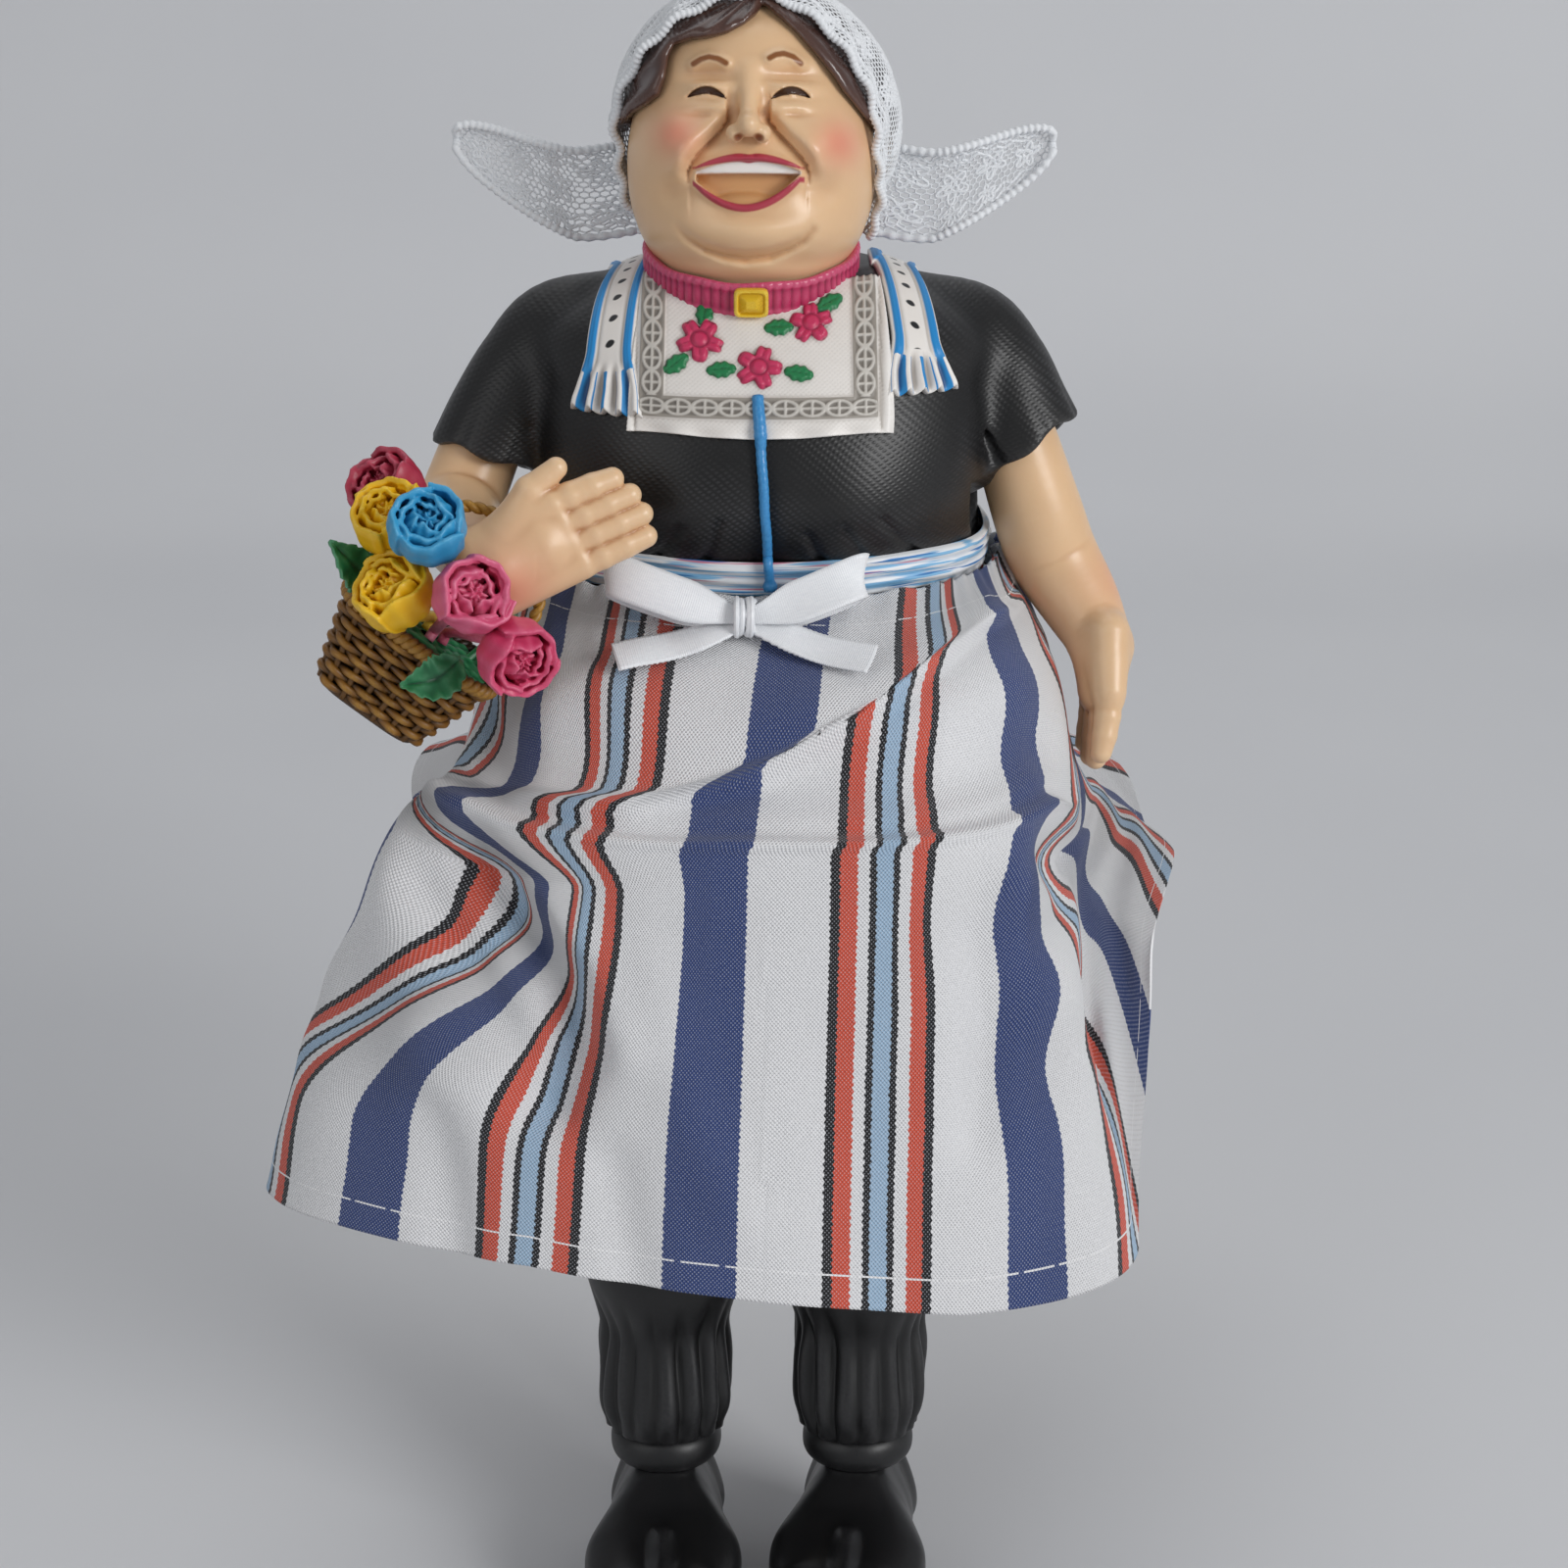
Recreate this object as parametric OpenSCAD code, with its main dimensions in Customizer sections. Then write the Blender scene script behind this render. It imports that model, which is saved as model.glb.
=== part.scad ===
// Shelf sitter doll: a cast figure that sits on a shelf edge with its legs hanging over it.
// Millimetres. +Z is up, the doll faces -Y, and the origin is on the flat underside of the seat.

/* [Seat and body] */
// Height of the waist above the seat
waist_z = 48; // [44:1:54]
// Width of the body at the waist
waist_w = 68; // [60:1:76]
// Depth of the body at the waist
waist_d = 57; // [50:1:64]
// Height of the bodice from the waist to the neck
bodice_h = 44.5; // [40:0.5:50]
// How far the bust stands in front of the waist
bust_out = 5; // [2:0.5:8]
// Width of the seat at the thighs
seat_w = 86; // [78:1:94]
// Distance from the origin to the front of the knees
knee_y = 59; // [54:1:66]
// Height of the knees above the seat
knee_h = 19; // [15:0.5:24]
// Length of the flat seat in front of the origin
seat_front = 28; // [22:1:32]

/* [Head] */
// Width of the face across the cheeks
head_w = 36.6; // [32:0.2:42]
// Height of the head from under the chin to the crown
head_h = 40; // [36:0.5:44]
// Sideways place of the head
head_x = -2; // [-4:0.5:4]
// Backward tilt of the head, in degrees
head_tilt = 8; // [0:1:14]
// Thickness of the hair
hair_t = 1.2; // [0.8:0.1:1.6]

/* [Cap] */
// Thickness of the lace
lace_t = 0.7; // [0.5:0.1:1]
// Length of a cap wing from its root to its tip
wing_len = 27; // [20:0.5:34]
// Width of a cap wing
wing_w = 15; // [11:0.5:19]

/* [Collar and bodice trim] */
// Height of the choker band
choker_h = 5.2; // [4:0.2:6.5]
// Thickness of the choker band
choker_t = 1.5; // [1:0.1:2]
// Width of the bib at its lower edge
bib_w = 36; // [30:0.5:42]
// Height of the bib at its middle
bib_h = 16; // [12:0.5:20]
// Thickness of the bib, bands and waistband
trim_t = 1.1; // [0.8:0.1:1.6]
// Width of a shoulder band
band_w = 7; // [5:0.5:9]
// Height of the waistband
waistband_h = 6.4; // [5:0.2:8]

/* [Arms] */
// Diameter of an upper arm
arm_dia = 14; // [12:0.5:16]
// Diameter of a wrist
wrist_dia = 9.5; // [8:0.5:11]
// Diameter of a finger
finger_dia = 3.7; // [3:0.1:4.4]
// Diameter of the peg that fixes an arm in its sleeve
peg_dia = 6; // [4:0.5:8]

/* [Basket] */
// Width of the basket at its rim
basket_w = 26; // [22:0.5:30]
// Depth of the basket at its rim
basket_d = 15; // [13:0.5:18]
// Height of the basket
basket_h = 14; // [11:0.5:17]
// Sideways lean of the basket, in degrees
basket_lean = 38; // [30:1:44]
// Diameter of a bloom
bloom_dia = 10; // [8:0.2:10.4]
// Diameter of the handle cane
handle_dia = 1.8; // [1.2:0.1:2.2]

/* [Skirt and bow] */
// Thickness of the skirt cloth
cloth_t = 0.9; // [0.6:0.1:1.2]
// How far the hem hangs below the seat
hem_drop = 39; // [30:1:46]
// How far the front hem stands in front of the origin
hem_y = 84; // [78:1:92]
// Depth of the hem's folds
fold_depth = 2.6; // [0:0.2:3.6]
// Number of folds round the skirt
fold_count = 13; // [7:1:16]
// Width of the bow's ribbon
ribbon_w = 6.2; // [4:0.2:8]
// Thickness of the bow's ribbon
ribbon_t = 0.5; // [0.4:0.05:0.8]

/* [Legs] */
// Half the distance between the two legs
leg_x = 14.8; // [14:0.2:18]
// Length of a stocking leg from its top to the ankle
stocking_len = 71; // [60:1:80]
// Diameter of a stocking below the knee
stocking_dia = 23.4; // [20:0.2:25]
// Diameter of a stocking at the ankle
ankle_dia = 19; // [16:0.2:21]
// Diameter of an ankle cuff
cuff_dia = 17; // [14:0.2:19]
// Height of an ankle cuff
cuff_h = 5.5; // [4:0.1:7]
// Length of a clog
clog_len = 36; // [30:0.5:42]
// Width of a clog
clog_w = 23.6; // [20:0.2:26]
// Height of a clog
clog_h = 17; // [14:0.5:20]
// Forward lean of a hanging leg, in degrees
leg_lean = 8.4; // [6:0.1:12]
// How far the leg's eye stands in front of the leg's middle
eye_forward = 8.4; // [7:0.1:9]
// Diameter of the hanger wire
wire_dia = 1.6; // [1.2:0.1:2]
// Running clearance of the wire in the eye, on the radius
eye_clearance = 0.06; // [0.03:0.01:0.1]

/* [Hidden] */

gap = 0.15;          // between cast pieces that are glued together
cloth_gap = 0.5;     // between the cloth and what it lies on
skin_tone = "#dcb48a";
blouse_black = "#1c1c1e";
cloth_white = "#e6e6ea";
cane_brown = "#8a6430";

// Interpolation through the rows of a table whose first column is the position
function span_of(rows, s, i = 0) =
    (i >= len(rows) - 2 || s < rows[i + 1][0]) ? i : span_of(rows, s, i + 1);
function slope_at(rows, i) =
    let (a = max(i - 1, 0), b = min(i + 1, len(rows) - 1)) (rows[b] - rows[a]) / (rows[b][0] - rows[a][0]);
function row_at(rows, s) =
    let (i = span_of(rows, s), h = rows[i + 1][0] - rows[i][0])
    let (t = min(1, max(0, (s - rows[i][0]) / h)), t2 = t * t, t3 = t2 * t)
    rows[i] * (2 * t3 - 3 * t2 + 1) + slope_at(rows, i) * h * (t3 - 2 * t2 + t)
        + rows[i + 1] * (3 * t2 - 2 * t3) + slope_at(rows, i + 1) * h * (t3 - t2);
function mix(a, b, t) = a + (b - a) * t;
function ease(t) = let (c = min(1, max(0, t))) c * c * (3 - 2 * c);
function hump(d, s) = exp(-d * d / (s * s));
function unit(v) = v / norm(v);
function turn_x(p, a) = [p.x, p.y * cos(a) - p.z * sin(a), p.y * sin(a) + p.z * cos(a)];
function turn_y(p, a) = [p.x * cos(a) + p.z * sin(a), p.y, p.z * cos(a) - p.x * sin(a)];
function mirror_x(p, side) = [p.x * side, p.y, p.z];
function middle(ring) = let (n = len(ring)) [for (p = ring) 1] * ring / n;

// Egg section: half width, front depth and back depth with a squareness
function egg(a, half, front, back, square) =
    let (c = cos(a), s = sin(a), e = 2 / square)
    [half * sign(c) * pow(abs(c), e), (s < 0 ? front : back) * sign(s) * pow(abs(s), e)];
function egg_front(x, half, front, square) =
    -front * pow(max(0, 1 - pow(min(1, abs(x) / half), square)), 1 / square);

// Closed solid through a stack of rings that all have the same number of points
module skin(rings) {
    n = len(rings[0]);
    m = len(rings);
    points = concat([for (r = rings) each r], [middle(rings[0]), middle(rings[m - 1])]);
    sides = [for (j = [0 : m - 2], i = [0 : n - 1])
        let (a = j * n + i, b = j * n + (i + 1) % n) each [[a, a + n, b], [b, a + n, b + n]]];
    ends = [for (i = [0 : n - 1]) each [
        [m * n, i, (i + 1) % n], [m * n + 1, (m - 1) * n + (i + 1) % n, (m - 1) * n + i]]];
    polyhedron(points, concat(sides, ends));
}

// Closed thin solid between two grids of points, optionally joined round into a ring
module sheet(outer, inner, ring = false) {
    m = len(outer);
    n = len(outer[0]);
    k = m * n;
    points = concat([for (r = outer) each r], [for (r = inner) each r]);
    last = ring ? n - 1 : n - 2;
    faces = [for (j = [0 : m - 2], i = [0 : last])
        let (a = j * n + i, b = j * n + (i + 1) % n)
        each [[a, a + n, b], [b, a + n, b + n], [k + a, k + b, k + a + n], [k + b, k + b + n, k + a + n]]];
    rims = [for (i = [0 : last])
        let (a = i, b = (i + 1) % n, c = (m - 1) * n + i, d = (m - 1) * n + (i + 1) % n)
        each [[a, b, k + a], [b, k + b, k + a], [c, k + c, d], [d, k + c, k + d]]];
    sides = ring ? [] : [for (j = [0 : m - 2])
        let (a = j * n, b = a + n, c = j * n + n - 1, d = c + n)
        each [[a, k + a, b], [b, k + a, k + b], [c, d, k + c], [d, k + d, k + c]]];
    polyhedron(points, concat(faces, rims, sides));
}

// Closed thin solid between two grids that each close at a pole before their first row
module dome(outer, inner) {
    m = len(outer);
    n = len(outer[0]);
    k = m * n;
    poles = [middle(outer[0]), middle(inner[0])];
    points = concat([for (r = outer) each r], [for (r = inner) each r], poles);
    faces = [for (j = [0 : m - 2], i = [0 : n - 1])
        let (a = j * n + i, b = j * n + (i + 1) % n)
        each [[a, a + n, b], [b, a + n, b + n], [k + a, k + b, k + a + n], [k + b, k + b + n, k + a + n]]];
    rims = [for (i = [0 : n - 1])
        let (b = (i + 1) % n, c = (m - 1) * n + i, d = (m - 1) * n + b)
        each [[2 * k, i, b], [2 * k + 1, k + b, k + i], [c, k + c, d], [d, k + c, k + d]]];
    polyhedron(points, concat(faces, rims));
}

// Round tube through points with a radius at each
function tube_rings(path, radii, sides) =
    [for (i = [0 : len(path) - 1])
        let (d = unit(path[min(i + 1, len(path) - 1)] - path[max(i - 1, 0)]))
        let (u = unit(cross(abs(d.z) > 0.9 ? [0, 1, 0] : [0, 0, 1], d)), w = cross(d, u))
        [for (k = [0 : sides - 1])
            path[i] + radii[i] * (u * cos(360 * k / sides) + w * sin(360 * k / sides))]];

// Seat casting: hips, lap and knees on a flat underside
seat_top = waist_z - 5;
seat_back = waist_d / 2 - 1.5;
seat_rows = [
    [0, seat_w / 2 - 7, seat_front, seat_back - 1, 3],
    [3.5, seat_w / 2 - 2, knee_y - 2, seat_back + 1, 3],
    [knee_h * 0.5, seat_w / 2, knee_y, seat_back + 2, 3],
    [knee_h, seat_w / 2 - 1, knee_y - 2, seat_back + 2, 3],
    [mix(knee_h, seat_top, 0.35), mix(seat_w, waist_w, 0.35) / 2, mix(knee_y, waist_d / 2, 0.34),
        seat_back + 1, 2.7],
    [mix(knee_h, seat_top, 0.7), mix(seat_w, waist_w, 0.75) / 2, mix(knee_y, waist_d / 2, 0.72),
        seat_back, 2.5],
    [seat_top, waist_w / 2 - 1, waist_d / 2 - 0.5, seat_back - 1, 2.3]];
function seat_ring(z, sides) = let (r = row_at(seat_rows, z))
    [for (k = [0 : sides - 1]) let (p = egg(360 * k / sides, r[1], r[2], r[3], r[4])) [p.x, p.y, z]];
spigot_dia = 24;
spigot_h = 8;
module seat_casting() {
    heights = concat([0, 3.5, knee_h * 0.5, knee_h * 0.8],
        [for (s = [0, 0.2, 0.4, 0.7, 1]) mix(knee_h, seat_top, s)]);
    color(skin_tone) difference() {
        skin([for (z = heights) seat_ring(z, 36)]);
        translate([0, 0, seat_top - spigot_h - gap])
            cylinder(d = spigot_dia + 2 * gap, h = spigot_h + 1, $fn = 48);
        for (side = [-1, 1]) staple_legs(side, bore_fit);
    }
}

// Bodice casting: bust, shoulders and both short sleeves
bust_z = waist_z + bodice_h * 0.32;
chest_z = waist_z + bodice_h * 0.6;
shoulder_z = waist_z + bodice_h * 0.84;
yoke_z = waist_z + bodice_h * 0.93;
neck_z = waist_z + bodice_h;
body_square = 2.3;
neck_y = 8;
neck_r = head_w / 2 - 3.5;
collar_front = neck_y + neck_r;
bodice_rows = [
    [seat_top, waist_w / 2, waist_d / 2, seat_back, body_square],
    [waist_z, waist_w / 2, waist_d / 2, seat_back, body_square],
    [bust_z, waist_w / 2 + 1.6, waist_d / 2 + bust_out, seat_back + 1, body_square],
    [chest_z, waist_w / 2 + 1, waist_d / 2 + bust_out * 0.5, seat_back, body_square],
    [shoulder_z, waist_w / 2 - 1.5, collar_front + 0.7, seat_back - 5, body_square],
    [yoke_z, waist_w / 2 - 9, collar_front - 3.3, seat_back - 9, body_square],
    [neck_z, waist_w / 2 - 17, collar_front - 7.3, seat_back - 14, body_square]];
function bodice_row(z) = row_at(bodice_rows, z);
function front_y(x, z) = let (r = bodice_row(z)) egg_front(x, r[1], r[2], body_square);
function back_y(x, z) = let (r = bodice_row(z)) -egg_front(x, r[1], r[3], body_square);
function bodice_ring(z, sides, out = 0) = let (r = bodice_row(z))
    [for (k = [0 : sides - 1])
        let (p = egg(360 * k / sides, r[1] + out, r[2] + out, r[3] + out, body_square)) [p.x, p.y, z]];
// Outward direction of the bodice at a place on its front
function front_out(x, z) =
    let (d = 0.5, across = front_y(x + d, z) - front_y(x - d, z))
    let (rising = front_y(x, z + d) - front_y(x, z - d))
    unit([across / (2 * d), -1, rising / (2 * d)]);
function on_front(x, z, out) = [x, front_y(x, z), z] + front_out(x, z) * out;

sleeve_tip_x = waist_w / 2 + 10;
sleeve_drop = 22;
sleeve_path = [
    [waist_w / 2 - 10, 0, shoulder_z - 7.5],
    [waist_w / 2 - 3, -1, shoulder_z - 5.5],
    [waist_w / 2 + 3, -3, shoulder_z - 9],
    [waist_w / 2 + 7, -5, shoulder_z - 15],
    [sleeve_tip_x, -6.5, shoulder_z - sleeve_drop]];
sleeve_radii = [6.5, 9.6, 11, arm_dia / 2 + 3.6, arm_dia / 2 + 3];
sleeve_end = sleeve_path[4];
sleeve_dir = unit(sleeve_path[4] - sleeve_path[3]);
peg_len = 6;
sleeve_tuck = 3;     // how far an arm goes into its sleeve
sleeve_fit = 0.6;    // between an arm and its sleeve, on the radius
function smooth_path(path, radii, n) =
    let (rows = [for (i = [0 : len(path) - 1]) [i, path[i].x, path[i].y, path[i].z, radii[i]]])
    [for (k = [0 : n]) row_at(rows, k * (len(path) - 1) / n)];
module along(start, direction) {
    translate(start) rotate([0, acos(direction.z), atan2(direction.y, direction.x)]) children();
}
module sleeve(side) {
    rows = smooth_path(sleeve_path, sleeve_radii, 8);
    skin(tube_rings([for (r = rows) [r[1] * side, r[2], r[3]]], [for (r = rows) r[4]], 24));
}
module bodice_casting() {
    heights = [seat_top, waist_z, mix(waist_z, bust_z, 0.5), bust_z, mix(bust_z, chest_z, 0.5), chest_z,
        mix(chest_z, shoulder_z, 0.5), shoulder_z, mix(shoulder_z, yoke_z, 0.5), yoke_z, neck_z];
    color(blouse_black) difference() {
        union() {
            skin([for (z = heights) bodice_ring(z, 40)]);
            for (side = [-1, 1]) sleeve(side);
            translate([0, 0, seat_top - spigot_h]) cylinder(d = spigot_dia, h = spigot_h + 2, $fn = 48);
        }
        neck_socket();
        for (side = [-1, 1]) along(mirror_x(sleeve_end, side), -mirror_x(sleeve_dir, side)) {
            translate([0, 0, -3]) cylinder(r = arm_dia / 2 + sleeve_fit, h = sleeve_tuck + 3, $fn = 48);
            cylinder(d = peg_dia + 2 * gap, h = sleeve_tuck + peg_len + gap, $fn = 32);
        }
    }
}

// Neck, on an axis that leans forward, with the choker round it
neck_lean = 14;
neck_c = [head_x, -neck_y, neck_z + 1];
choker_in = neck_r + gap;
choker_out = choker_in + choker_t;
neck_depth = 7;
module on_neck() { translate(neck_c) rotate([neck_lean, 0, 0]) children(); }
// Room for the choker and all that stands above it
module choker_room(up) {
    on_neck() translate([0, 0, -choker_h / 2 - gap]) cylinder(r = choker_out + gap, h = up, $fn = 64);
}
module neck_socket() {
    on_neck() translate([0, 0, -neck_depth - gap]) cylinder(r = choker_in, h = 40, $fn = 64);
    choker_room(40);
}
module choker_band() {
    soft = choker_t * 0.45;
    color("#b8355c") on_neck() rotate_extrude($fn = 96)
        polygon([[choker_in, -choker_h / 2], [choker_out - soft, -choker_h / 2],
            [choker_out, soft - choker_h / 2], [choker_out, choker_h / 2 - soft],
            [choker_out - soft, choker_h / 2], [choker_in, choker_h / 2]]);
}
clasp_w = 5.6;
clasp_t = 1.5;
module choker_clasp() {
    color("#d2a824") on_neck() translate([0, -choker_out - gap, 0]) rotate([90, 0, 0]) difference() {
        translate([-clasp_w / 2, -choker_h * 0.42, 0]) cube([clasp_w, choker_h * 0.84, clasp_t]);
        difference() {
            translate([-clasp_w * 0.36, -choker_h * 0.28, clasp_t * 0.5])
                cube([clasp_w * 0.72, choker_h * 0.56, clasp_t]);
            translate([-clasp_w * 0.22, -choker_h * 0.15, 0])
                cube([clasp_w * 0.44, choker_h * 0.3, clasp_t * 0.85]);
        }
    }
}

// Head: egg sections with a face raised on the front
head_c = [head_x, -7, neck_z + 18.5];
head_low = -head_h * 0.49;
head_top = head_h * 0.51;
head_rows = [
    [head_low, head_w * 0.31, head_w * 0.3, head_w * 0.25],
    [head_h * -0.41, head_w * 0.405, head_w * 0.46, head_w * 0.32],
    [head_h * -0.28, head_w * 0.475, head_w * 0.52, head_w * 0.38],
    [head_h * -0.12, head_w * 0.5, head_w * 0.535, head_w * 0.44],
    [head_h * 0.06, head_w * 0.48, head_w * 0.505, head_w * 0.48],
    [head_h * 0.23, head_w * 0.43, head_w * 0.46, head_w * 0.49],
    [head_h * 0.39, head_w * 0.32, head_w * 0.33, head_w * 0.38],
    [head_h * 0.475, head_w * 0.19, head_w * 0.19, head_w * 0.24],
    [head_top, head_w * 0.03, head_w * 0.03, head_w * 0.04]];
// Height of the face above its egg: nose, cheeks, chin folds, lips, open mouth, eyes and brows
function face(x, z) =
    5.2 * hump(x, 2.5) * hump(z - 3.6, 3) + 1.8 * hump(x, 1.9) * hump(z - 8, 3.5)
    + 1.3 * (hump(x - 2.9, 1.5) + hump(x + 2.9, 1.5)) * hump(z - 2.4, 1.6)
    + 2.4 * (hump(x - 9.6, 5) + hump(x + 9.6, 5)) * hump(z - 0.8, 4.6)
    + 1.7 * hump(x, 6) * hump(z + 11, 2.2) + 1.4 * hump(x, 10) * hump(z + 16, 2.2)
    - 2.4 * hump(x, 5.6) * hump(z + 4, 2.2) + 0.9 * hump(x, 6.5) * hump(z + 0.8, 1)
    + 1.1 * hump(x, 4.6) * hump(z + 7.6, 1.1)
    - 0.9 * (hump(x - 6, 2.8) + hump(x + 6, 2.8)) * hump(z - 8.4, 1.3)
    + 0.6 * (hump(x - 6, 3) + hump(x + 6, 3)) * hump(z - 10.6, 1.4);
function to_head(p) = head_c + turn_x(p, -head_tilt);
function head_point(a, z, out = 0) =
    let (r = row_at(head_rows, z), p = egg(a, r[1] + out, r[2] + out, r[3] + out, 2.15))
    [p.x, p.y - (p.y < 0 ? face(p.x, z) * ease(-p.y / (r[2] * 0.45)) : 0), z];
// Angles that crowd together at the front, where the face is
function face_angle(k, n) = let (t = 360 * k / n) 90 + t - 28 * sin(t);
module head_casting() {
    columns = 46;
    levels = 26;
    color(skin_tone) {
        difference() {
            skin([for (j = [0 : levels]) let (z = mix(head_low, head_top, j / levels))
                [for (k = [0 : columns - 1]) to_head(head_point(face_angle(k, columns) + 360, z))]]);
            difference() {
                choker_room(choker_h + 2 * gap);
                on_neck() cylinder(r = neck_r, h = 60, center = true, $fn = 64);
            }
        }
        on_neck() translate([0, 0, -neck_depth])
            cylinder(r = neck_r, h = neck_depth + choker_h / 2 + 3, $fn = 64);
    }
}

// Hair: a shell on the head that leaves the face free below the hairline
function hairline(z) = let (t = (z - head_h * 0.02) / (head_top - 1 - head_h * 0.02))
    72 * pow(max(0, 1 - pow(max(0, t), 2.2)), 0.5) + 8 * ease(-t * 3);
hair_gap = 0.5;
module hair() {
    columns = 22;
    levels = 11;
    low = -head_h * 0.2;
    high = head_top - 0.6;
    grid = function (out) [for (j = [0 : levels])
        let (z = mix(low, high, j / levels), edge = max(3, hairline(z)))
        [for (k = [0 : columns]) let (a = -90 + edge + (360 - 2 * edge) * k / columns)
            let (p = head_point(a + 360, z, out))
            to_head(p + [0, 0, out * ease((z - head_h * 0.28) / (head_h * 0.2))])]];
    color("#4a332c") sheet(grid(hair_gap + hair_t), grid(hair_gap));
}

// Lace cap: half a ball round the back of the head, open at the face
cap_r = max(head_w, head_h * 0.915) / 2 + hair_t + 3.5;
cap_c = [head_x, -4, head_c.z + 1];
cap_lean = 21.5;
cap_low = neck_z + 5;
// Polar angle at which the cap ends, at the face edge or above the nape
function cap_edge(round) =
    let (up = sin(cap_lean), side = cos(round) * cos(cap_lean), size = sqrt(up * up + side * side))
    let (low = (cap_low - cap_c.z) / cap_r)
    min(92, abs(low) < size ? acos(low / size) - atan2(side, up) : 92);
function cap_point(round, polar, r) =
    cap_c + turn_x(r * [sin(polar) * sin(round), cos(polar), -sin(polar) * cos(round)], cap_lean);
module lace_cap() {
    columns = 28;
    levels = 8;
    grid = function (r) [for (j = [1 : levels]) [for (k = [0 : columns - 1])
        let (round = 360 * k / columns) cap_point(round, cap_edge(round) * j / levels, r)]];
    color("#e9ecee") dome(grid(cap_r), grid(cap_r - lace_t));
}

// Cap wing: a scooped lobe that stands out from the side of the cap
wing_gap = 0.3;
function wing_root(t) =
    let (dz = -6.5 + t * wing_w * 0.42, dy = 6, r = cap_r + wing_gap)
    [sqrt(r * r - dz * dz - dy * dy), dy, dz];
function wing_half(s) = wing_w / 2 * (0.86 + 0.5 * s) * sqrt(max(0.02, 1 - pow(s, 3.4)));
function wing_point(s, t, out) =
    let (root = wing_root(t), mid = wing_root(0))
    let (far = mid + [s * wing_len, 4 * s, 3.5 * s * s - 1.5 * s] + [0, 0, t * wing_half(s)])
    let (p = mix(root, far, ease(s * 3)))
    p + [0, out - 3.2 * t * t * sin(150 * s) - 2 * sin(90 * s), -2.2 * sin(180 * s) * max(0, t)];
module lace_wing(side) {
    steps = 10;
    across = 8;
    grid = function (out) [for (i = [0 : steps]) [for (j = [0 : across])
        cap_c + mirror_x(wing_point(i / steps, side * (2 * j / across - 1), out), side)]];
    color("#e9ecee") sheet(grid(-lace_t / 2), grid(lace_t / 2));
}
module lace_wing_left() { lace_wing(1); }
module lace_wing_right() { lace_wing(-1); }

// Bib on the chest, under the choker
bib_low = neck_z - 5.5 - bib_h;
module bib_panel() {
    across = 12;
    levels = 7;
    top = neck_z - 1;
    grid = function (out) [for (j = [0 : levels]) [for (k = [0 : across])
        let (t = 2 * k / across - 1, s = j / levels)
        let (z = mix(bib_low + 1.4 * t * t, top, s), x = t * mix(bib_w / 2, neck_r - 1, s * s))
        on_front(x, z, out)]];
    color("#e6e0da") difference() {
        sheet(grid(gap + trim_t), grid(gap));
        choker_room(30);
    }
}

// Shoulder band: a strip over the shoulder, from the bib's side to the shoulder blade
band_in = bib_w / 2 + 1.6;
band_low = bib_low + 1;
function top_of(x, low, high, n = 14) =
    n == 0 ? low : let (m = (low + high) / 2)
    bodice_row(m)[1] > x ? top_of(x, m, high, n - 1) : top_of(x, low, m, n - 1);
function band_point(x, s) =
    let (crest = top_of(x, chest_z, neck_z) - 0.05, z = crest - (crest - band_low) * pow(abs(s), 2.1))
    [x, s < 0 ? front_y(x, z) : back_y(x, z), z];
function band_out(x, s, out) =
    let (d = 0.04, p = band_point(x, s))
    let (down = band_point(x, min(1, s + d)) - band_point(x, max(-1, s - d)))
    p + unit(cross(band_point(x + 0.5, s) - band_point(x - 0.5, s), down)) * out;
module shoulder_band(side) {
    along = 18;
    across = 2;
    grid = function (out) [for (j = [0 : along]) [for (k = [0 : across])
        let (s = 2 * j / along - 1, t = side > 0 ? k / across : 1 - k / across)
        let (flare = 1 + 0.25 * ease(-s * 5 - 4))
        let (x = band_in - 3 * pow(1 - abs(s), 2) + (t - 0.5) * band_w * flare + band_w / 2)
        mirror_x(band_out(x, s, out), side)]];
    color("#dfe3ea") difference() {
        sheet(grid(2 * gap + trim_t), grid(2 * gap));
        choker_room(30);
    }
}
module shoulder_band_left() { shoulder_band(1); }
module shoulder_band_right() { shoulder_band(-1); }

// Waistband: a ring round the waist
band_z0 = waist_z - 1.5;
module waistband() {
    levels = 2;
    grid = function (out) [for (j = [0 : levels]) bodice_ring(band_z0 + waistband_h * j / levels, 40, out)];
    color("#cfd8e4") sheet(grid(2 * gap + trim_t), grid(2 * gap), true);
}

// Piping down the middle of the bodice, from the bib to the waistband
piping_r = 0.7;
module front_piping() {
    low = band_z0 + waistband_h + 0.8;
    high = bib_low - 0.4;
    color("#1f7fc0") skin(tube_rings([for (i = [0 : 8]) on_front(0, mix(low, high, i / 8), piping_r + gap)],
        [for (i = [0 : 8]) piping_r], 8));
}

// Oval tube whose wide direction is given
function oval_rings(path, wide, thin, across, sides) =
    [for (i = [0 : len(path) - 1])
        let (d = unit(path[min(i + 1, len(path) - 1)] - path[max(i - 1, 0)]))
        let (u = unit(across - d * (across * d)), w = cross(d, u))
        [for (k = [0 : sides - 1])
            path[i] + u * wide[i] * cos(360 * k / sides) + w * thin[i] * sin(360 * k / sides)]];
// Finger from its knuckle to its tip
module finger(from, to, bend) {
    r = finger_dia / 2;
    d = to - from;
    path = [from, from + d * 0.45 + bend * 0.5, from + d * 0.8 + bend * 0.9,
        from + d * 0.95 + bend, to + bend];
    skin(tube_rings(path, [r, r, r * 0.9, r * 0.65, r * 0.25], 10));
}
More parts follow.
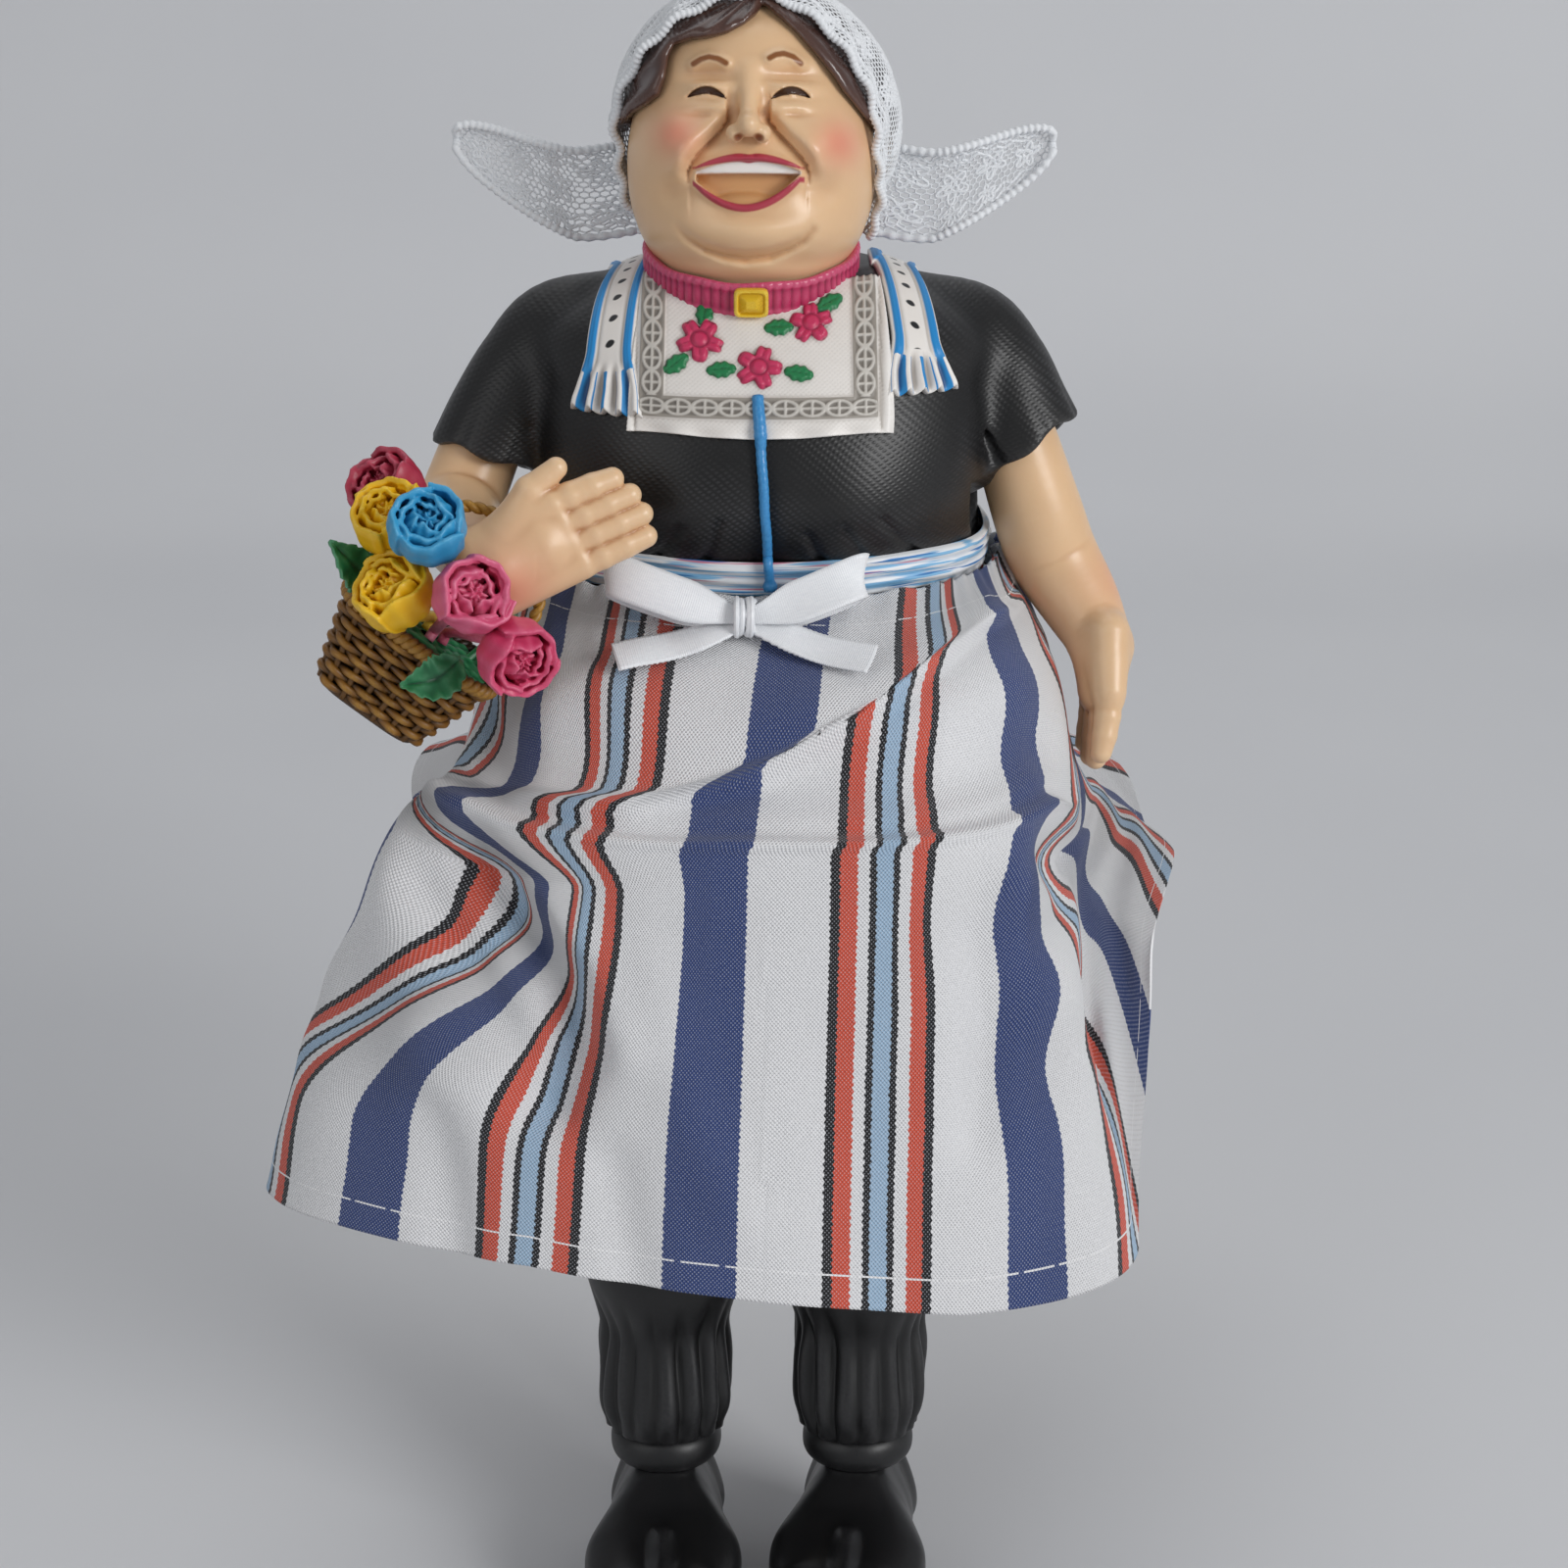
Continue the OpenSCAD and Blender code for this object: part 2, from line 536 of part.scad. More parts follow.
// Hand: a palm, four fingers side by side and a thumb
module hand(wrist, reach, across, bend, thumb) {
    palm_len = 11;
    palm_w = finger_dia * 1.65;
    tip = wrist + reach * palm_len;
    middle_at = wrist + reach * palm_len * 0.35;
    skin(oval_rings([wrist - reach * 1.5, middle_at, wrist + reach * palm_len * 0.75, tip + reach],
        [wrist_dia * 0.48, palm_w * 0.95, palm_w, palm_w * 0.86],
        [wrist_dia * 0.44, finger_dia, finger_dia * 0.9, finger_dia * 0.55],
        across, 14));
    for (i = [0 : 3]) {
        base = tip + across * ((i - 1.5) * finger_dia * 0.84);
        finger(base - reach, base + reach * [9.5, 12.4, 12.8, 11.4][i], bend);
    }
    finger(wrist + reach * 3.5 + across * palm_w * 0.7, wrist + thumb, [0, 0, 0]);
}

// Arms: each runs from the peg in its sleeve through the elbow to the hand
arm_r = arm_dia / 2;
wrist_r = wrist_dia / 2;
// Rings of an arm: its peg, its end inside the sleeve, then the limb to the wrist
function arm_rings(side, path, radii) =
    let (tip = path[0], d = mirror_x(sleeve_dir, side))
    let (face = tip - d * (sleeve_tuck - 2 * gap), sides = 18)
    let (rows = smooth_path(path, radii, 10))
    let (limb = tube_rings([for (r = rows) [r[1], r[2], r[3]]], [for (r = rows) r[4]], sides))
    concat(tube_rings([tip - d * (sleeve_tuck + peg_len), face], [peg_dia, peg_dia] / 2, sides),
        tube_rings([face, tip], [radii[0], radii[0]], sides), [for (i = [1 : len(limb) - 1]) limb[i]]);
left_wrist = sleeve_end + [8.8, -7.5, -28];
left_path = [sleeve_end, sleeve_end + [2.6, 0, -8.5], sleeve_end + [4.5, 2.5, -15.5],
    sleeve_end + [7, -2.5, -22.5], left_wrist];
module arm_left() {
    color(skin_tone) {
        skin(arm_rings(1, left_path, [arm_r * 0.93, arm_r, arm_r, arm_r * 0.88, wrist_r]));
        hand(left_wrist, unit([0, -0.32, -1]), unit([0.12, -1, 0.32]), [-1.2, 0, 0], [0.5, -9, -9]);
    }
}
right_end = mirror_x(sleeve_end, -1);
right_wrist = right_end + [6.2, -36.5, -8.5];
right_path = [right_end, right_end + [-2.6, -4.6, -7], right_end + [-1.5, -16, -8],
    right_end + [2.6, -28, -8.5], right_wrist];
forearm_r = arm_r * 0.8;
module arm_right() {
    color(skin_tone) {
        skin(arm_rings(-1, right_path, [arm_r * 0.88, arm_r * 0.9, arm_r * 0.9, forearm_r, wrist_r]));
        hand(right_wrist, unit([0.88, 0.1, 0.42]), unit([-0.43, 0, 0.9]), [0, 1.2, -0.8], [8.5, 2, 14]);
    }
}

// Basket on the right forearm, leaning sideways on its handle
handle_r = handle_dia / 2;
hoop_r = basket_w / 2 - handle_r - 0.6;
hoop_rise = 9;
arm_gap = 0.45;
hang_point = right_path[3] + [0.6, -3.6, 0];
basket_up = [sin(basket_lean), 0, cos(basket_lean)];
basket_c = hang_point - basket_up * (hoop_rise + hoop_r - handle_r - forearm_r - arm_gap);
module on_basket() { translate(basket_c) rotate([0, basket_lean, 0]) children(); }
function to_basket(p) = basket_c + turn_y(p, basket_lean);
basket_courses = 8;
basket_taper = 0.68;
module course(w, d, r, h) {
    linear_extrude(h) {
        square([w - 2 * r, d], center = true);
        square([w, d - 2 * r], center = true);
        for (x = [-1, 1], y = [-1, 1])
            translate([x * (w / 2 - r), y * (d / 2 - r)]) circle(r = r, $fn = 32);
    }
}
module basket() {
    h = basket_h / basket_courses;
    color(cane_brown) on_basket() difference() {
        for (i = [0 : basket_courses - 1]) {
            f = mix(basket_taper, 1, i / (basket_courses - 1));
            swell = i == basket_courses - 1 ? 0.5 : (i % 2) * 0.35;
            translate([0, 0, i * h - basket_h])
                course(basket_w * f + swell, basket_d * (f + 1) / 2 + swell, 3, h);
        }
        translate([0, 0, -recess]) course(basket_w - 2.4, basket_d - 2.4, 2.4, recess + 1);
    }
}
module basket_handle() {
    color("#6a431c") on_basket() {
        for (x = [-1, 1])
            translate([x * hoop_r, 0, gap]) cylinder(r = handle_r, h = hoop_rise - gap, $fn = 24);
        translate([0, 0, hoop_rise]) rotate([90, 0, 0]) rotate_extrude(angle = 180, $fn = 64)
            translate([hoop_r, 0]) circle(r = handle_r, $fn = 24);
    }
}

// Blooms: each a ball of petals that wind outward, on a stalk that stands in the basket
bloom_r = bloom_dia / 2;
stalk_r = 0.8;
recess = 1.5;
pad_top = -0.35;
red_at = [-20.3, 4, 14.8];
yellow_upper_at = [-15.5, -6, 12.3];
blue_at = [-8, -14, 14];
yellow_lower_at = [-8, -12.4, 3.2];
pink_at = [1.2, -17, 10.4];
deep_pink_at = [11.2, -15.6, 7.4];
red_foot = [-3, 1.5];
yellow_upper_foot = [-7, -4.5];
blue_foot = [-7, 2.5];
yellow_lower_foot = [0, 1.5];
pink_foot = [1, -1.5];
deep_pink_foot = [3, 0.5];
bloom_facing = unit([-0.05, -0.85, 0.5]);
bloom_up = unit([0, 0.5, 0.86]);
function petal_r(polar, round) =
    let (wind = 0.12 * sin(polar * 3.4 + round) * (0.4 + 0.6 * ease(polar / 60)))
    bloom_r * (0.88 + wind + 0.05 * cos(5 * round) * ease(polar / 90));
module bloom(at, foot, tint) {
    columns = 12;
    levels = 10;
    centre = to_basket(at);
    start = to_basket([foot.x, foot.y, pad_top + gap]);
    bend = centre - bloom_facing * (bloom_r * 0.86 + 1.2);
    rise = unit(bend - start);
    stalk = function (c, d)
        let (u = unit(cross(bloom_up, d)), w = cross(d, u))
        [for (k = [0 : columns - 1]) c + stalk_r * (u * cos(360 * k / columns) + w * sin(360 * k / columns))];
    side = unit(cross(bloom_up, bloom_facing));
    up = cross(bloom_facing, side);
    petals = [for (j = [1 : levels])
        let (polar = 180 - 172 * j / levels - 4)
        [for (k = [0 : columns - 1])
            let (round = 360 * k / columns, r = petal_r(polar, round))
            let (spoke = sin(polar) * (side * cos(round) + up * sin(round)))
            centre + r * (spoke + bloom_facing * cos(polar) * 0.86)]];
    color(tint) skin(concat([stalk(start, basket_up), stalk(bend, unit(rise + bloom_facing))], petals));
}
module bloom_red() { bloom(red_at, red_foot, "#a32c44"); }
module bloom_yellow_upper() { bloom(yellow_upper_at, yellow_upper_foot, "#edc018"); }
module bloom_blue() { bloom(blue_at, blue_foot, "#2b8cbf"); }
module bloom_yellow_lower() { bloom(yellow_lower_at, yellow_lower_foot, "#edc018"); }
module bloom_pink() { bloom(pink_at, pink_foot, "#d0557c"); }
module bloom_deep_pink() { bloom(deep_pink_at, deep_pink_foot, "#c23560"); }

// Leaves: blades that rise from a pad in the basket, between the stalks
blade_w = 5.4;
blade_t = 0.8;
stem_share = 0.4;
module blade(path, out) {
    n = 10;
    rows = [for (i = [0 : len(path) - 1]) [i, path[i].x, path[i].y, path[i].z]];
    at = function (s) let (r = row_at(rows, s * (len(path) - 1))) [r[1], r[2], r[3]];
    half = function (s) s < stem_share ? blade_t * 0.7
        : max(blade_t * 0.4, blade_w / 2 * sin(180 * pow((s - stem_share) / (1 - stem_share), 0.8)));
    grid = function (off) [for (i = [0 : n])
        let (s = i / n, d = unit(at(min(1, s + 0.05)) - at(max(0, s - 0.05))))
        let (across = unit(cross(d, out)), lift = cross(across, d))
        [for (k = [-1, 0, 1]) at(s) + across * k * half(s) + lift * (off + 0.3 * k * k * half(s))]];
    on_basket() sheet(grid(blade_t / 2), grid(-blade_t / 2));
}
module basket_leaves() {
    color("#2c6a3c") {
        on_basket() translate([0, 0, gap - recess])
            course(basket_w - 2.4 - 2 * gap, basket_d - 2.4 - 2 * gap, 2.4 - gap, pad_top + recess - gap);
        blade([[-9, -4, -0.9], [-11.5, -6.2, 2.8], [-18.5, -9.5, 5.5]], [-0.5, -0.7, 0.5]);
        blade([[5.5, -4, -0.9], [5.6, -9.4, 2.4], [4.4, -12.4, -0.8], [1, -13, -4.5]], [0, -0.9, 0.4]);
        blade([[7.5, 3, -0.9], [9.5, 6, 4], [14, 8, 8]], [0.3, 0.9, 0.3]);
    }
}

// Skirt: cloth that falls from the waist over the lap, hangs in front of the knees and lies on the shelf
shelf_gap = 1;
function hanging(u) = 1 - ease((abs(u) - 50) / 26);
function egg_at(u, half, front, back, square, z) =
    let (p = egg(u - 90, half, front, back, square))
    [p.x, p.y, z];
function skirt_rows(u) =
    let (on = cloth_gap + cloth_t, drop = hanging(u), top_z = band_z0 - 0.4, lap_z = knee_h + 1.5)
    [concat([0], egg_at(u, waist_w / 2 + on, waist_d / 2 + on, seat_back + on, body_square, top_z)),
    concat([0.25], egg_at(u, mix(waist_w, seat_w, 0.6) / 2 + on + 1, mix(waist_d / 2, knee_y, 0.5) + on,
        seat_back + on + 4, 2.6, mix(mix(top_z, lap_z, 0.45), mix(top_z, lap_z, 0.35), drop))),
    concat([0.5], egg_at(u, seat_w / 2 + on + 5, knee_y + on + 1.4, seat_back + on + 7, 3,
        mix(lap_z - 6, lap_z, drop))),
    concat([0.75], egg_at(u, seat_w / 2 + on + 13, mix(knee_y + 3, hem_y, 0.46), seat_back + on + 11, 3.2,
        mix(shelf_gap + 4, -hem_drop * 0.24, drop))),
    concat([1], egg_at(u, seat_w / 2 + on + 22, hem_y, seat_back + on + 16, 3.4,
        mix(shelf_gap, -hem_drop, drop)))];
function fold(u, v) =
    fold_depth * pow(v, 1.5) * cos(fold_count * u + 24 * sin(2 * u)) * (0.45 + 0.55 * hanging(u))
    + fold_depth * 2.4 * pow(v, 2) * hump(u + 50, 13);
function skirt_point(u, v, out = 0) =
    let (r = row_at(skirt_rows(u), v), p = [r[1], r[2], r[3]], flat = unit([p.x, p.y, 0]))
    let (rise = v < 0.5 ? ease((0.5 - v) * 2.4) * hanging(u) * 0.75 : 0)
    p + flat * (fold(u, v) + out * (1 - rise)) + [0, 0, out * rise];
module skirt() {
    columns = 44;
    levels = 13;
    grid = function (out) [for (j = [0 : levels])
        [for (k = [0 : columns - 1]) skirt_point(180 - 360 * k / columns, j / levels, out)]];
    color(cloth_white) sheet(grid(0), grid(-cloth_t), true);
}

// Bow: two loops and two tails of ribbon, drawn together inside a thread binding
knot_v = 0.07;
pinch_w = 2.4;
binding_in = 2;
binding_out = 2.8;
binding_len = 3;
slope = unit(skirt_point(0, knot_v) - skirt_point(0, knot_v + 0.12));
off_slope = [0, -slope.z, slope.y];
knot = skirt_point(0, knot_v) + off_slope * (binding_out + cloth_gap);
loop_len = 17.5;
tail_len = 17;
// Strip of ribbon along a path with a width at each point
module ribbon(path, widths, across) {
    n = len(path);
    side = function (i)
        let (d = unit(path[min(i + 1, n - 1)] - path[max(i - 1, 0)]))
        unit(across - d * (across * d));
    lift = function (i) let (d = unit(path[min(i + 1, n - 1)] - path[max(i - 1, 0)])) cross(side(i), d);
    grid = function (out) [for (i = [0 : n - 1])
        [for (t = [-1, 0, 1]) path[i] + side(i) * t * widths[i] / 2 + lift(i) * out]];
    sheet(grid(ribbon_t / 2), grid(-ribbon_t / 2));
}
module ribbon_bow() {
    steps = 14;
    ply = ribbon_t + 0.1;
    rise = unit([0, 0.5, 1]);
    forward = unit([0, -1, 0.5]);
    color("#eef0f2") for (side = [-1, 1]) {
        start = knot + [side * 0.1, 0, 0];
        loop = [for (i = [0 : steps]) let (a = 360 * i / steps)
            start + [side * loop_len * (1 - cos(a)) / 2, 0, 0]
                + forward * (2 * sin(a) * pow(sin(a / 2), 2) + ply * (1 - i / steps))
                + rise * (5 * pow((1 - cos(a)) / 2, 1.3))];
        loop_w = [for (i = [0 : steps]) mix(pinch_w, ribbon_w, ease((1 - cos(360 * i / steps)) * 1.4))];
        ribbon(loop, loop_w, rise);
        tail = [for (i = [0 : 8]) let (s = i / 8)
            let (lying = skirt_point(side * (8 + 24 * s), knot_v + 0.03 + 0.14 * s) + off_slope * 1.1)
            mix(start - forward * ply, lying, ease(s * 4))];
        ribbon(tail, [for (i = [0 : 8]) mix(pinch_w, ribbon_w, ease(i / 3))], slope);
    }
}
module bow_binding() {
    color("#f4f5f6") translate(knot) rotate([0, 90, 0]) rotate_extrude($fn = 48)
        translate([binding_in, -binding_len / 2]) square([binding_out - binding_in, binding_len]);
}

// Hangers: a wire staple in the knees and an eye in each leg that hangs on it
wire_r = wire_dia / 2;
hip_y = 4 - knee_y;
hip_z = -2;
staple_half = 3.4;
staple_up = 13;
function pivot(side) = [side * leg_x, hip_y, hip_z];
module staple_legs(side, grow) {
    for (x = [-1, 1]) translate(pivot(side) + [x * staple_half, 0, 0])
        cylinder(r = wire_r + grow, h = staple_up + grow, $fn = 32);
}
module hip_staple(side) {
    color("silver") {
        staple_legs(side, 0);
        translate(pivot(side)) rotate([0, 90, 0])
            cylinder(r = wire_r, h = 2 * staple_half, center = true, $fn = 32);
        for (x = [-1, 1]) translate(pivot(side) + [x * staple_half, 0, 0]) sphere(r = wire_r, $fn = 32);
    }
}
module hip_staple_left() { hip_staple(1); }
module hip_staple_right() { hip_staple(-1); }
eye_in = wire_r + eye_clearance;
eye_mid = eye_in + wire_r;
eye_lift = eye_mid + wire_r + 0.6;
shank_len = 9;
bore_fit = 0.05;
// Place of a leg: its own frame has the leg's top at the origin and its length along -Z
module in_leg(side) {
    translate(pivot(side)) rotate([-leg_lean, 0, 0]) translate([0, eye_forward, -eye_lift]) children();
}
module shank(grow) {
    translate([0, -eye_forward, -shank_len - grow])
        cylinder(r = wire_r + grow, h = shank_len + eye_lift - eye_mid + grow, $fn = 32);
}
module leg_eye(side) {
    color("silver") in_leg(side) {
        shank(0);
        translate([0, -eye_forward, eye_lift]) rotate([0, 90, 0]) rotate_extrude($fn = 48)
            translate([eye_mid, 0]) circle(r = wire_r, $fn = 24);
    }
}
module leg_eye_left() { leg_eye(1); }
module leg_eye_right() { leg_eye(-1); }

// Stocking leg: a rounded top, a full calf, a flare, then gathers down to the ankle
calf_r = stocking_dia / 2;
ankle_r = ankle_dia / 2;
leg_rows = [[0, calf_r * 0.9], [1.6, calf_r * 0.95], [6, calf_r * 0.98],
    [stocking_len * 0.3, calf_r * 0.99], [stocking_len * 0.66, calf_r * 1.02],
    [stocking_len * 0.78, ankle_r * 1.02], [stocking_len * 0.86, ankle_r * 1.02],
    [stocking_len * 0.94, ankle_r * 1.05], [stocking_len, ankle_r * 0.96]];
gathers = 9;
function stocking_r(s, a) =
    row_at(leg_rows, s)[1] + 0.5 * cos(gathers * a) * ease((s / stocking_len - 0.72) * 6);
module leg(side) {
    depths = [0, 1.6, 6, stocking_len * 0.3, stocking_len * 0.55, stocking_len * 0.66, stocking_len * 0.72,
        stocking_len * 0.78, stocking_len * 0.84, stocking_len * 0.9, stocking_len * 0.95, stocking_len];
    color(blouse_black) in_leg(side) difference() {
        skin([for (i = [len(depths) - 1 : -1 : 0]) [for (k = [0 : 35])
            let (a = 10 * k, r = stocking_r(depths[i], a))
            [r * cos(a), r * sin(a), -depths[i]]]]);
        shank(bore_fit);
    }
}
module leg_left() { leg(1); }
module leg_right() { leg(-1); }
module ankle_cuff(side) {
    r = cuff_dia / 2;
    soft = cuff_h * 0.3;
    color("#242426") in_leg(side)
    translate([0, 0, -stocking_len - cuff_h]) rotate_extrude($fn = 64) hull() {
        square([r - soft, cuff_h]);
        for (z = [soft, cuff_h - soft]) translate([r - soft, z]) circle(r = soft, $fn = 32);
    }
}
module ankle_cuff_left() { ankle_cuff(1); }
module ankle_cuff_right() { ankle_cuff(-1); }

// Clog: sections from the heel to the upturned toe, cut flat under the cuff
heel_y = clog_len * 0.31;
clog_rows = [
    [-heel_y, clog_w * 0.1, clog_h * -0.66, clog_h * -0.3],
    [-heel_y * 0.86, clog_w * 0.32, clog_h * -0.93, clog_h * 0.02],
    [-heel_y * 0.3, clog_w * 0.43, -clog_h, clog_h * 0.12],
    [clog_len * 0.14, clog_w * 0.455, -clog_h, clog_h * 0.08],
    [clog_len * 0.34, clog_w * 0.5, -clog_h, clog_h * -0.24],
    [clog_len * 0.53, clog_w * 0.44, clog_h * -0.98, clog_h * -0.44],
    [clog_len * 0.65, clog_w * 0.25, clog_h * -0.82, clog_h * -0.5],
    [clog_len * 0.69, clog_w * 0.08, clog_h * -0.68, clog_h * -0.55]];
module clog(side) {
    n = 13;
    color("#202022") in_leg(side) translate([0, 0, -stocking_len - cuff_h]) intersection() {
        skin([for (i = [0 : n]) let (r = row_at(clog_rows, mix(-heel_y, clog_len * 0.69, i / n)))
            [for (k = [0 : 17]) let (p = egg(20 * k, r[1], (r[3] - r[2]) / 2, (r[3] - r[2]) / 2, 2.5))
                [p.x, -r[0], (r[2] + r[3]) / 2 + p.y]]]);
        translate([-clog_w, -clog_len, -2 * clog_h]) cube([2 * clog_w, 2 * clog_len, 2 * clog_h]);
    }
}
module clog_left() { clog(1); }
module clog_right() { clog(-1); }

seat_casting();
bodice_casting();
head_casting();
hair();
lace_cap();
lace_wing_left();
lace_wing_right();
choker_band();
choker_clasp();
bib_panel();
shoulder_band_left();
shoulder_band_right();
front_piping();
waistband();
arm_left();
arm_right();
basket();
basket_handle();
bloom_red();
bloom_blue();
bloom_pink();
bloom_deep_pink();
bloom_yellow_upper();
bloom_yellow_lower();
basket_leaves();
skirt();
ribbon_bow();
bow_binding();
hip_staple_left();
hip_staple_right();
leg_eye_left();
leg_eye_right();
leg_left();
leg_right();
ankle_cuff_left();
ankle_cuff_right();
clog_left();
clog_right();
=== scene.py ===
import math
from functools import partial

import bmesh
import bpy
import numpy as np
import openvdb
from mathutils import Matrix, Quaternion, Vector


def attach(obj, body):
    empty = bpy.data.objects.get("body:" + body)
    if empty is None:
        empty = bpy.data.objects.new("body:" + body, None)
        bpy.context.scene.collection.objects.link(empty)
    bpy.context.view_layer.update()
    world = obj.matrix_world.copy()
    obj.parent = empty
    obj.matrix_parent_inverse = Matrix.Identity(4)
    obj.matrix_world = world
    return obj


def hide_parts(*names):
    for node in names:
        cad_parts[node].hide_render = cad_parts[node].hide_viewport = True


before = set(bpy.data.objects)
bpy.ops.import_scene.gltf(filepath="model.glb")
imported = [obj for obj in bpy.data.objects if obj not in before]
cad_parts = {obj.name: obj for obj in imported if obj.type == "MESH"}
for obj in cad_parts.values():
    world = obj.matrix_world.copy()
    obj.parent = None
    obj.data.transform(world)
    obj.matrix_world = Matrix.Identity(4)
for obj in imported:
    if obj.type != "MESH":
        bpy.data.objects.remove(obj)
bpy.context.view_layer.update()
mm = 0.001
wayOff = 9.0  # a distance that is outside every shape
sideName = {1: "left", -1: "right"}
rng = np.random.default_rng(11)


# small maths, all lengths in millimetres until a mesh is made
def ease(t):
    c = np.clip(t, 0.0, 1.0)
    return c * c * (3 - 2 * c)


def hump(d, width):
    return np.exp(-(d / width) ** 2)


def mix(a, b, t):
    return a + (b - a) * t


def unit(v):
    v = np.asarray(v, float)
    return v / np.maximum(np.linalg.norm(v, axis=-1, keepdims=True), 1e-9)


def circle(count):
    return np.linspace(0, 2 * np.pi, count, endpoint=False)


def runLength(path):
    return np.cumsum(np.linalg.norm(np.diff(path, axis=0, prepend=path[:1]), axis=1))


def turned(points, axis, degrees):
    c, s = math.cos(math.radians(degrees)), math.sin(math.radians(degrees))
    i, j = {"x": (1, 2), "y": (2, 0), "z": (0, 1)}[axis]
    out = np.array(points, float)
    a, b = out[..., i].copy(), out[..., j].copy()
    out[..., i], out[..., j] = a * c - b * s, a * s + b * c
    return out


def rowAt(rows, s):
    rows, s = np.asarray(rows, float), np.asarray(s, float)
    knots = rows[:, 0]
    slopes = np.gradient(rows, knots, axis=0)
    i = np.clip(np.searchsorted(knots, s, side="right") - 1, 0, len(knots) - 2)
    h = knots[i + 1] - knots[i]
    t = np.clip((s - knots[i]) / h, 0, 1)[..., None]
    h = h[..., None]
    t2, t3 = t * t, t * t * t
    return (rows[i] * (2 * t3 - 3 * t2 + 1) + slopes[i] * h * (t3 - 2 * t2 + t)
            + rows[i + 1] * (3 * t2 - 2 * t3) + slopes[i + 1] * h * (t3 - t2))


def through(points, count):
    points = np.asarray(points, float)
    steps = np.linspace(0, len(points) - 1, count)
    return rowAt(np.column_stack([np.arange(len(points)), points]), steps)[:, 1:]


def egg(angle, half, front, back, square):
    c, s = np.cos(angle), np.sin(angle)
    e = 2 / square
    x = half * np.sign(c) * np.abs(c) ** e
    y = np.where(s < 0, front, back) * np.sign(s) * np.abs(s) ** e
    return x, y


def lineDistance(x, z, path):
    best = np.full(np.broadcast(x, z).shape, 1e9)
    for (ax, az), (bx, bz) in zip(path[:-1], path[1:]):
        dx, dz = bx - ax, bz - az
        t = np.clip(((x - ax) * dx + (z - az) * dz) / (dx * dx + dz * dz), 0, 1)
        best = np.minimum(best, np.hypot(x - ax - dx * t, z - az - dz * t))
    return best


# clay: a block of distance values that shapes are joined to and carved from, then skinned with quads
class Clay:
    def __init__(self, low, high, step):
        self.low, self.step = np.array(low, float), step
        self.axes = [np.arange(a, b + step, step, dtype=np.float32) for a, b in zip(low, high)]
        self.d = np.full([len(a) for a in self.axes], wayOff, np.float32)

    def near(self, low, high, margin):
        cut = []
        for axis, a, b in zip(self.axes, low, high):
            i = np.searchsorted(axis, a - margin)
            j = np.searchsorted(axis, b + margin)
            cut.append(slice(max(0, i), max(i + 1, j)))
        x, y, z = (axis[c] for axis, c in zip(self.axes, cut))
        return tuple(cut), x[:, None, None], y[None, :, None], z[None, None, :]

    def join(self, shape, soft=0.0, sign=1):
        measure, low, high = shape
        cut, x, y, z = self.near(low, high, soft + 3 * self.step)
        a, b = sign * self.d[cut], measure(x, y, z)
        if soft:
            h = np.clip(0.5 + 0.5 * (a - b) / soft, 0, 1)
            self.d[cut] = sign * (a * (1 - h) + b * h - soft * h * (1 - h))
        else:
            self.d[cut] = sign * np.minimum(a, b)

    def carve(self, shape, soft=0.0):
        self.join(shape, soft, -1)

    def skin(self):
        grid = openvdb.FloatGrid(wayOff)
        grid.copyFromArray(np.ascontiguousarray(self.d, np.float32))
        points, quads = grid.convertToQuads(0.0)
        return points.astype(float) * self.step + self.low, quads


def oval(centre, radii):
    c, r = np.asarray(centre, float), np.asarray(radii, float)

    def measure(x, y, z):
        a, b, e = (x - c[0]) / r[0], (y - c[1]) / r[1], (z - c[2]) / r[2]
        near = np.sqrt(a * a + b * b + e * e)
        slope = np.sqrt((a / r[0]) ** 2 + (b / r[1]) ** 2 + (e / r[2]) ** 2)
        return near * (near - 1) / np.maximum(slope, 1e-6)
    return measure, c - r, c + r


def rod(start, end, r0, r1):
    a, b = np.asarray(start, float), np.asarray(end, float)
    d = b - a
    long2 = max(float(d @ d), 1e-9)

    def measure(x, y, z):
        t = np.clip(((x - a[0]) * d[0] + (y - a[1]) * d[1] + (z - a[2]) * d[2]) / long2, 0, 1)
        gap = np.sqrt((x - a[0] - d[0] * t) ** 2 + (y - a[1] - d[1] * t) ** 2 + (z - a[2] - d[2] * t) ** 2)
        return gap - (r0 + (r1 - r0) * t)
    r = max(r0, r1)
    return measure, np.minimum(a, b) - r, np.maximum(a, b) + r


def chain(path, radii):
    radii = np.broadcast_to(radii, (len(path),))
    rods = [rod(p, q, a, b) for p, q, a, b in zip(path[:-1], path[1:], radii[:-1], radii[1:])]

    def measure(x, y, z):
        best = rods[0][0](x, y, z)
        for part in rods[1:]:
            best = np.minimum(best, part[0](x, y, z))
        return best
    return measure, np.min([r[1] for r in rods], 0), np.max([r[2] for r in rods], 0)


# meshes
def gridFaces(rows, columns, ring=False):
    last = columns if ring else columns - 1
    j, i = np.meshgrid(np.arange(rows - 1), np.arange(last), indexing="ij")
    a, b = j * columns + i, j * columns + (i + 1) % columns
    return np.stack([a, b, b + columns, a + columns], -1).reshape(-1, 4)


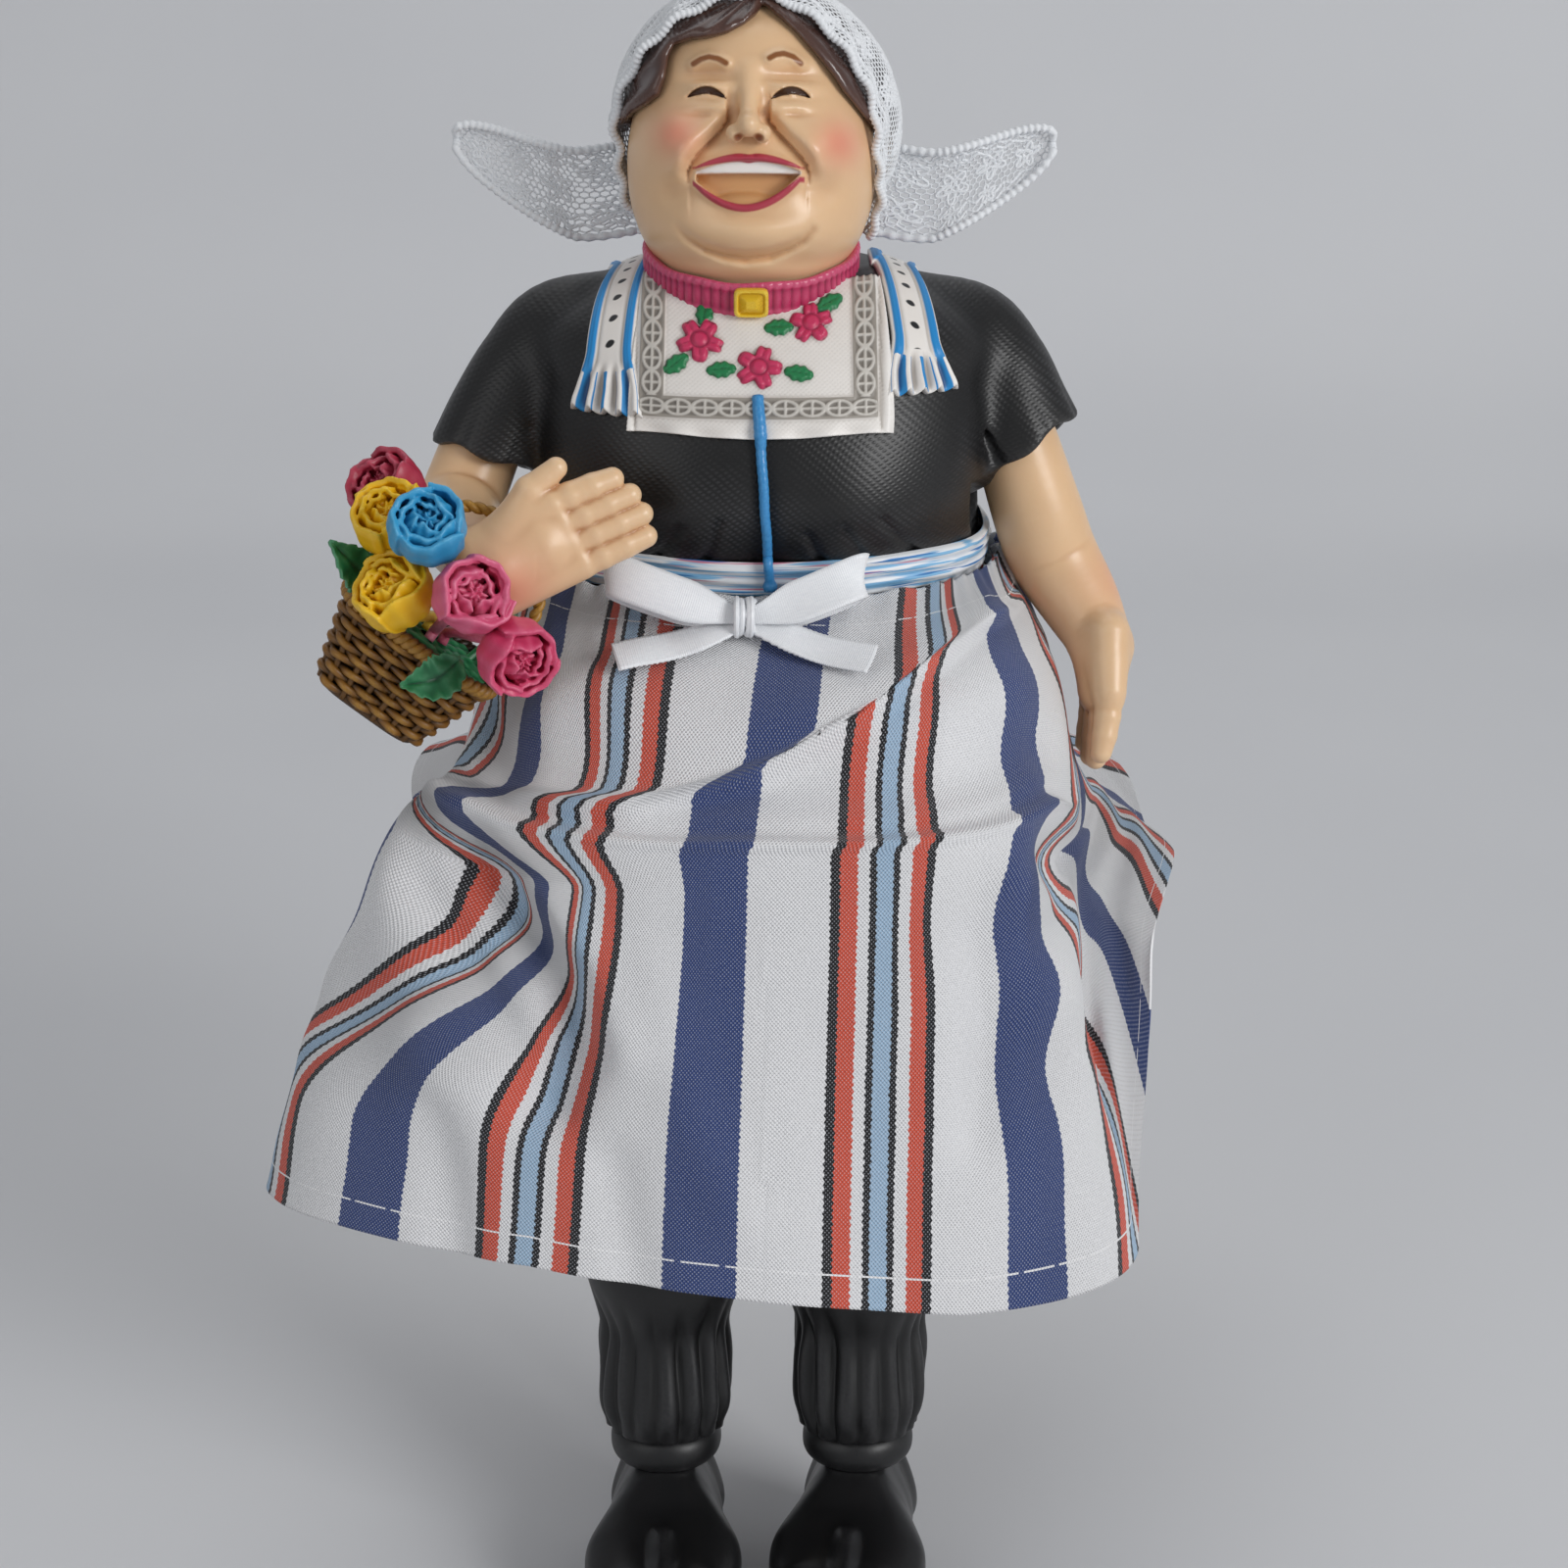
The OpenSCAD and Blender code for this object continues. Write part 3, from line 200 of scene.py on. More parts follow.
def tube(path, radii, sides=8, ring=False, flat=1.0, across=None):
    path = np.asarray(path, float)
    n = len(path)
    radii = np.broadcast_to(np.asarray(radii, float), (n,))
    ahead, behind = np.roll(path, -1, 0), np.roll(path, 1, 0)
    if not ring:
        ahead[-1], behind[0] = path[-1], path[0]
    d = unit(ahead - behind)
    u = np.zeros_like(d)
    u[0] = across if across is not None else np.eye(3)[np.argmin(np.abs(d[0]))]
    for i in range(n):
        base = u[max(i - 1, 0)] if across is None else np.asarray(across, float)
        u[i] = unit(base - d[i] * (base @ d[i]))
    w = np.cross(d, u)
    a = circle(sides)
    rings = (path[:, None] + radii[:, None, None] * (u[:, None] * np.cos(a)[None, :, None]
             + flat * w[:, None] * np.sin(a)[None, :, None]))
    points = rings.reshape(-1, 3)
    faces = gridFaces(n, sides, True).tolist()
    if ring:
        k = (n - 1) * sides
        faces += [(k + i, k + (i + 1) % sides, (i + 1) % sides, i) for i in range(sides)]
    else:
        faces += [tuple(range(sides))[::-1], tuple((n - 1) * sides + i for i in range(sides))]
    return points, faces


def slab(top, under, rows, columns):
    n = rows * columns
    quads = gridFaces(rows, columns)
    rim = (list(range(columns)) + [j * columns + columns - 1 for j in range(1, rows)]
           + [(rows - 1) * columns + i for i in range(columns - 2, -1, -1)]
           + [j * columns for j in range(rows - 2, 0, -1)])
    rim = np.array(rim)
    after = np.roll(rim, -1)
    faces = np.concatenate([quads, quads[:, ::-1] + n, np.stack([after, rim, rim + n, after + n], 1)])
    points = np.concatenate([top.reshape(-1, 3), under.reshape(-1, 3)])
    a, b, c, e = (points[faces[:, k]] for k in range(4))
    room = ((a + b + c + e) * np.cross(c - a, e - b)).sum()
    return points, faces if room > 0 else faces[:, ::-1]


def joined(parts):
    points, faces, base = [], [], 0
    for p, f in parts:
        points.append(np.asarray(p, float))
        faces += [tuple(int(v) + base for v in face) for face in f]
        base += len(p)
    return np.concatenate(points), faces


def makePiece(name, points, faces, material, smooth=True):
    mesh = bpy.data.meshes.new(name)
    mesh.from_pydata((np.asarray(points, float) * mm).tolist(), [], [tuple(map(int, f)) for f in faces])
    mesh.update()
    if smooth:
        mesh.shade_smooth()
    mesh.materials.append(material)
    piece = bpy.data.objects.new(name, mesh)
    bpy.context.scene.collection.objects.link(piece)
    return piece


def setValues(piece, name, values, kind="FLOAT"):
    layer = piece.data.attributes.new(name, kind, "POINT")
    field = {"FLOAT": "value", "FLOAT_VECTOR": "vector", "FLOAT_COLOR": "color"}[kind]
    layer.data.foreach_set(field, np.ascontiguousarray(values, np.float32).ravel())


def setLayers(piece, shape, **layers):
    for name, field in layers.items():
        top = np.broadcast_to(field, shape).ravel()
        setValues(piece, name, np.concatenate([top, np.full(top.size, wayOff)]))


def pointsOf(piece):
    points = np.zeros(len(piece.data.vertices) * 3)
    piece.data.vertices.foreach_get("co", points)
    return points.reshape(-1, 3) / mm


# hollow and ridge: how far each point sits below or above its smoothed neighbours, which the paints use for
# painted shade and painted highlight
def setHollows(piece, rounds, depth):
    mesh = piece.data
    n = len(mesh.vertices)
    points, normals = pointsOf(piece), np.zeros(n * 3)
    mesh.vertices.foreach_get("normal", normals)
    normals = normals.reshape(-1, 3)
    ends = np.zeros(len(mesh.edges) * 2, np.int32)
    mesh.edges.foreach_get("vertices", ends)
    a, b = ends[::2], ends[1::2]
    count = np.maximum(np.bincount(a, minlength=n) + np.bincount(b, minlength=n), 1)
    eased = points.copy()
    for _ in range(rounds):
        eased = np.stack([(np.bincount(a, eased[b, k], n) + np.bincount(b, eased[a, k], n)) / count
                         for k in range(3)], 1)
    sink = ((eased - points) * normals).sum(1) / depth
    setValues(piece, "hollow", np.clip(sink, 0, 1))
    setValues(piece, "ridge", np.clip(-sink, 0, 1))


def modify(piece, kind, **settings):
    step = piece.modifiers.new(kind.title(), kind)
    for name, value in settings.items():
        setattr(step, name, value)
    return step


def fix(piece, body, nodes):
    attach(piece, body)
    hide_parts(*nodes)
    return piece


# materials
def tint(code):
    parts = [int(code[i:i + 2], 16) / 255 for i in (1, 3, 5)]
    return tuple(v / 12.92 if v <= 0.04045 else ((v + 0.055) / 1.055) ** 2.4 for v in parts) + (1.0,)


def addNode(tree, kind, settings=None, links=None):
    return setNode(tree.nodes.new("ShaderNode" + kind), settings, links)


def setNode(node, settings=None, links=None):
    for name, value in (settings or {}).items():
        if name == "stops":
            while len(node.color_ramp.elements) < len(value):
                node.color_ramp.elements.new(0.5)
            for element, (place, colour) in zip(node.color_ramp.elements, value):
                element.position, element.color = place, colour
        elif isinstance(name, int) or name in node.inputs:
            node.inputs[name].default_value = value
        else:
            setattr(node, name, value)
    for name, source in (links or {}).items():
        start = source.outputs[0] if isinstance(source, bpy.types.Node) else source
        node.id_data.links.new(start, node.inputs[name])
    return node


def newMaterial(name):
    material = bpy.data.materials.new(name)
    material.use_nodes = True
    tree = material.node_tree
    return material, partial(addNode, tree), tree.nodes["Principled BSDF"]


# paint on cast resin: a dark wash that gathers in the hollows together with painted shade there, pale rubbed
# edges that are also painted highlight, and a little grain
def paintedResin(name, tone, washAndShade, rubAndHighlight, roughness, washAndShadeAmount=0.7, rubAndHighlightAmount=0.3, grainMm=0.5, bump=0.12,
                 mottleMm=6.0):
    material, add, shader = newMaterial(name)
    place = add("TexCoord").outputs["Object"]
    mottle = add("TexNoise", {"Scale": 1000 / mottleMm, "Detail": 4.0}, {"Vector": place})
    grain = add("TexNoise", {"Scale": 1000 / grainMm, "Detail": 3.0}, {"Vector": place})
    hollow = add("Attribute", {"attribute_name": "hollow"})
    ridge = add("Attribute", {"attribute_name": "ridge"})
    cloud = add("Math", {"operation": "MULTIPLY_ADD", 1: 0.22, 2: -0.09}, {0: mottle})
    # painted shade: the hollow measure and the mottle darken the tone toward the wash colour
    deep = add("Math", {"operation": "MULTIPLY_ADD", 1: washAndShadeAmount}, {0: hollow.outputs["Fac"], 2: cloud})
    # painted highlight with rubbed paint: the ridge measure times the grain lightens the raised edges
    rubbedAndLit = add("Math", {"operation": "MULTIPLY"}, {0: ridge.outputs["Fac"], 1: grain})
    rubbedAndLit = add("Math", {"operation": "MULTIPLY", 1: rubAndHighlightAmount * 2}, {0: rubbedAndLit})
    dark = add("Mix", {"data_type": "RGBA", 6: tint(tone), 7: tint(washAndShade)}, {0: deep})
    lit = add("Mix", {"data_type": "RGBA", 7: tint(rubAndHighlight)}, {0: rubbedAndLit, 6: dark.outputs[2]})
    gloss = add("MapRange", {"To Min": roughness - 0.07, "To Max": roughness + 0.1}, {"Value": mottle})
    relief = add("Bump", {"Strength": bump, "Distance": 0.1 * mm}, {"Height": grain})
    setNode(shader, {}, {"Base Color": lit.outputs[2], "Roughness": gloss, "Normal": relief})
    return material, add, shader, lit


# camera: the photograph looks a little down on the doll from straight in front
camera = {"turn": -0.8, "rise": 20.0, "far": 372.0, "target": (3.2, -25.0, 16.0), "lens": 55.4, "roll": 0.4,
          "sensor": 36, "near": 0.01, "clip": 20}
a, e = math.radians(camera["turn"]), math.radians(camera["rise"])
back = Vector((math.sin(a) * math.cos(e), -math.cos(a) * math.cos(e), math.sin(e)))
eye = bpy.data.objects.new("camera", bpy.data.cameras.new("camera"))
bpy.context.scene.collection.objects.link(eye)
eye.data.lens, eye.data.sensor_width = camera["lens"], camera["sensor"]
eye.data.clip_start, eye.data.clip_end = camera["near"], camera["clip"]
eye.location = (Vector(camera["target"]) + back * camera["far"]) * mm
eye.rotation_mode = "QUATERNION"
aim = (-back).to_track_quat("-Z", "Y")
eye.rotation_quaternion = aim @ Quaternion((0, 0, 1), math.radians(camera["roll"]))
bpy.context.scene.camera = eye
bpy.context.scene.view_settings.view_transform = "Standard"
print("camera set")

# stage: a pale paper sheet that lies just under the soles and rises behind
stage = {"floor": -100.0}


def stageMaterial():
    material, add, shader = newMaterial("matte paper sheet")  # pale and even, so the doll's shadow reads
    place = add("TexCoord").outputs["Object"]
    cloud = add("TexNoise", {"Scale": 6.0, "Detail": 2.0}, {"Vector": place})
    tone = add("Mix", {"data_type": "RGBA", 6: tint("#d3d4d7"), 7: tint("#dcdddf")}, {0: cloud})
    setNode(shader, {"Roughness": 0.9}, {"Base Color": tone.outputs[2]})
    return material


paper = stageMaterial()
sweep = through([(0, -900, 0), (0, 300, 0), (0, 620, 20), (0, 760, 160), (0, 800, 600), (0, 800, 1500)], 60)
sheetPoints = [(x, y, z + stage["floor"]) for _, y, z in sweep for x in (-1800, 1800)]
floor = makePiece("floor", sheetPoints, gridFaces(len(sweep), 2), paper)


def addLamp(name, place, target, size, power):
    lamp = bpy.data.objects.new(name, bpy.data.lights.new(name, "AREA"))
    lamp.data.size, lamp.data.energy = size, power
    lamp.location = place
    lamp.rotation_euler = (Vector(target) - Vector(place)).to_track_quat("-Z", "Y").to_euler()
    bpy.context.scene.collection.objects.link(lamp)


addLamp("window", (1.0, -0.88, 0.52), (0, 0, 0), 0.6, 10.6)
addLamp("fill", (-0.9, -0.9, 0.5), (0, 0, 0), 0.9, 2.2)
addLamp("top", (-0.1, 0.35, 1.0), (0, 0, 0), 0.8, 1.8)
world = bpy.data.worlds.new("studio")
world.use_nodes = True
setNode(world.node_tree.nodes["Background"], {"Color": tint("#e6e8ec"), "Strength": 0.38})
bpy.context.scene.world = world
print("stage and light set")

# head: egg sections as in the frame, then the laughing face pushed out of and into them
headForm = {"centre": (-2.0, -7.0, 111.0), "tilt": -8.0, "width": 36.6, "height": 40.0, "square": 2.15,
            "step": 0.28}
headRows = np.array([(-0.49, 0.31, 0.30, 0.25), (-0.41, 0.405, 0.46, 0.32), (-0.28, 0.475, 0.52, 0.38),
                    (-0.12, 0.5, 0.535, 0.44), (0.06, 0.48, 0.505, 0.48), (0.23, 0.43, 0.46, 0.49),
                    (0.39, 0.32, 0.33, 0.38), (0.475, 0.19, 0.19, 0.24), (0.51, 0.03, 0.03, 0.04)])
headRows = (headRows * [headForm["height"]] + headRows * [0, 1, 1, 1]
            * (headForm["width"] - headForm["height"]))
face = {"middle": -0.4}
mouth = {"half": 7.4, "top": -4.15, "corner": -5.6, "bottom": -10.1, "teeth": 1.7, "depth": 2.4}
eyes = {"x": 5.9, "z": 4.5, "half": 2.75, "arch": 1.0}
nostrils = np.array([(-1.75, -22.3, -1.2), (0.95, -22.3, -1.2)])
browPaths = [[(-8.2, 9.2), (-7.1, 9.8), (-6.0, 10.1), (-4.7, 9.8), (-3.6, 9.2)],
             [(2.5, 9.9), (3.4, 10.4), (4.5, 10.6), (5.8, 10.2), (6.9, 9.3)]]
creasePath = [(-11.2, -13.0), (-8.9, -14.8), (-6.5, -16.1), (-3.7, -17.0), (-0.9, -17.4), (2.6, -17.0),
              (5.3, -16.0), (7.4, -14.9), (8.9, -13.5)]
# cheeks, jowls, chin and lids: height, distance from the middle, width, level, tallness
faceBumps = [(2.9, 10.6, 4.8, -1.6, 4.7), (-0.9, 10.4, 2.6, -7.8, 2.3), (0.7, 9.0, 4.5, -12.5, 3.0),
             (1.5, 0.0, 6.4, -13.8, 2.6), (-0.3, 0.0, 4.5, -12.0, 0.9), (-0.9, 5.9, 3.3, 7.6, 1.3),
             (1.5, 5.9, 2.9, 6.0, 1.1), (-0.4, 5.9, 2.9, 6.95, 0.3), (0.8, 5.9, 3.1, 3.3, 0.85),
             (-0.25, 5.9, 3.2, 2.1, 0.6), (0.5, 5.4, 3.6, 9.6, 1.3)]
foldPath = [(3.1, 1.3), (4.75, -0.7), (6.7, -2.5), (8.1, -4.2), (8.8, -5.9), (8.4, -7.9)]


def toWorld(points):
    return turned(points, "x", headForm["tilt"]) + headForm["centre"]


def toHead(points):
    return turned(np.asarray(points, float) - headForm["centre"], "x", -headForm["tilt"])


def lipEdges(x):
    across = np.clip(np.abs(x - face["middle"]) / mouth["half"], 0, 1)
    upper = mix(mouth["top"], mouth["corner"], across ** 2)
    lean = np.clip(np.abs(x + 1.0) / (mouth["half"] + 0.4), 0, 1)
    lower = mouth["bottom"] + (mouth["corner"] - 0.3 - mouth["bottom"]) * lean ** 1.9
    return upper, lower, across


def mouthField(x, z):
    upper, lower, _ = lipEdges(x)
    return np.maximum(np.maximum(z - upper, (lower - z) * 0.8), np.abs(x - face["middle"]) - mouth["half"])


def lipField(x, z):
    upper, lower, across = lipEdges(x)
    bow = 0.22 * hump(x - face["middle"], 0.9)
    top = np.abs(z - (upper + 0.5 - bow)) - (0.6 - 0.44 * across ** 2)
    steep = np.hypot(1, 1.1 * np.clip(np.abs(x + 1.0) / 8.1, 0, 1))
    low = np.abs(z - (lower - 0.5 * steep)) / steep - (0.55 - 0.3 * across ** 4)
    return np.maximum(np.minimum(top, low), np.abs(x - face["middle"]) - mouth["half"] - 0.5)


def eyeField(x, z):
    t = (np.abs(x - face["middle"]) - eyes["x"]) / eyes["half"]
    line = eyes["z"] + eyes["arch"] * (1 - t * t) + 0.12 * t
    slit = np.abs(z - line) - 0.52 * np.clip(1 - t * t, 0, 1) ** 0.6
    return np.maximum(slit, (np.abs(t) - 1) * eyes["half"])


def browField(x, z):
    return np.minimum(lineDistance(x, z, browPaths[0]), lineDistance(x, z, browPaths[1])) - 0.4


def faceRelief(x, z):
    side = np.abs(x - face["middle"])
    upper, lower, _ = lipEdges(x)
    fold = lineDistance(side, z, foldPath)
    inner = side < np.interp(z, [-7.9, -5.9, -4.2, -2.5, -0.7, 1.3], [8.4, 8.8, 8.1, 6.7, 4.75, 3.1])
    out = 1.2 * hump(x, 11) * hump(z + 19.6, 1.9) + 0.6 * hump(x, 9) * hump(z - 13.5, 4)
    for high, away, wide, level, tall in faceBumps:
        out = out + high * hump(side - away, wide) * hump(z - level, tall)
    out -= 1.15 * hump(lineDistance(x, z, creasePath), 0.7) * ease((11.5 - side) / 4.5)
    fade = 0.15 + 0.85 * ease((z + 8.0) / 4.0)
    out -= fade * (1.0 * hump(fold, 0.8) + 0.9 * np.where(inner, hump(fold, 2.6), 0))
    out += fade * 0.7 * np.where(inner, 0, hump(fold - 1.6, 1.3))
    lips = ease((8.4 - side) / 2.0)
    out += lips * (0.9 * hump(z - upper - 0.5, 0.62) + 0.8 * hump(z - lower + 0.5, 0.65))
    return out + 0.35 * hump(np.maximum(browField(x, z), 0), 0.5)


def eggField(clay, table, power):
    x, y, z = clay.axes[0][:, None, None], clay.axes[1][None, :, None], clay.axes[2][None, None, :]
    rows = rowAt(table, clay.axes[2])
    half, front, rear = (np.maximum(rows[:, k], 0.4)[None, None, :] for k in (1, 2, 3))
    depth = np.where(y < 0, front, rear)
    level = ((np.abs(x) / half) ** power + (np.abs(y) / depth) ** power) ** (1 / power) - 1
    above = np.maximum(z - table[-1, 0], table[0, 0] - z)
    level = level.astype(np.float32)
    slope = np.gradient(level, clay.step)
    flat = slope[0] ** 2 + slope[1] ** 2
    size = np.sqrt(flat + np.minimum(slope[2] ** 2, 14 * flat))
    return np.maximum(level / np.maximum(size, 0.02), above).astype(np.float32)


def exactField(clay, rough, reach):
    grid = openvdb.FloatGrid(wayOff)
    grid.copyFromArray(np.ascontiguousarray(rough, np.float32))
    points, quads = grid.convertToQuads(0.0)
    band = reach / clay.step
    measured = openvdb.FloatGrid.createLevelSetFromPolygons(points, quads=quads, halfWidth=band)
    exact = np.zeros(rough.shape, np.float32)
    measured.copyToArray(exact)
    return exact * clay.step


def buildHead():
    clay = Clay((-21, -26.5, -25), (21, 20, 22.5), headForm["step"])
    plain = exactField(clay, eggField(clay, headRows, headForm["square"]), 5.0)
    x, y, z = clay.axes[0][:, None], clay.axes[1], clay.axes[2][None, :]
    frontness = ease(-y / 8.0)[None, :, None]
    relief = faceRelief(x, z)[:, None, :]
    clay.d = (np.clip(plain, -wayOff, wayOff) - relief * frontness).astype(np.float32)
    middle = face["middle"]
    clay.join(rod((middle, -16.6, 8.0), (middle, -20.8, 1.2), 0.9, 1.35), 2.0)
    clay.join(oval((middle, -21.9, 0.6), (1.6, 2.3, 1.65)), 1.0)
    for side in (-1, 1):
        clay.join(oval((middle + side * 1.95, -20.6, -0.5), (1.25, 1.9, 1.3)), 0.7)
    for side in (-1, 1):
        wing = middle + side * 0.75
        clay.carve(rod((wing, -20.6, -2.0), (wing, -20.2, -3.2), 0.25, 0.25), 0.6)
    surface = clay.d.copy()
    hole = mouthField(x, z)[:, None, :]
    cavity = np.where(frontness > 0.5, np.maximum(hole, -(surface + mouth["depth"])), wayOff)
    clay.d = np.maximum(clay.d, -cavity)
    upper, _, across = lipEdges(x)
    tooth = np.maximum(z - upper - 0.2, upper - mouth["teeth"] * (1 - 0.8 * across ** 2) - z)[:, None, :]
    tooth = np.maximum(np.maximum(tooth, hole - 0.3), surface + 0.45)
    clay.d = np.where(frontness > 0.5, np.minimum(clay.d, tooth), clay.d).astype(np.float32)
    clay.join(oval((-0.8, -16.4, -9.9), (4.4, 2.8, 1.6)), 0.6)
    slit = eyeField(x, z)[:, None, :]
    clay.d = np.where(frontness > 0.5, np.maximum(clay.d, -np.maximum(slit, -(surface + 0.75))), clay.d)
    for spot in nostrils:
        clay.carve(oval(spot, (0.62, 0.95, 0.5)), 0.25)
    neck = toHead([(-2, -8, 93.5), (-2, -9.2, 98.4)])
    clay.join(rod(neck[0] - (neck[1] - neck[0]) * 0.4, neck[1], 14.3, 13.4), 2.5)
    points, faces = clay.skin()
    paint = skinPaint("satin flesh paint with features", faceColours)
    head = makePiece("head", toWorld(points), faces, paint)
    px, py, pz = points.T
    front = py < -6
    far = 5.0
    inside = mouthField(px, pz)
    up, _, side = lipEdges(px)
    teeth = np.maximum(up - mouth["teeth"] * (1 - 0.8 * side ** 2) - pz, inside)
    fields = {"lips": lipField(px, pz), "teeth": teeth, "mouth": inside, "brows": browField(px, pz),
              "slits": eyeField(px, pz)}
    for feature, field in fields.items():
        setValues(head, feature, np.where(front, field, far))
    holes = np.linalg.norm((points[:, None] - nostrils[None]) / (0.75, 1.4, 0.62), axis=2)
    setValues(head, "nostrils", np.min(holes, axis=1) - 1)
    blush = hump(px + 10.6, 3.4) * hump(pz + 0.5, 3.0) + hump(px - 12.4, 3.2) * hump(pz + 1.6, 3.2)
    setValues(head, "blush", np.where(front, blush, 0))
    setHollows(head, 14, 0.42)
    return fix(head, "figure", ["head_casting"])


faceColours = (("mouth", "#d3a06c", 0.15), ("teeth", "#f1ece6", 0.12), ("lips", "#b23a4c", 0.1),
               ("brows", "#8a5326", 0.14), ("slits", "#432818", 0.1), ("nostrils", "#8f4f26", 0.3))


def skinPaint(name, features):
    # cast resin with flesh paint: satin gloss, brown wash and painted shade left in the folds, pale painted
    # highlight on the raised skin, sprayed blush, brushed features
    material, add, shader, base = paintedResin(
        name, "#e6bf94", "#a5652f", "#f3d9b6", 0.36, washAndShadeAmount=0.75, rubAndHighlightAmount=0.25, grainMm=0.6, bump=0.06)
    colour = base.outputs[2]
    for feature, tone, edge in features:
        field = add("Attribute", {"attribute_name": feature})
        wobble = add("TexNoise", {"Scale": 1000 / 0.8, "Detail": 2.0})
        shaky = add("Math", {"operation": "MULTIPLY_ADD", 1: 0.3, 2: -0.15}, {0: wobble})
        moved = add("Math", {"operation": "ADD"}, {0: field.outputs["Fac"], 1: shaky})
        inside = add("MapRange", {"From Min": edge, "From Max": -edge}, {"Value": moved})
        colour = add("Mix", {"data_type": "RGBA", 7: tint(tone)}, {0: inside, 6: colour}).outputs[2]
    blush = add("Attribute", {"attribute_name": "blush"})
    warm = add("Math", {"operation": "MULTIPLY", 1: 0.7}, {0: blush.outputs["Fac"]})
    colour = add("Mix", {"data_type": "RGBA", 7: tint("#e37f6c")}, {0: warm, 6: colour}).outputs[2]
    setNode(shader, {"Subsurface Weight": 0.06, "Subsurface Radius": (0.0012, 0.0006, 0.0003),
            "Coat Weight": 0.18, "Coat Roughness": 0.25}, {"Base Color": colour})
    return material


headPiece = buildHead()
print("head modelled")

# hair: a shell over the crown that ends in two swept locks above the face
hairEdge = [(-19.5, 1.0), (-16.9, 3.0), (-14.9, 3.8), (-13.1, 5.0), (-12.2, 7.4), (-11.7, 10.5),
            (-10.9, 12.0), (-8.6, 12.6), (-5.8, 12.8), (-3.4, 13.4), (-1.0, 14.7), (0.7, 16.2), (1.5, 17.6),
            (2.1, 17.3), (4.2, 15.5), (6.3, 13.6), (8.0, 11.7), (9.7, 9.9), (11.5, 7.8), (12.9, 5.8),
            (14.0, 4.6), (16.5, 2.0), (19.0, 0.0)]
hairForm = {"thick": 1.35, "ears": 2.0, "nape": -7.0, "parting": (1.8, 20.5), "step": 0.3}


def hairPaint():
    # brown enamel over cast hair: wet-looking painted highlights along the locks, painted shade darker in
    # the comb lines
    material, _, shader, _ = paintedResin("glossy brown hair paint", "#452d26", "#1d0f0b", "#735347", 0.26,
                                          washAndShadeAmount=0.9, rubAndHighlightAmount=0.35, grainMm=0.4, bump=0.05)
    setNode(shader, {"Coat Weight": 0.35})
    return material


def buildHair():
    clay = Clay((-22, -20, -10), (22, 22.5, 24), hairForm["step"])
    plain = exactField(clay, eggField(clay, headRows, headForm["square"]), 3.6)
    x, y, z = clay.axes[0][:, None], clay.axes[1][None, :, None], clay.axes[2][None, :]
    edge = np.array(hairEdge)
    above = lineDistance(x, z, hairEdge) * np.sign(z - np.interp(x, edge[:, 0], edge[:, 1]))
    sweep = np.arctan2(z - hairForm["parting"][1], x - hairForm["parting"][0])
    comb = (0.3 * np.sin(9 * sweep + 1.5 * np.sin(3 * sweep))
            + 0.16 * np.sin(31 * sweep + 2 * np.sin(5 * sweep)))
    comb = comb * ease(np.hypot(x - hairForm["parting"][0], z - hairForm["parting"][1]) / 5)
    thick = hairForm["thick"] + comb * ease(above / 3 + 0.2) + 0.5 * hump(above - 1.2, 1.2)
    nape = mix(hairForm["ears"], hairForm["nape"], ease((y - 5) / 8))
    region = mix(above[:, None, :], z[:, None, :] - nape, ease((y + 3) / 9))
    outer = plain - 0.15 - thick[:, None, :]
    soft = 0.9
    h = np.clip(0.5 - 0.5 * (outer + region) / soft, 0, 1)
    clay.d = (outer * (1 - h) - region * h + soft * h * (1 - h)).astype(np.float32)
    clay.d = np.maximum(clay.d, 0.1 - plain)
    points, faces = clay.skin()
    hair = makePiece("sweptHair", toWorld(points), faces, hairPaint())
    setHollows(hair, 12, 0.3)
    return fix(hair, "figure", ["hair"])


hairPiece = buildHair()
print("hair modelled")

# lace: a net of small cells with thicker sprigs, and cord sewn round its edges
capForm = {"centre": (-1.5, -4.0, 112.0), "radius": 21.7, "snug": 19.9, "clear": 0.5, "low": 97.5,
           "cord": 0.62, "sprigs": 130, "turns": 130}
spanGrid = {"step": 3, "rows": 64, "columns": 120}  # how far head and hair reach, by degrees from the pole
capEdge = np.array([(-180, 96), (-130, 99), (-90, 107), (-45, 106), (0, 101), (45, 114), (90, 124),
                   (130, 110), (180, 96)])
poleAxis = np.array([0, math.cos(math.radians(21.5)), math.sin(math.radians(21.5))])
crownAxis = np.array([0, -poleAxis[2], poleAxis[1]])
lacePitch = {"net": 0.33, "sprig": 0.52}


def lacePaint():
    # bleached cotton net: matt threads with a soft sheen, greyer in the twist of the yarn
    material, add, shader = newMaterial("white cotton lace")
    place = add("TexCoord").outputs["Object"]
    twist = add("TexNoise", {"Scale": 1000 / 0.35, "Detail": 3.0}, {"Vector": place})
    tone = add("Mix", {"data_type": "RGBA", 6: tint("#d9dde2"), 7: tint("#f6f7f8")}, {0: twist})
    relief = add("Bump", {"Strength": 0.5, "Distance": 0.1 * mm}, {"Height": twist})
    setNode(shader, {"Roughness": 0.75, "Sheen Weight": 0.25},
            {"Base Color": tone.outputs[2], "Normal": relief})
    return material


lace = lacePaint()


def wrapped(path, radius, turns):
    path = np.asarray(path, float)
    beat = np.linspace(0, turns * 2 * np.pi, len(path))
    return tube(path, radius * (1 + 0.16 * np.sin(beat)), 8)


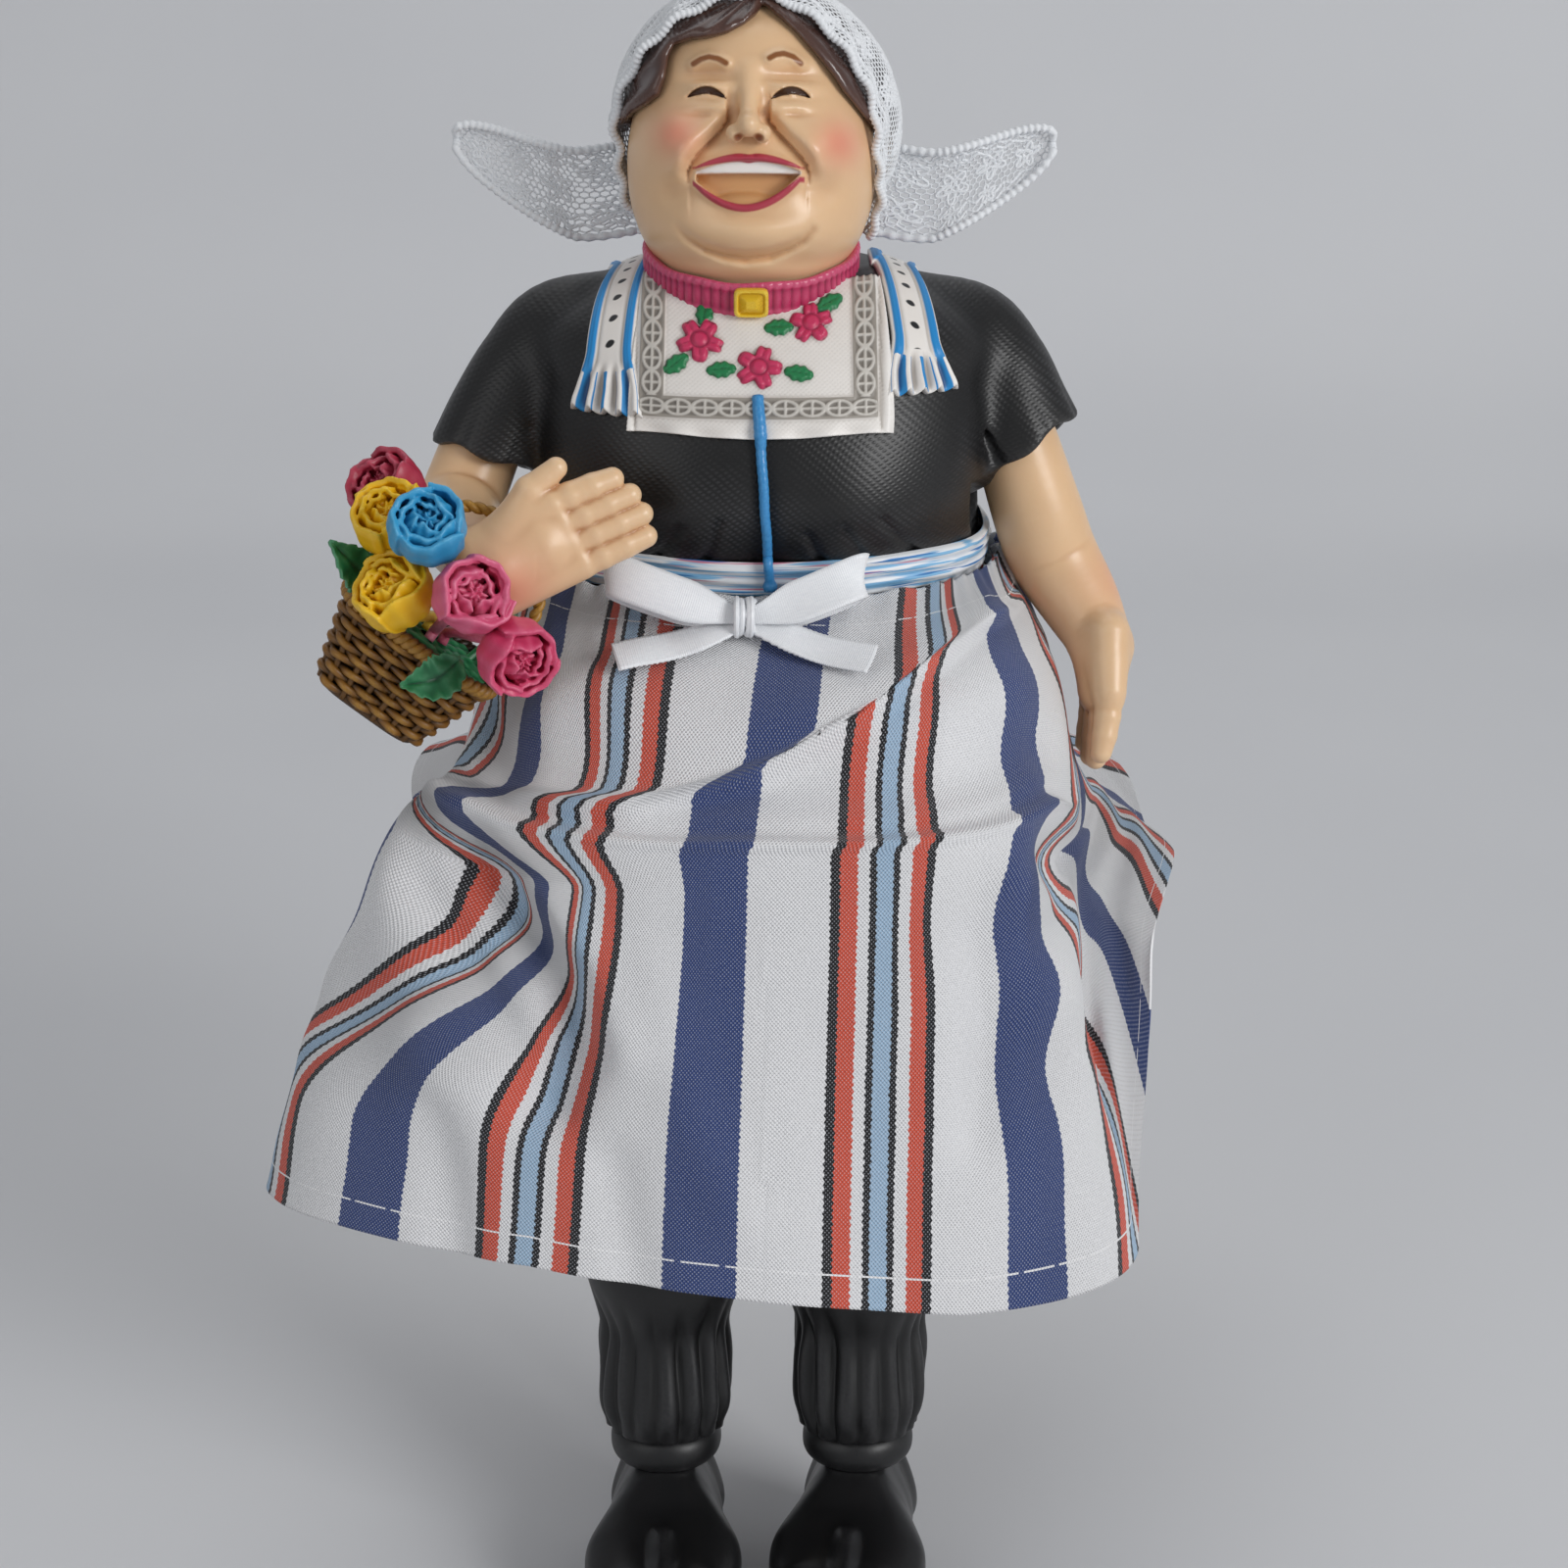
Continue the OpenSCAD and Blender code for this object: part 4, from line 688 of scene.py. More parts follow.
def netPiece(name, points, cells, weights, cords):
    net = makePiece(name, points, cells, lace)
    group = net.vertex_groups.new(name="sprig")
    for level in range(1, 5):
        chosen = np.nonzero(np.round(weights * 4).astype(int) == level)[0]
        group.add(chosen.tolist(), level / 4, "REPLACE")
    modify(net, "WIREFRAME", thickness=lacePitch["sprig"] * mm, vertex_group="sprig", use_replace=True,
           thickness_vertex_group=lacePitch["net"] / lacePitch["sprig"], use_even_offset=False)
    held = bpy.context.evaluated_depsgraph_get()
    solid = bpy.data.meshes.new_from_object(net.evaluated_get(held))
    wire = np.zeros(len(solid.vertices) * 3)
    solid.vertices.foreach_get("co", wire)
    parts = [(wire.reshape(-1, 3) / mm, [tuple(p.vertices) for p in solid.polygons])] + cords
    bpy.data.objects.remove(net)
    return makePiece(name, *joined(parts), lace)


def capPlace(direction):
    polar = np.degrees(np.arccos(np.clip(direction @ poleAxis, -1, 1)))
    return polar, np.degrees(np.arctan2(direction[..., 0], direction @ crownAxis))


def headSpan():
    found = np.concatenate([pointsOf(headPiece), pointsOf(hairPiece)]) - capForm["centre"]
    far = np.linalg.norm(found, axis=1)
    polar, round_ = capPlace(found / far[:, None])
    table = np.zeros((spanGrid["rows"], spanGrid["columns"]))
    row, column = (polar / spanGrid["step"]).astype(int), ((round_ + 180) / spanGrid["step"]).astype(int)
    np.maximum.at(table, (row, column % spanGrid["columns"]), far)
    shifts = [(a, b) for a in (-1, 0, 1) for b in (-1, 0, 1)]
    grown = np.max([np.roll(table, k, (0, 1)) for k in shifts], 0)
    for _ in range(3):
        grown = np.mean([np.roll(grown, k, (0, 1)) for k in shifts], 0)
    return grown


def onCap(direction):
    direction = unit(direction)
    polar, round_ = capPlace(direction)
    inward = rowAt(capEdge, round_)[..., 1] - polar
    radius = mix(capForm["snug"], capForm["radius"], ease(inward / 32))
    row, column = polar / spanGrid["step"] - 0.5, (round_ + 180) / spanGrid["step"] - 0.5
    i, j = np.floor(row).astype(int), np.floor(column).astype(int)
    a, b = row - i, column - j
    under = 0
    for di, wi in ((0, 1 - a), (1, a)):
        for dj, wj in ((0, 1 - b), (1, b)):
            atRow, atColumn = np.clip(i + di, 0, spanGrid["rows"] - 1), (j + dj) % spanGrid["columns"]
            under = under + wi * wj * span[atRow, atColumn]
    radius = np.maximum(radius, under + capForm["clear"])
    wave = 0.4 * np.sin(np.radians(round_) * 21) * ease(1 - inward / 22)
    return direction * (radius + wave)[..., None] + capForm["centre"]


def sprigCurve(centre, size, petals):
    centre = unit(centre)
    a = unit(np.cross(centre, (0.3, 0.2, 1)))
    b = np.cross(centre, a)
    t = circle(40)
    r = size * (0.7 + 0.3 * np.cos(petals * t)) / capForm["radius"]
    return unit(centre + np.outer(r * np.cos(t), a) + np.outer(r * np.sin(t), b))


def buildCap():
    made = bmesh.new()
    bmesh.ops.create_icosphere(made, subdivisions=6, radius=1)
    made.verts.ensure_lookup_table()
    middles = np.array([f.calc_center_median().normalized() for f in made.faces])
    radius, centre = capForm["radius"], np.array(capForm["centre"])
    cells = []
    for v in made.verts:
        d = np.array(v.co)
        polar, round_ = capPlace(d)
        if polar > rowAt(capEdge, round_)[1] or centre[2] + radius * d[2] < capForm["low"]:
            continue
        near = [f.index for f in v.link_faces]
        a = unit(np.cross(d, (0.31, 0.47, 0.82)))
        b = np.cross(d, a)
        cells.append(sorted(near, key=lambda k: math.atan2(middles[k] @ b, middles[k] @ a)))
    made.free()
    used = np.unique(np.concatenate([np.array(c) for c in cells]))
    renumber = {int(k): i for i, k in enumerate(used)}
    cells = [[renumber[k] for k in c] for c in cells]
    spots = middles[used]
    turn = math.pi * (3 - math.sqrt(5))
    weights = np.zeros(len(spots))
    cords = []
    for k in range(capForm["sprigs"]):
        h = 1 - 2 * (k + 0.5) / capForm["sprigs"]
        wide = math.sqrt(1 - h * h)
        s = np.array([wide * math.cos(k * turn), wide * math.sin(k * turn), h])
        polar, round_ = capPlace(s)
        if polar > rowAt(capEdge, round_)[1] - 8 or centre[2] + radius * s[2] < capForm["low"] + 3:
            continue
        size = 2.7 if k % 3 else 1.7
        outline = sprigCurve(s, size, 5)
        away = np.arccos(np.clip(spots @ s, -1, 1)) * radius
        weights = np.maximum(weights, ease((size * 0.85 - away) / 0.5))
        cords.append(tube(onCap(outline), 0.24, 6, ring=True))
        cords.append(tube(onCap(sprigCurve(s, size * 0.4, 3)), 0.2, 6, ring=True))
    polar, round_ = capPlace(spots)
    weights = np.maximum(weights, 0.75 * (np.abs(rowAt(capEdge, round_)[:, 1] - polar - 4) < 1.6))
    for inset, thick in ((0, capForm["cord"]), (7.5, 0.34)):
        t = np.linspace(-180, 180, 900)
        p = np.radians(rowAt(capEdge, t)[:, 1] - inset)[:, None]
        t = np.radians(t)
        outward = np.outer(np.sin(t), (1, 0, 0)) + np.outer(np.cos(t), crownAxis)
        ring = np.cos(p) * poleAxis + np.sin(p) * outward
        ring = ring[centre[2] + radius * ring[:, 2] > capForm["low"]]
        gaps = np.linalg.norm(np.diff(ring, axis=0), axis=1)
        if gaps.max() > 0.05:
            ring = np.roll(ring, -np.argmax(gaps) - 1, axis=0)
        cords.append(wrapped(onCap(ring), thick, capForm["turns"]))
    piece = netPiece("laceCap", onCap(spots), cells, weights, cords)
    fix(piece, "figure", ["lace_cap"])
    return piece


wingForm = {"long": 26.5, "wide": 15.0, "gap": 0.3, "cell": 0.95, "cord": 0.6, "root": -9.0, "rise": 10.0}


def wingHalf(s):
    return wingForm["wide"] / 2 * (1 - 0.42 * s ** 1.4) * np.sqrt(np.maximum(0.02, 1 - s ** 7))


def wingPoint(s, t):
    s, t = np.broadcast_arrays(np.asarray(s, float), np.asarray(t, float))
    reach = capForm["radius"] + wingForm["gap"]

    def root(k):
        dz = wingForm["root"] + k * wingForm["wide"] * 0.4
        return np.stack([np.sqrt(reach ** 2 - dz ** 2 - 36), np.full_like(dz, 6.0), dz], -1)
    rise = wingForm["rise"] * s ** 1.2 - 3.0 * ease(s * 3) + t * wingHalf(s)
    far = root(t * 0) + np.stack([s * wingForm["long"], 4 * s, rise], -1)
    p = mix(root(t), far, ease(s * 3)[..., None])
    curl = 2.6 * t * t * np.sin(np.radians(150 * s)) + 2 * np.sin(np.radians(90 * s))
    ruffle = 0.9 * np.sin(s * 9 + 1.2) * np.abs(t) ** 2
    return p + np.stack([0 * s, ruffle - curl, -1.2 * np.sin(np.pi * s) * np.maximum(0, t)], -1)


def buildWing(side):
    long_, cell = wingForm["long"], wingForm["cell"]
    name = sideName[side]
    local = np.random.default_rng(5 + side)
    corner = np.radians(np.arange(6) * 60 + 30)
    points, cells, index = [], [], {}
    for j in range(-9, 10):
        for i in range(0, 30):
            a = (i + 0.5 * (j % 2)) * cell + 0.3
            b = j * cell * math.sqrt(0.75)
            s = a / long_
            if s > 0.985 or abs(b) > wingHalf(s) - 0.2:
                continue
            ring = []
            for c in corner:
                p = (a + cell / math.sqrt(3) * math.cos(c), b + cell / math.sqrt(3) * math.sin(c))
                key = (round(p[0] * 20), round(p[1] * 20))
                if key not in index:
                    index[key] = len(points)
                    points.append(p)
                ring.append(index[key])
            cells.append(ring)
    flat = np.array(points)
    s = np.clip(flat[:, 0] / long_, 0, 0.995)
    t = np.clip(flat[:, 1] / wingHalf(s), -1, 1)
    weights = np.zeros(len(flat))
    cords = []
    for a, b, size in ((5.5, 2.6, 2.6), (5.0, -3.6, 2.4), (11.0, -0.4, 2.6), (16.8, 0.8, 2.4),
                       (22.2, -0.2, 2.0), (11.0, -4.6, 1.4), (16.2, -3.4, 1.3), (11.6, 4.0, 1.3)):
        turnBy = local.uniform(0, 6)
        k = circle(40)
        for scale, petals, thick in ((1.0, 5, 0.26), (0.42, 3, 0.22)):
            r = size * scale * (0.7 + 0.3 * np.cos(petals * k + turnBy))
            ps = np.clip((a + r * np.cos(k)) / long_, 0, 0.99)
            across = np.clip((b + r * np.sin(k)) / wingHalf(ps), -1, 1)
            cords.append(tube(wingPoint(ps, across), thick, 6, ring=True))
        weights = np.maximum(weights, ease((size * 0.8 - np.hypot(flat[:, 0] - a, flat[:, 1] - b)) / 0.5))
    rim = np.concatenate([np.stack([np.linspace(0, 0.97, 200), np.full(200, -1.0)], 1),
                         np.stack([np.full(60, 0.985), np.linspace(-1, 1, 60)], 1),
                         np.stack([np.linspace(0.97, 0, 200), np.full(200, 1.0)], 1)])
    cords.append(wrapped(wingPoint(rim[:, 0], rim[:, 1]), wingForm["cord"], 60))
    for inset in (0.8, 0.6):
        k = np.linspace(0.02, 0.9, 160)
        for sign in (-1, 1):
            path = wingPoint(k, sign * (inset + 0.06 * np.sin(k * 60)))
            cords.append(wrapped(path, 0.24, 40))
    seam = wingPoint(np.full(40, 0.01), np.linspace(-1, 1, 40))
    cords.append(wrapped(seam, 0.6, 14))
    mirror = np.array([side, 1, 1])
    moved = [(p * mirror + capForm["centre"], [f[::-1] for f in q] if side < 0 else q) for p, q in cords]
    shape = wingPoint(s, t) * mirror + capForm["centre"]
    cells = [c[::-1] for c in cells] if side < 0 else cells
    piece = netPiece("laceWing" + name.title(), shape, cells, weights, moved)
    fix(piece, "figure", ["lace_wing_" + name])
    return piece


span = headSpan()
buildCap()
buildWing(1)
buildWing(-1)
print("lace made")

# bodice: the black upper body with puffed sleeves
bodyForm = {"square": 2.3, "step": 0.45}
bodyRows = np.array([(41.0, 34, 28.5, 27), (48.0, 34, 28.5, 27), (62.2, 35.6, 33.5, 28), (74.7, 35, 31, 27),
                    (85.4, 32.5, 23.5, 22), (89.4, 25, 19.5, 18), (92.5, 17, 15.5, 13)])
sleevePath = {
    "right": [(22, 0, 82.5), (31, -1, 81), (35.6, -3, 75.4), (39.7, -4.8, 68.6), (42.6, -6.2, 62.4)],
    "left": [(22, 0, 82.5), (31, -1, 81), (35.2, -3, 75.8), (38.2, -4.8, 69.8), (41.0, -6.2, 64.2)]}
sleeveRadii = [6.5, 8.2, 8.9, 9.1, 9.4]


def bodyY(x, z, rear=False):
    rows = rowAt(bodyRows, np.clip(z, bodyRows[0, 0], bodyRows[-1, 0]))
    part = np.clip(1 - (np.abs(x) / rows[..., 1]) ** bodyForm["square"], 0, 1) ** (1 / bodyForm["square"])
    return rows[..., 3] * part if rear else -rows[..., 2] * part


def lifted(points, out):
    across = np.gradient(points, axis=1)
    along = np.gradient(points, axis=0)
    return points + unit(np.cross(across, along)) * np.asarray(out)[..., None]


def blackPaint(name, gloss):
    # black enamel over a pressed weave: grey on the raised tops as dry-brushing and painted highlight, grey
    # dry-brush and painted sheen in patches on the stitches, satin shine that breaks on the stitches
    material, add, shader, base = paintedResin(name, "#0d0d0e", "#050506", "#474543", gloss, washAndShadeAmount=0.5,
                                               rubAndHighlightAmount=0.3, grainMm=0.5, bump=0.1, mottleMm=9)
    place = add("TexCoord").outputs["Object"]
    stitches = []
    for tilt, pitch in ((0.5, 0.62), (-0.72, 0.9)):
        turn = add("Mapping", {"Rotation": (0.0, tilt, 0.0)}, {"Vector": place})
        stitches.append(add("TexWave", {"Scale": 314.16 / pitch, "Distortion": 1.2, "Detail": 1.0,
                        "bands_direction": "Z"}, {"Vector": turn}))
    fine, coarse = (k.outputs["Fac"] for k in stitches)
    knit = add("Math", {"operation": "MULTIPLY"}, {0: fine, 1: coarse})
    patch = add("TexNoise", {"Scale": 1000 / 14, "Detail": 2.0}, {"Vector": place})
    # grey patches on the knit: dry-brushing that also stands in for painted sheen
    brushAndSheen = add("MapRange", {"From Min": 0.48, "From Max": 0.8, "To Max": 0.7}, {"Value": patch})
    amount = add("Math", {"operation": "MULTIPLY"}, {0: brushAndSheen, 1: knit})
    grey = add("Mix", {"data_type": "RGBA", 7: tint("#555558")}, {0: amount, 6: base.outputs[2]})
    relief = add("Bump", {"Strength": 0.35, "Distance": 0.12 * mm}, {"Height": knit})
    setNode(shader, {}, {"Base Color": grey.outputs[2], "Normal": relief})
    return material


def buildBodice():
    clay = Clay((-57, -37, 42), (57, 31, 95), bodyForm["step"])
    x, z = clay.axes[0][:, None], clay.axes[2][None, :]
    y = clay.axes[1][None, :, None]
    side = np.abs(x)
    puff = 1.0 * hump(side - 14, 8) * hump(z - 60.5, 6.5) - 0.7 * hump(x - 0.5, 2.2) * hump(z - 60, 9)
    for k, foot in enumerate((-24, -17, -9, 9, 16, 24)):
        pleat = lineDistance(x, z, [(foot, 51), (foot * 0.72, 57 + (k % 3))])
        puff = puff - 0.55 * hump(pleat, 0.7)
    puff = puff[:, None, :] * ease(-y / 9)
    clay.d = (eggField(clay, bodyRows, bodyForm["square"]) - puff).astype(np.float32)
    for sign, arm in ((-1, "right"), (1, "left")):
        path = through([p + (r,) for p, r in zip(sleevePath[arm], sleeveRadii)], 26)
        clay.join(chain(path[:, :3] * (sign, 1, 1), path[:, 3]), 4.0)
        end, before = path[-1, :3] * (sign, 1, 1), path[-4, :3] * (sign, 1, 1)
        d = unit(end - before)
        u = unit(np.cross(d, (0, 1, 0)))
        w = np.cross(d, u)

        def beyond(px, py, pz, end=end, d=d, u=u, w=w, sign=sign):
            dx, dy, dz = px - end[0], py - end[1], pz - end[2]
            along = dx * d[0] + dy * d[1] + dz * d[2]
            turn = np.arctan2(dx * w[0] + dy * w[1] + dz * w[2], dx * u[0] + dy * u[1] + dz * u[2])
            slant = -1.8 * np.cos(turn) - 0.2 if sign > 0 else 0.9 * np.cos(turn - 3.1) - 0.6
            wave = 0.5 * np.sin(5 * turn) + slant
            return np.maximum(-(along - wave), np.sqrt(dx * dx + dy * dy + dz * dz) - 16)
        clay.carve((beyond, end - 16, end + 16), 0.5)
        clay.carve(rod(end - d * 3.2, end + d * 8, 7.3, 8.2), 0.6)
        for k in range(7):
            turn = k * 0.9 + 0.3
            spoke = u * math.cos(turn) + w * math.sin(turn)
            clay.carve(rod(end + spoke * 10.2 - d * 7, end + spoke * 10.2 + d, 0.5, 0.8), 1.2)
    points, faces = clay.skin()
    bodice = makePiece("bodice", points, faces, blackPaint("black enamel over pressed weave", 0.4))
    setHollows(bodice, 16, 0.5)
    return fix(bodice, "figure", ["bodice_casting"])


buildBodice()
print("bodice modelled")

# choker: a ribbed band that leans forward round the neck, with a gold clasp
chokerForm = {"centre": (-2.0, -8.0, 93.5), "lean": 14.0, "inner": 14.95, "outer": 16.3, "high": 5.2,
              "ribs": 74}


def toChoker(points):
    return turned(points, "x", chokerForm["lean"]) + chokerForm["centre"]


def buildChoker():
    half = chokerForm["high"] / 2
    profile = [(0, -half + 0.3), (0.9, -half), (1.25, -half + 0.7), (1.15, -half + 1.3), (1.2, -0.4),
               (1.2, 0.4), (1.15, half - 1.3), (1.3, half - 0.7), (0.95, half), (0, half - 0.3)]
    fine = through(profile, 24)
    t = circle(740)
    rib = 0.2 * np.abs(np.cos(chokerForm["ribs"] / 2 * t + 0.6 * np.sin(7 * t))) - 0.13
    body = hump(fine[:, 1], 2.2)[:, None]
    r = (chokerForm["inner"] + fine[:, 0][:, None] + rib[None, :] * (fine[:, 0] > 0.5)[:, None]
         * (0.45 + 0.75 * body))
    z = fine[:, 1][:, None] + 0.12 * np.sin(9 * t)[None, :]
    points = np.stack([r * np.sin(t)[None, :], -r * np.cos(t)[None, :], np.broadcast_to(z, r.shape)], -1)
    faces = gridFaces(len(fine), len(t), True)
    # crimson enamel on a ribbed band: painted highlight bright on the ribs, painted shade dark pink in the
    # grooves, wet shine
    material = paintedResin("crimson enamel", "#bd3560", "#7d1738", "#dd6a8a", 0.28, washAndShadeAmount=0.8,
                            rubAndHighlightAmount=0.4, grainMm=0.5, bump=0.06, mottleMm=3)[0]
    band = makePiece("chokerBand", toChoker(points.reshape(-1, 3)), faces, material)
    setHollows(band, 8, 0.1)
    fix(band, "figure", ["choker_band"])


def buildClasp():
    wide, high, deep = 2.5, 2.15, 1.15
    steps = [(1.0, 0.0), (1.0, 0.62), (0.92, 0.9), (0.84, 0.95), (0.76, 0.85), (0.72, 0.72), (0.7, 0.72),
             (0.3, 1.15), (0.26, 1.17)]
    t = circle(64)
    rings = []
    for share, rise in steps:
        cx, cz = egg(t, wide * share, high * share, high * share, 6.0)
        rings.append(np.stack([cx, np.full_like(cx, -rise * deep), cz], -1))
    points = np.concatenate(rings)
    faces = gridFaces(len(steps), 64, True).tolist() + [tuple((len(steps) - 1) * 64 + i for i in range(64))]
    place = np.array([0, -chokerForm["outer"] - 0.05, 0.0])
    # gold paint: warm metal look with painted highlights on the high edges, brown wash and painted shade
    # left in the corners
    material, _, shader, _ = paintedResin("gold leaf paint", "#e8bb14", "#a8720e", "#ffe873", 0.26,
                                          washAndShadeAmount=0.8, rubAndHighlightAmount=0.5, grainMm=0.4, bump=0.08, mottleMm=1.5)
    setNode(shader, {"Metallic": 0.2})
    clasp = makePiece("chokerClasp", toChoker(points + place), faces, material, smooth=False)
    setHollows(clasp, 4, 0.25)
    fix(clasp, "figure", ["choker_clasp"])


buildChoker()
buildClasp()
print("choker made")

# bib: a white panel with a ribbon frame, three flowers and six leaves in relief
bibForm = {"middle": -0.9, "half": 18.4, "low": 71.2, "top": 91.0, "out": 0.15, "thick": 0.8, "slope": 1.25}
bibFlowers = [(-9.3, 83.6, 3.7, 0.3), (6.6, 85.8, 3.4, 0.9), (-0.9, 80.3, 3.7, 0.0)]
bibLeaves = [(-8.6, 87.0, 80), (-12.6, 80.6, 42), (2.0, 85.3, 4), (9.2, 88.2, 28), (-6.2, 80.0, 6),
             (4.8, 79.6, -12)]
ribbonForm = {"outer": 16.9, "inner": 13.4, "low": 73.7, "high": 76.5, "pitch": 3.79}


def trimPaint(name, layers, tone="#ebe6e0", washAndShade="#8f857b"):
    # chalky white enamel with brush-painted relief, and an umber wash with painted shade in the grooves;
    # pale painted highlight on the raised edges
    material, add, shader, base = paintedResin(
        name, tone, washAndShade, "#fbf9f6", 0.42, washAndShadeAmount=0.75, rubAndHighlightAmount=0.3, grainMm=0.45, bump=0.1, mottleMm=4)
    colour = base.outputs[2]
    hollow = add("Attribute", {"attribute_name": "hollow"})
    for layer, bright, dark in layers:
        field = add("Attribute", {"attribute_name": layer})
        inside = add("MapRange", {"From Min": 0.09, "From Max": -0.09}, {"Value": field.outputs["Fac"]})
        # each painted layer: its colour, and a darker copy of it as painted shade in the hollows
        shade = add("Mix", {"data_type": "RGBA", 6: tint(bright), 7: tint(dark)},
                    {0: hollow.outputs["Fac"]})
        colour = add("Mix", {"data_type": "RGBA"}, {0: inside, 6: colour, 7: shade.outputs[2]}).outputs[2]
    setNode(shader, {}, {"Base Color": colour})
    return material


def buildBib():
    rows, columns = 118, 204
    s, t = np.linspace(0, 1, rows)[:, None], np.linspace(-1, 1, columns)[None, :]
    lip = 0.9 * np.abs(t) ** 6 - 1.2 * t * t
    x = (bibForm["middle"] + t * mix(bibForm["half"], bibForm["half"] - 1.6, s * s)
         + 0.9 * ease((t - 0.92) / 0.08))
    z = mix(bibForm["low"] - lip, bibForm["top"] + 0 * t, s)
    px = x - bibForm["middle"]
    outer, inner, low, high, pitch = (ribbonForm[k] for k in ("outer", "inner", "low", "high", "pitch"))
    fromSide, fromLow = np.abs(px) - (outer + inner) / 2, z - (low + high) / 2
    bandSide = np.maximum(np.abs(fromSide) - (outer - inner) / 2, low - z)
    bandLow = np.maximum(np.abs(fromLow) - (high - low) / 2, np.abs(px) - outer)
    ribbon = np.minimum(bandSide, bandLow)
    fromLow = fromLow * bibForm["slope"]
    upright = z > high
    along, across = np.where(upright, fromLow, fromSide), np.where(upright, fromSide, fromLow)
    along = (along + pitch / 2) % pitch - pitch / 2
    ringAt = np.hypot(along / 1.75, across / 1.2)
    cross = np.minimum(np.abs(along), np.abs(across)) - 0.2
    ornament = np.minimum(np.abs(ringAt - 1) * 1.3 - 0.22, np.where(ringAt < 1, cross, wayOff))
    flowers = np.full(x.shape, wayOff)
    relief = np.zeros(x.shape)
    for fx, fz, size, phase in bibFlowers:
        dx, dz = x - fx, (z - fz) * bibForm["slope"]
        d, turn = np.hypot(dx, dz), np.arctan2(dz, dx) + phase
        lobes = 0.8 + 0.17 * np.cos(5 * turn) - 0.06 * np.cos(10 * turn) + 0.02 * np.cos(13 * turn + fx)
        shape = d - size * lobes
        flowers = np.minimum(flowers, shape)
        cup = (0.62 * ease(-shape / 0.7) - 0.28 * hump(d - 1.25, 0.28) * (shape < 0)
               + 0.18 * ease((1.0 - d) / 0.4))
        cup -= 0.2 * hump(np.sin(2.5 * turn), 0.22) * (shape < 0) * ease((d - 1.3) / 0.5)
        relief = np.maximum(relief, cup)
    leaves = np.full(x.shape, wayOff)
    for lx, lz, angle in bibLeaves:
        c, sn = math.cos(math.radians(angle)), math.sin(math.radians(angle))
        dx, dz = x - lx, (z - lz) * bibForm["slope"]
        a, b = dx * c + dz * sn, -dx * sn + dz * c
        shape = np.abs(b) - 1.3 * np.clip(1 - (a / 2.2) ** 2, 0, 1) ** 0.7 + 0.12 * np.cos(a * 5)
        shape = np.maximum(shape, np.abs(a) - 2.25)
        leaves = np.minimum(leaves, np.maximum(shape, -flowers - 0.1))
        vein = hump(b, 0.16) + 0.6 * hump(np.sin((a - np.abs(b)) * 3.2), 0.3)
        relief = np.maximum(relief, 0.45 * ease(-shape / 0.5) - 0.16 * vein * (shape < 0))
    weave = (0.05 * np.sin(x * 2 * np.pi / 0.75) * np.sin(z * 2 * np.pi / 0.6) * ease(ribbon / 0.5)
             * (relief < 0.05))
    relief += 0.22 * ease((0.18 - ribbon) / 0.25) - 0.1 * ease((-0.25 - ribbon) / 0.2)
    relief += 0.24 * ease((0.1 - ornament) / 0.25) * (ribbon < -0.1)
    relief += 0.3 * hump(bibForm["half"] - np.abs(px), 0.5) + weave
    relief -= 0.25 * hump(np.abs(px) - 17.5, 0.22)
    surface = np.stack([x, bodyY(x, z), z], -1)
    wave = 0.35 * np.sin(x * 0.9) * ease((0.12 - s) / 0.12)
    top = lifted(surface, bibForm["out"] + bibForm["thick"] + relief + wave)
    under = lifted(surface, np.full(x.shape, bibForm["out"]))
    # each layer: its colour, and a darker copy used as painted shade in the hollows
    layers = [("ribbon", "#9a938a", "#3f3934"), ("ornament", "#c9c4bc", "#6f6860"),
              ("leaves", "#1d7d49", "#0c3f24"), ("flowers", "#c9345f", "#7a1436")]
    bib = makePiece("bibPanel", *slab(top, under, rows, columns), trimPaint("painted bib relief", layers))
    setLayers(bib, x.shape, ribbon=ribbon, ornament=np.maximum(ornament, ribbon + 0.15), leaves=leaves,
              flowers=flowers)
    setHollows(bib, 10, 0.2)
    fix(bib, "figure", ["bib_panel"])


# shoulder bands: dotted white ribbons with blue cords and a wavy fringe on the chest
bandForm = {"inner": 19.0, "wide": 7.0, "thick": 0.75, "out": 0.2, "fringe": 0.78}


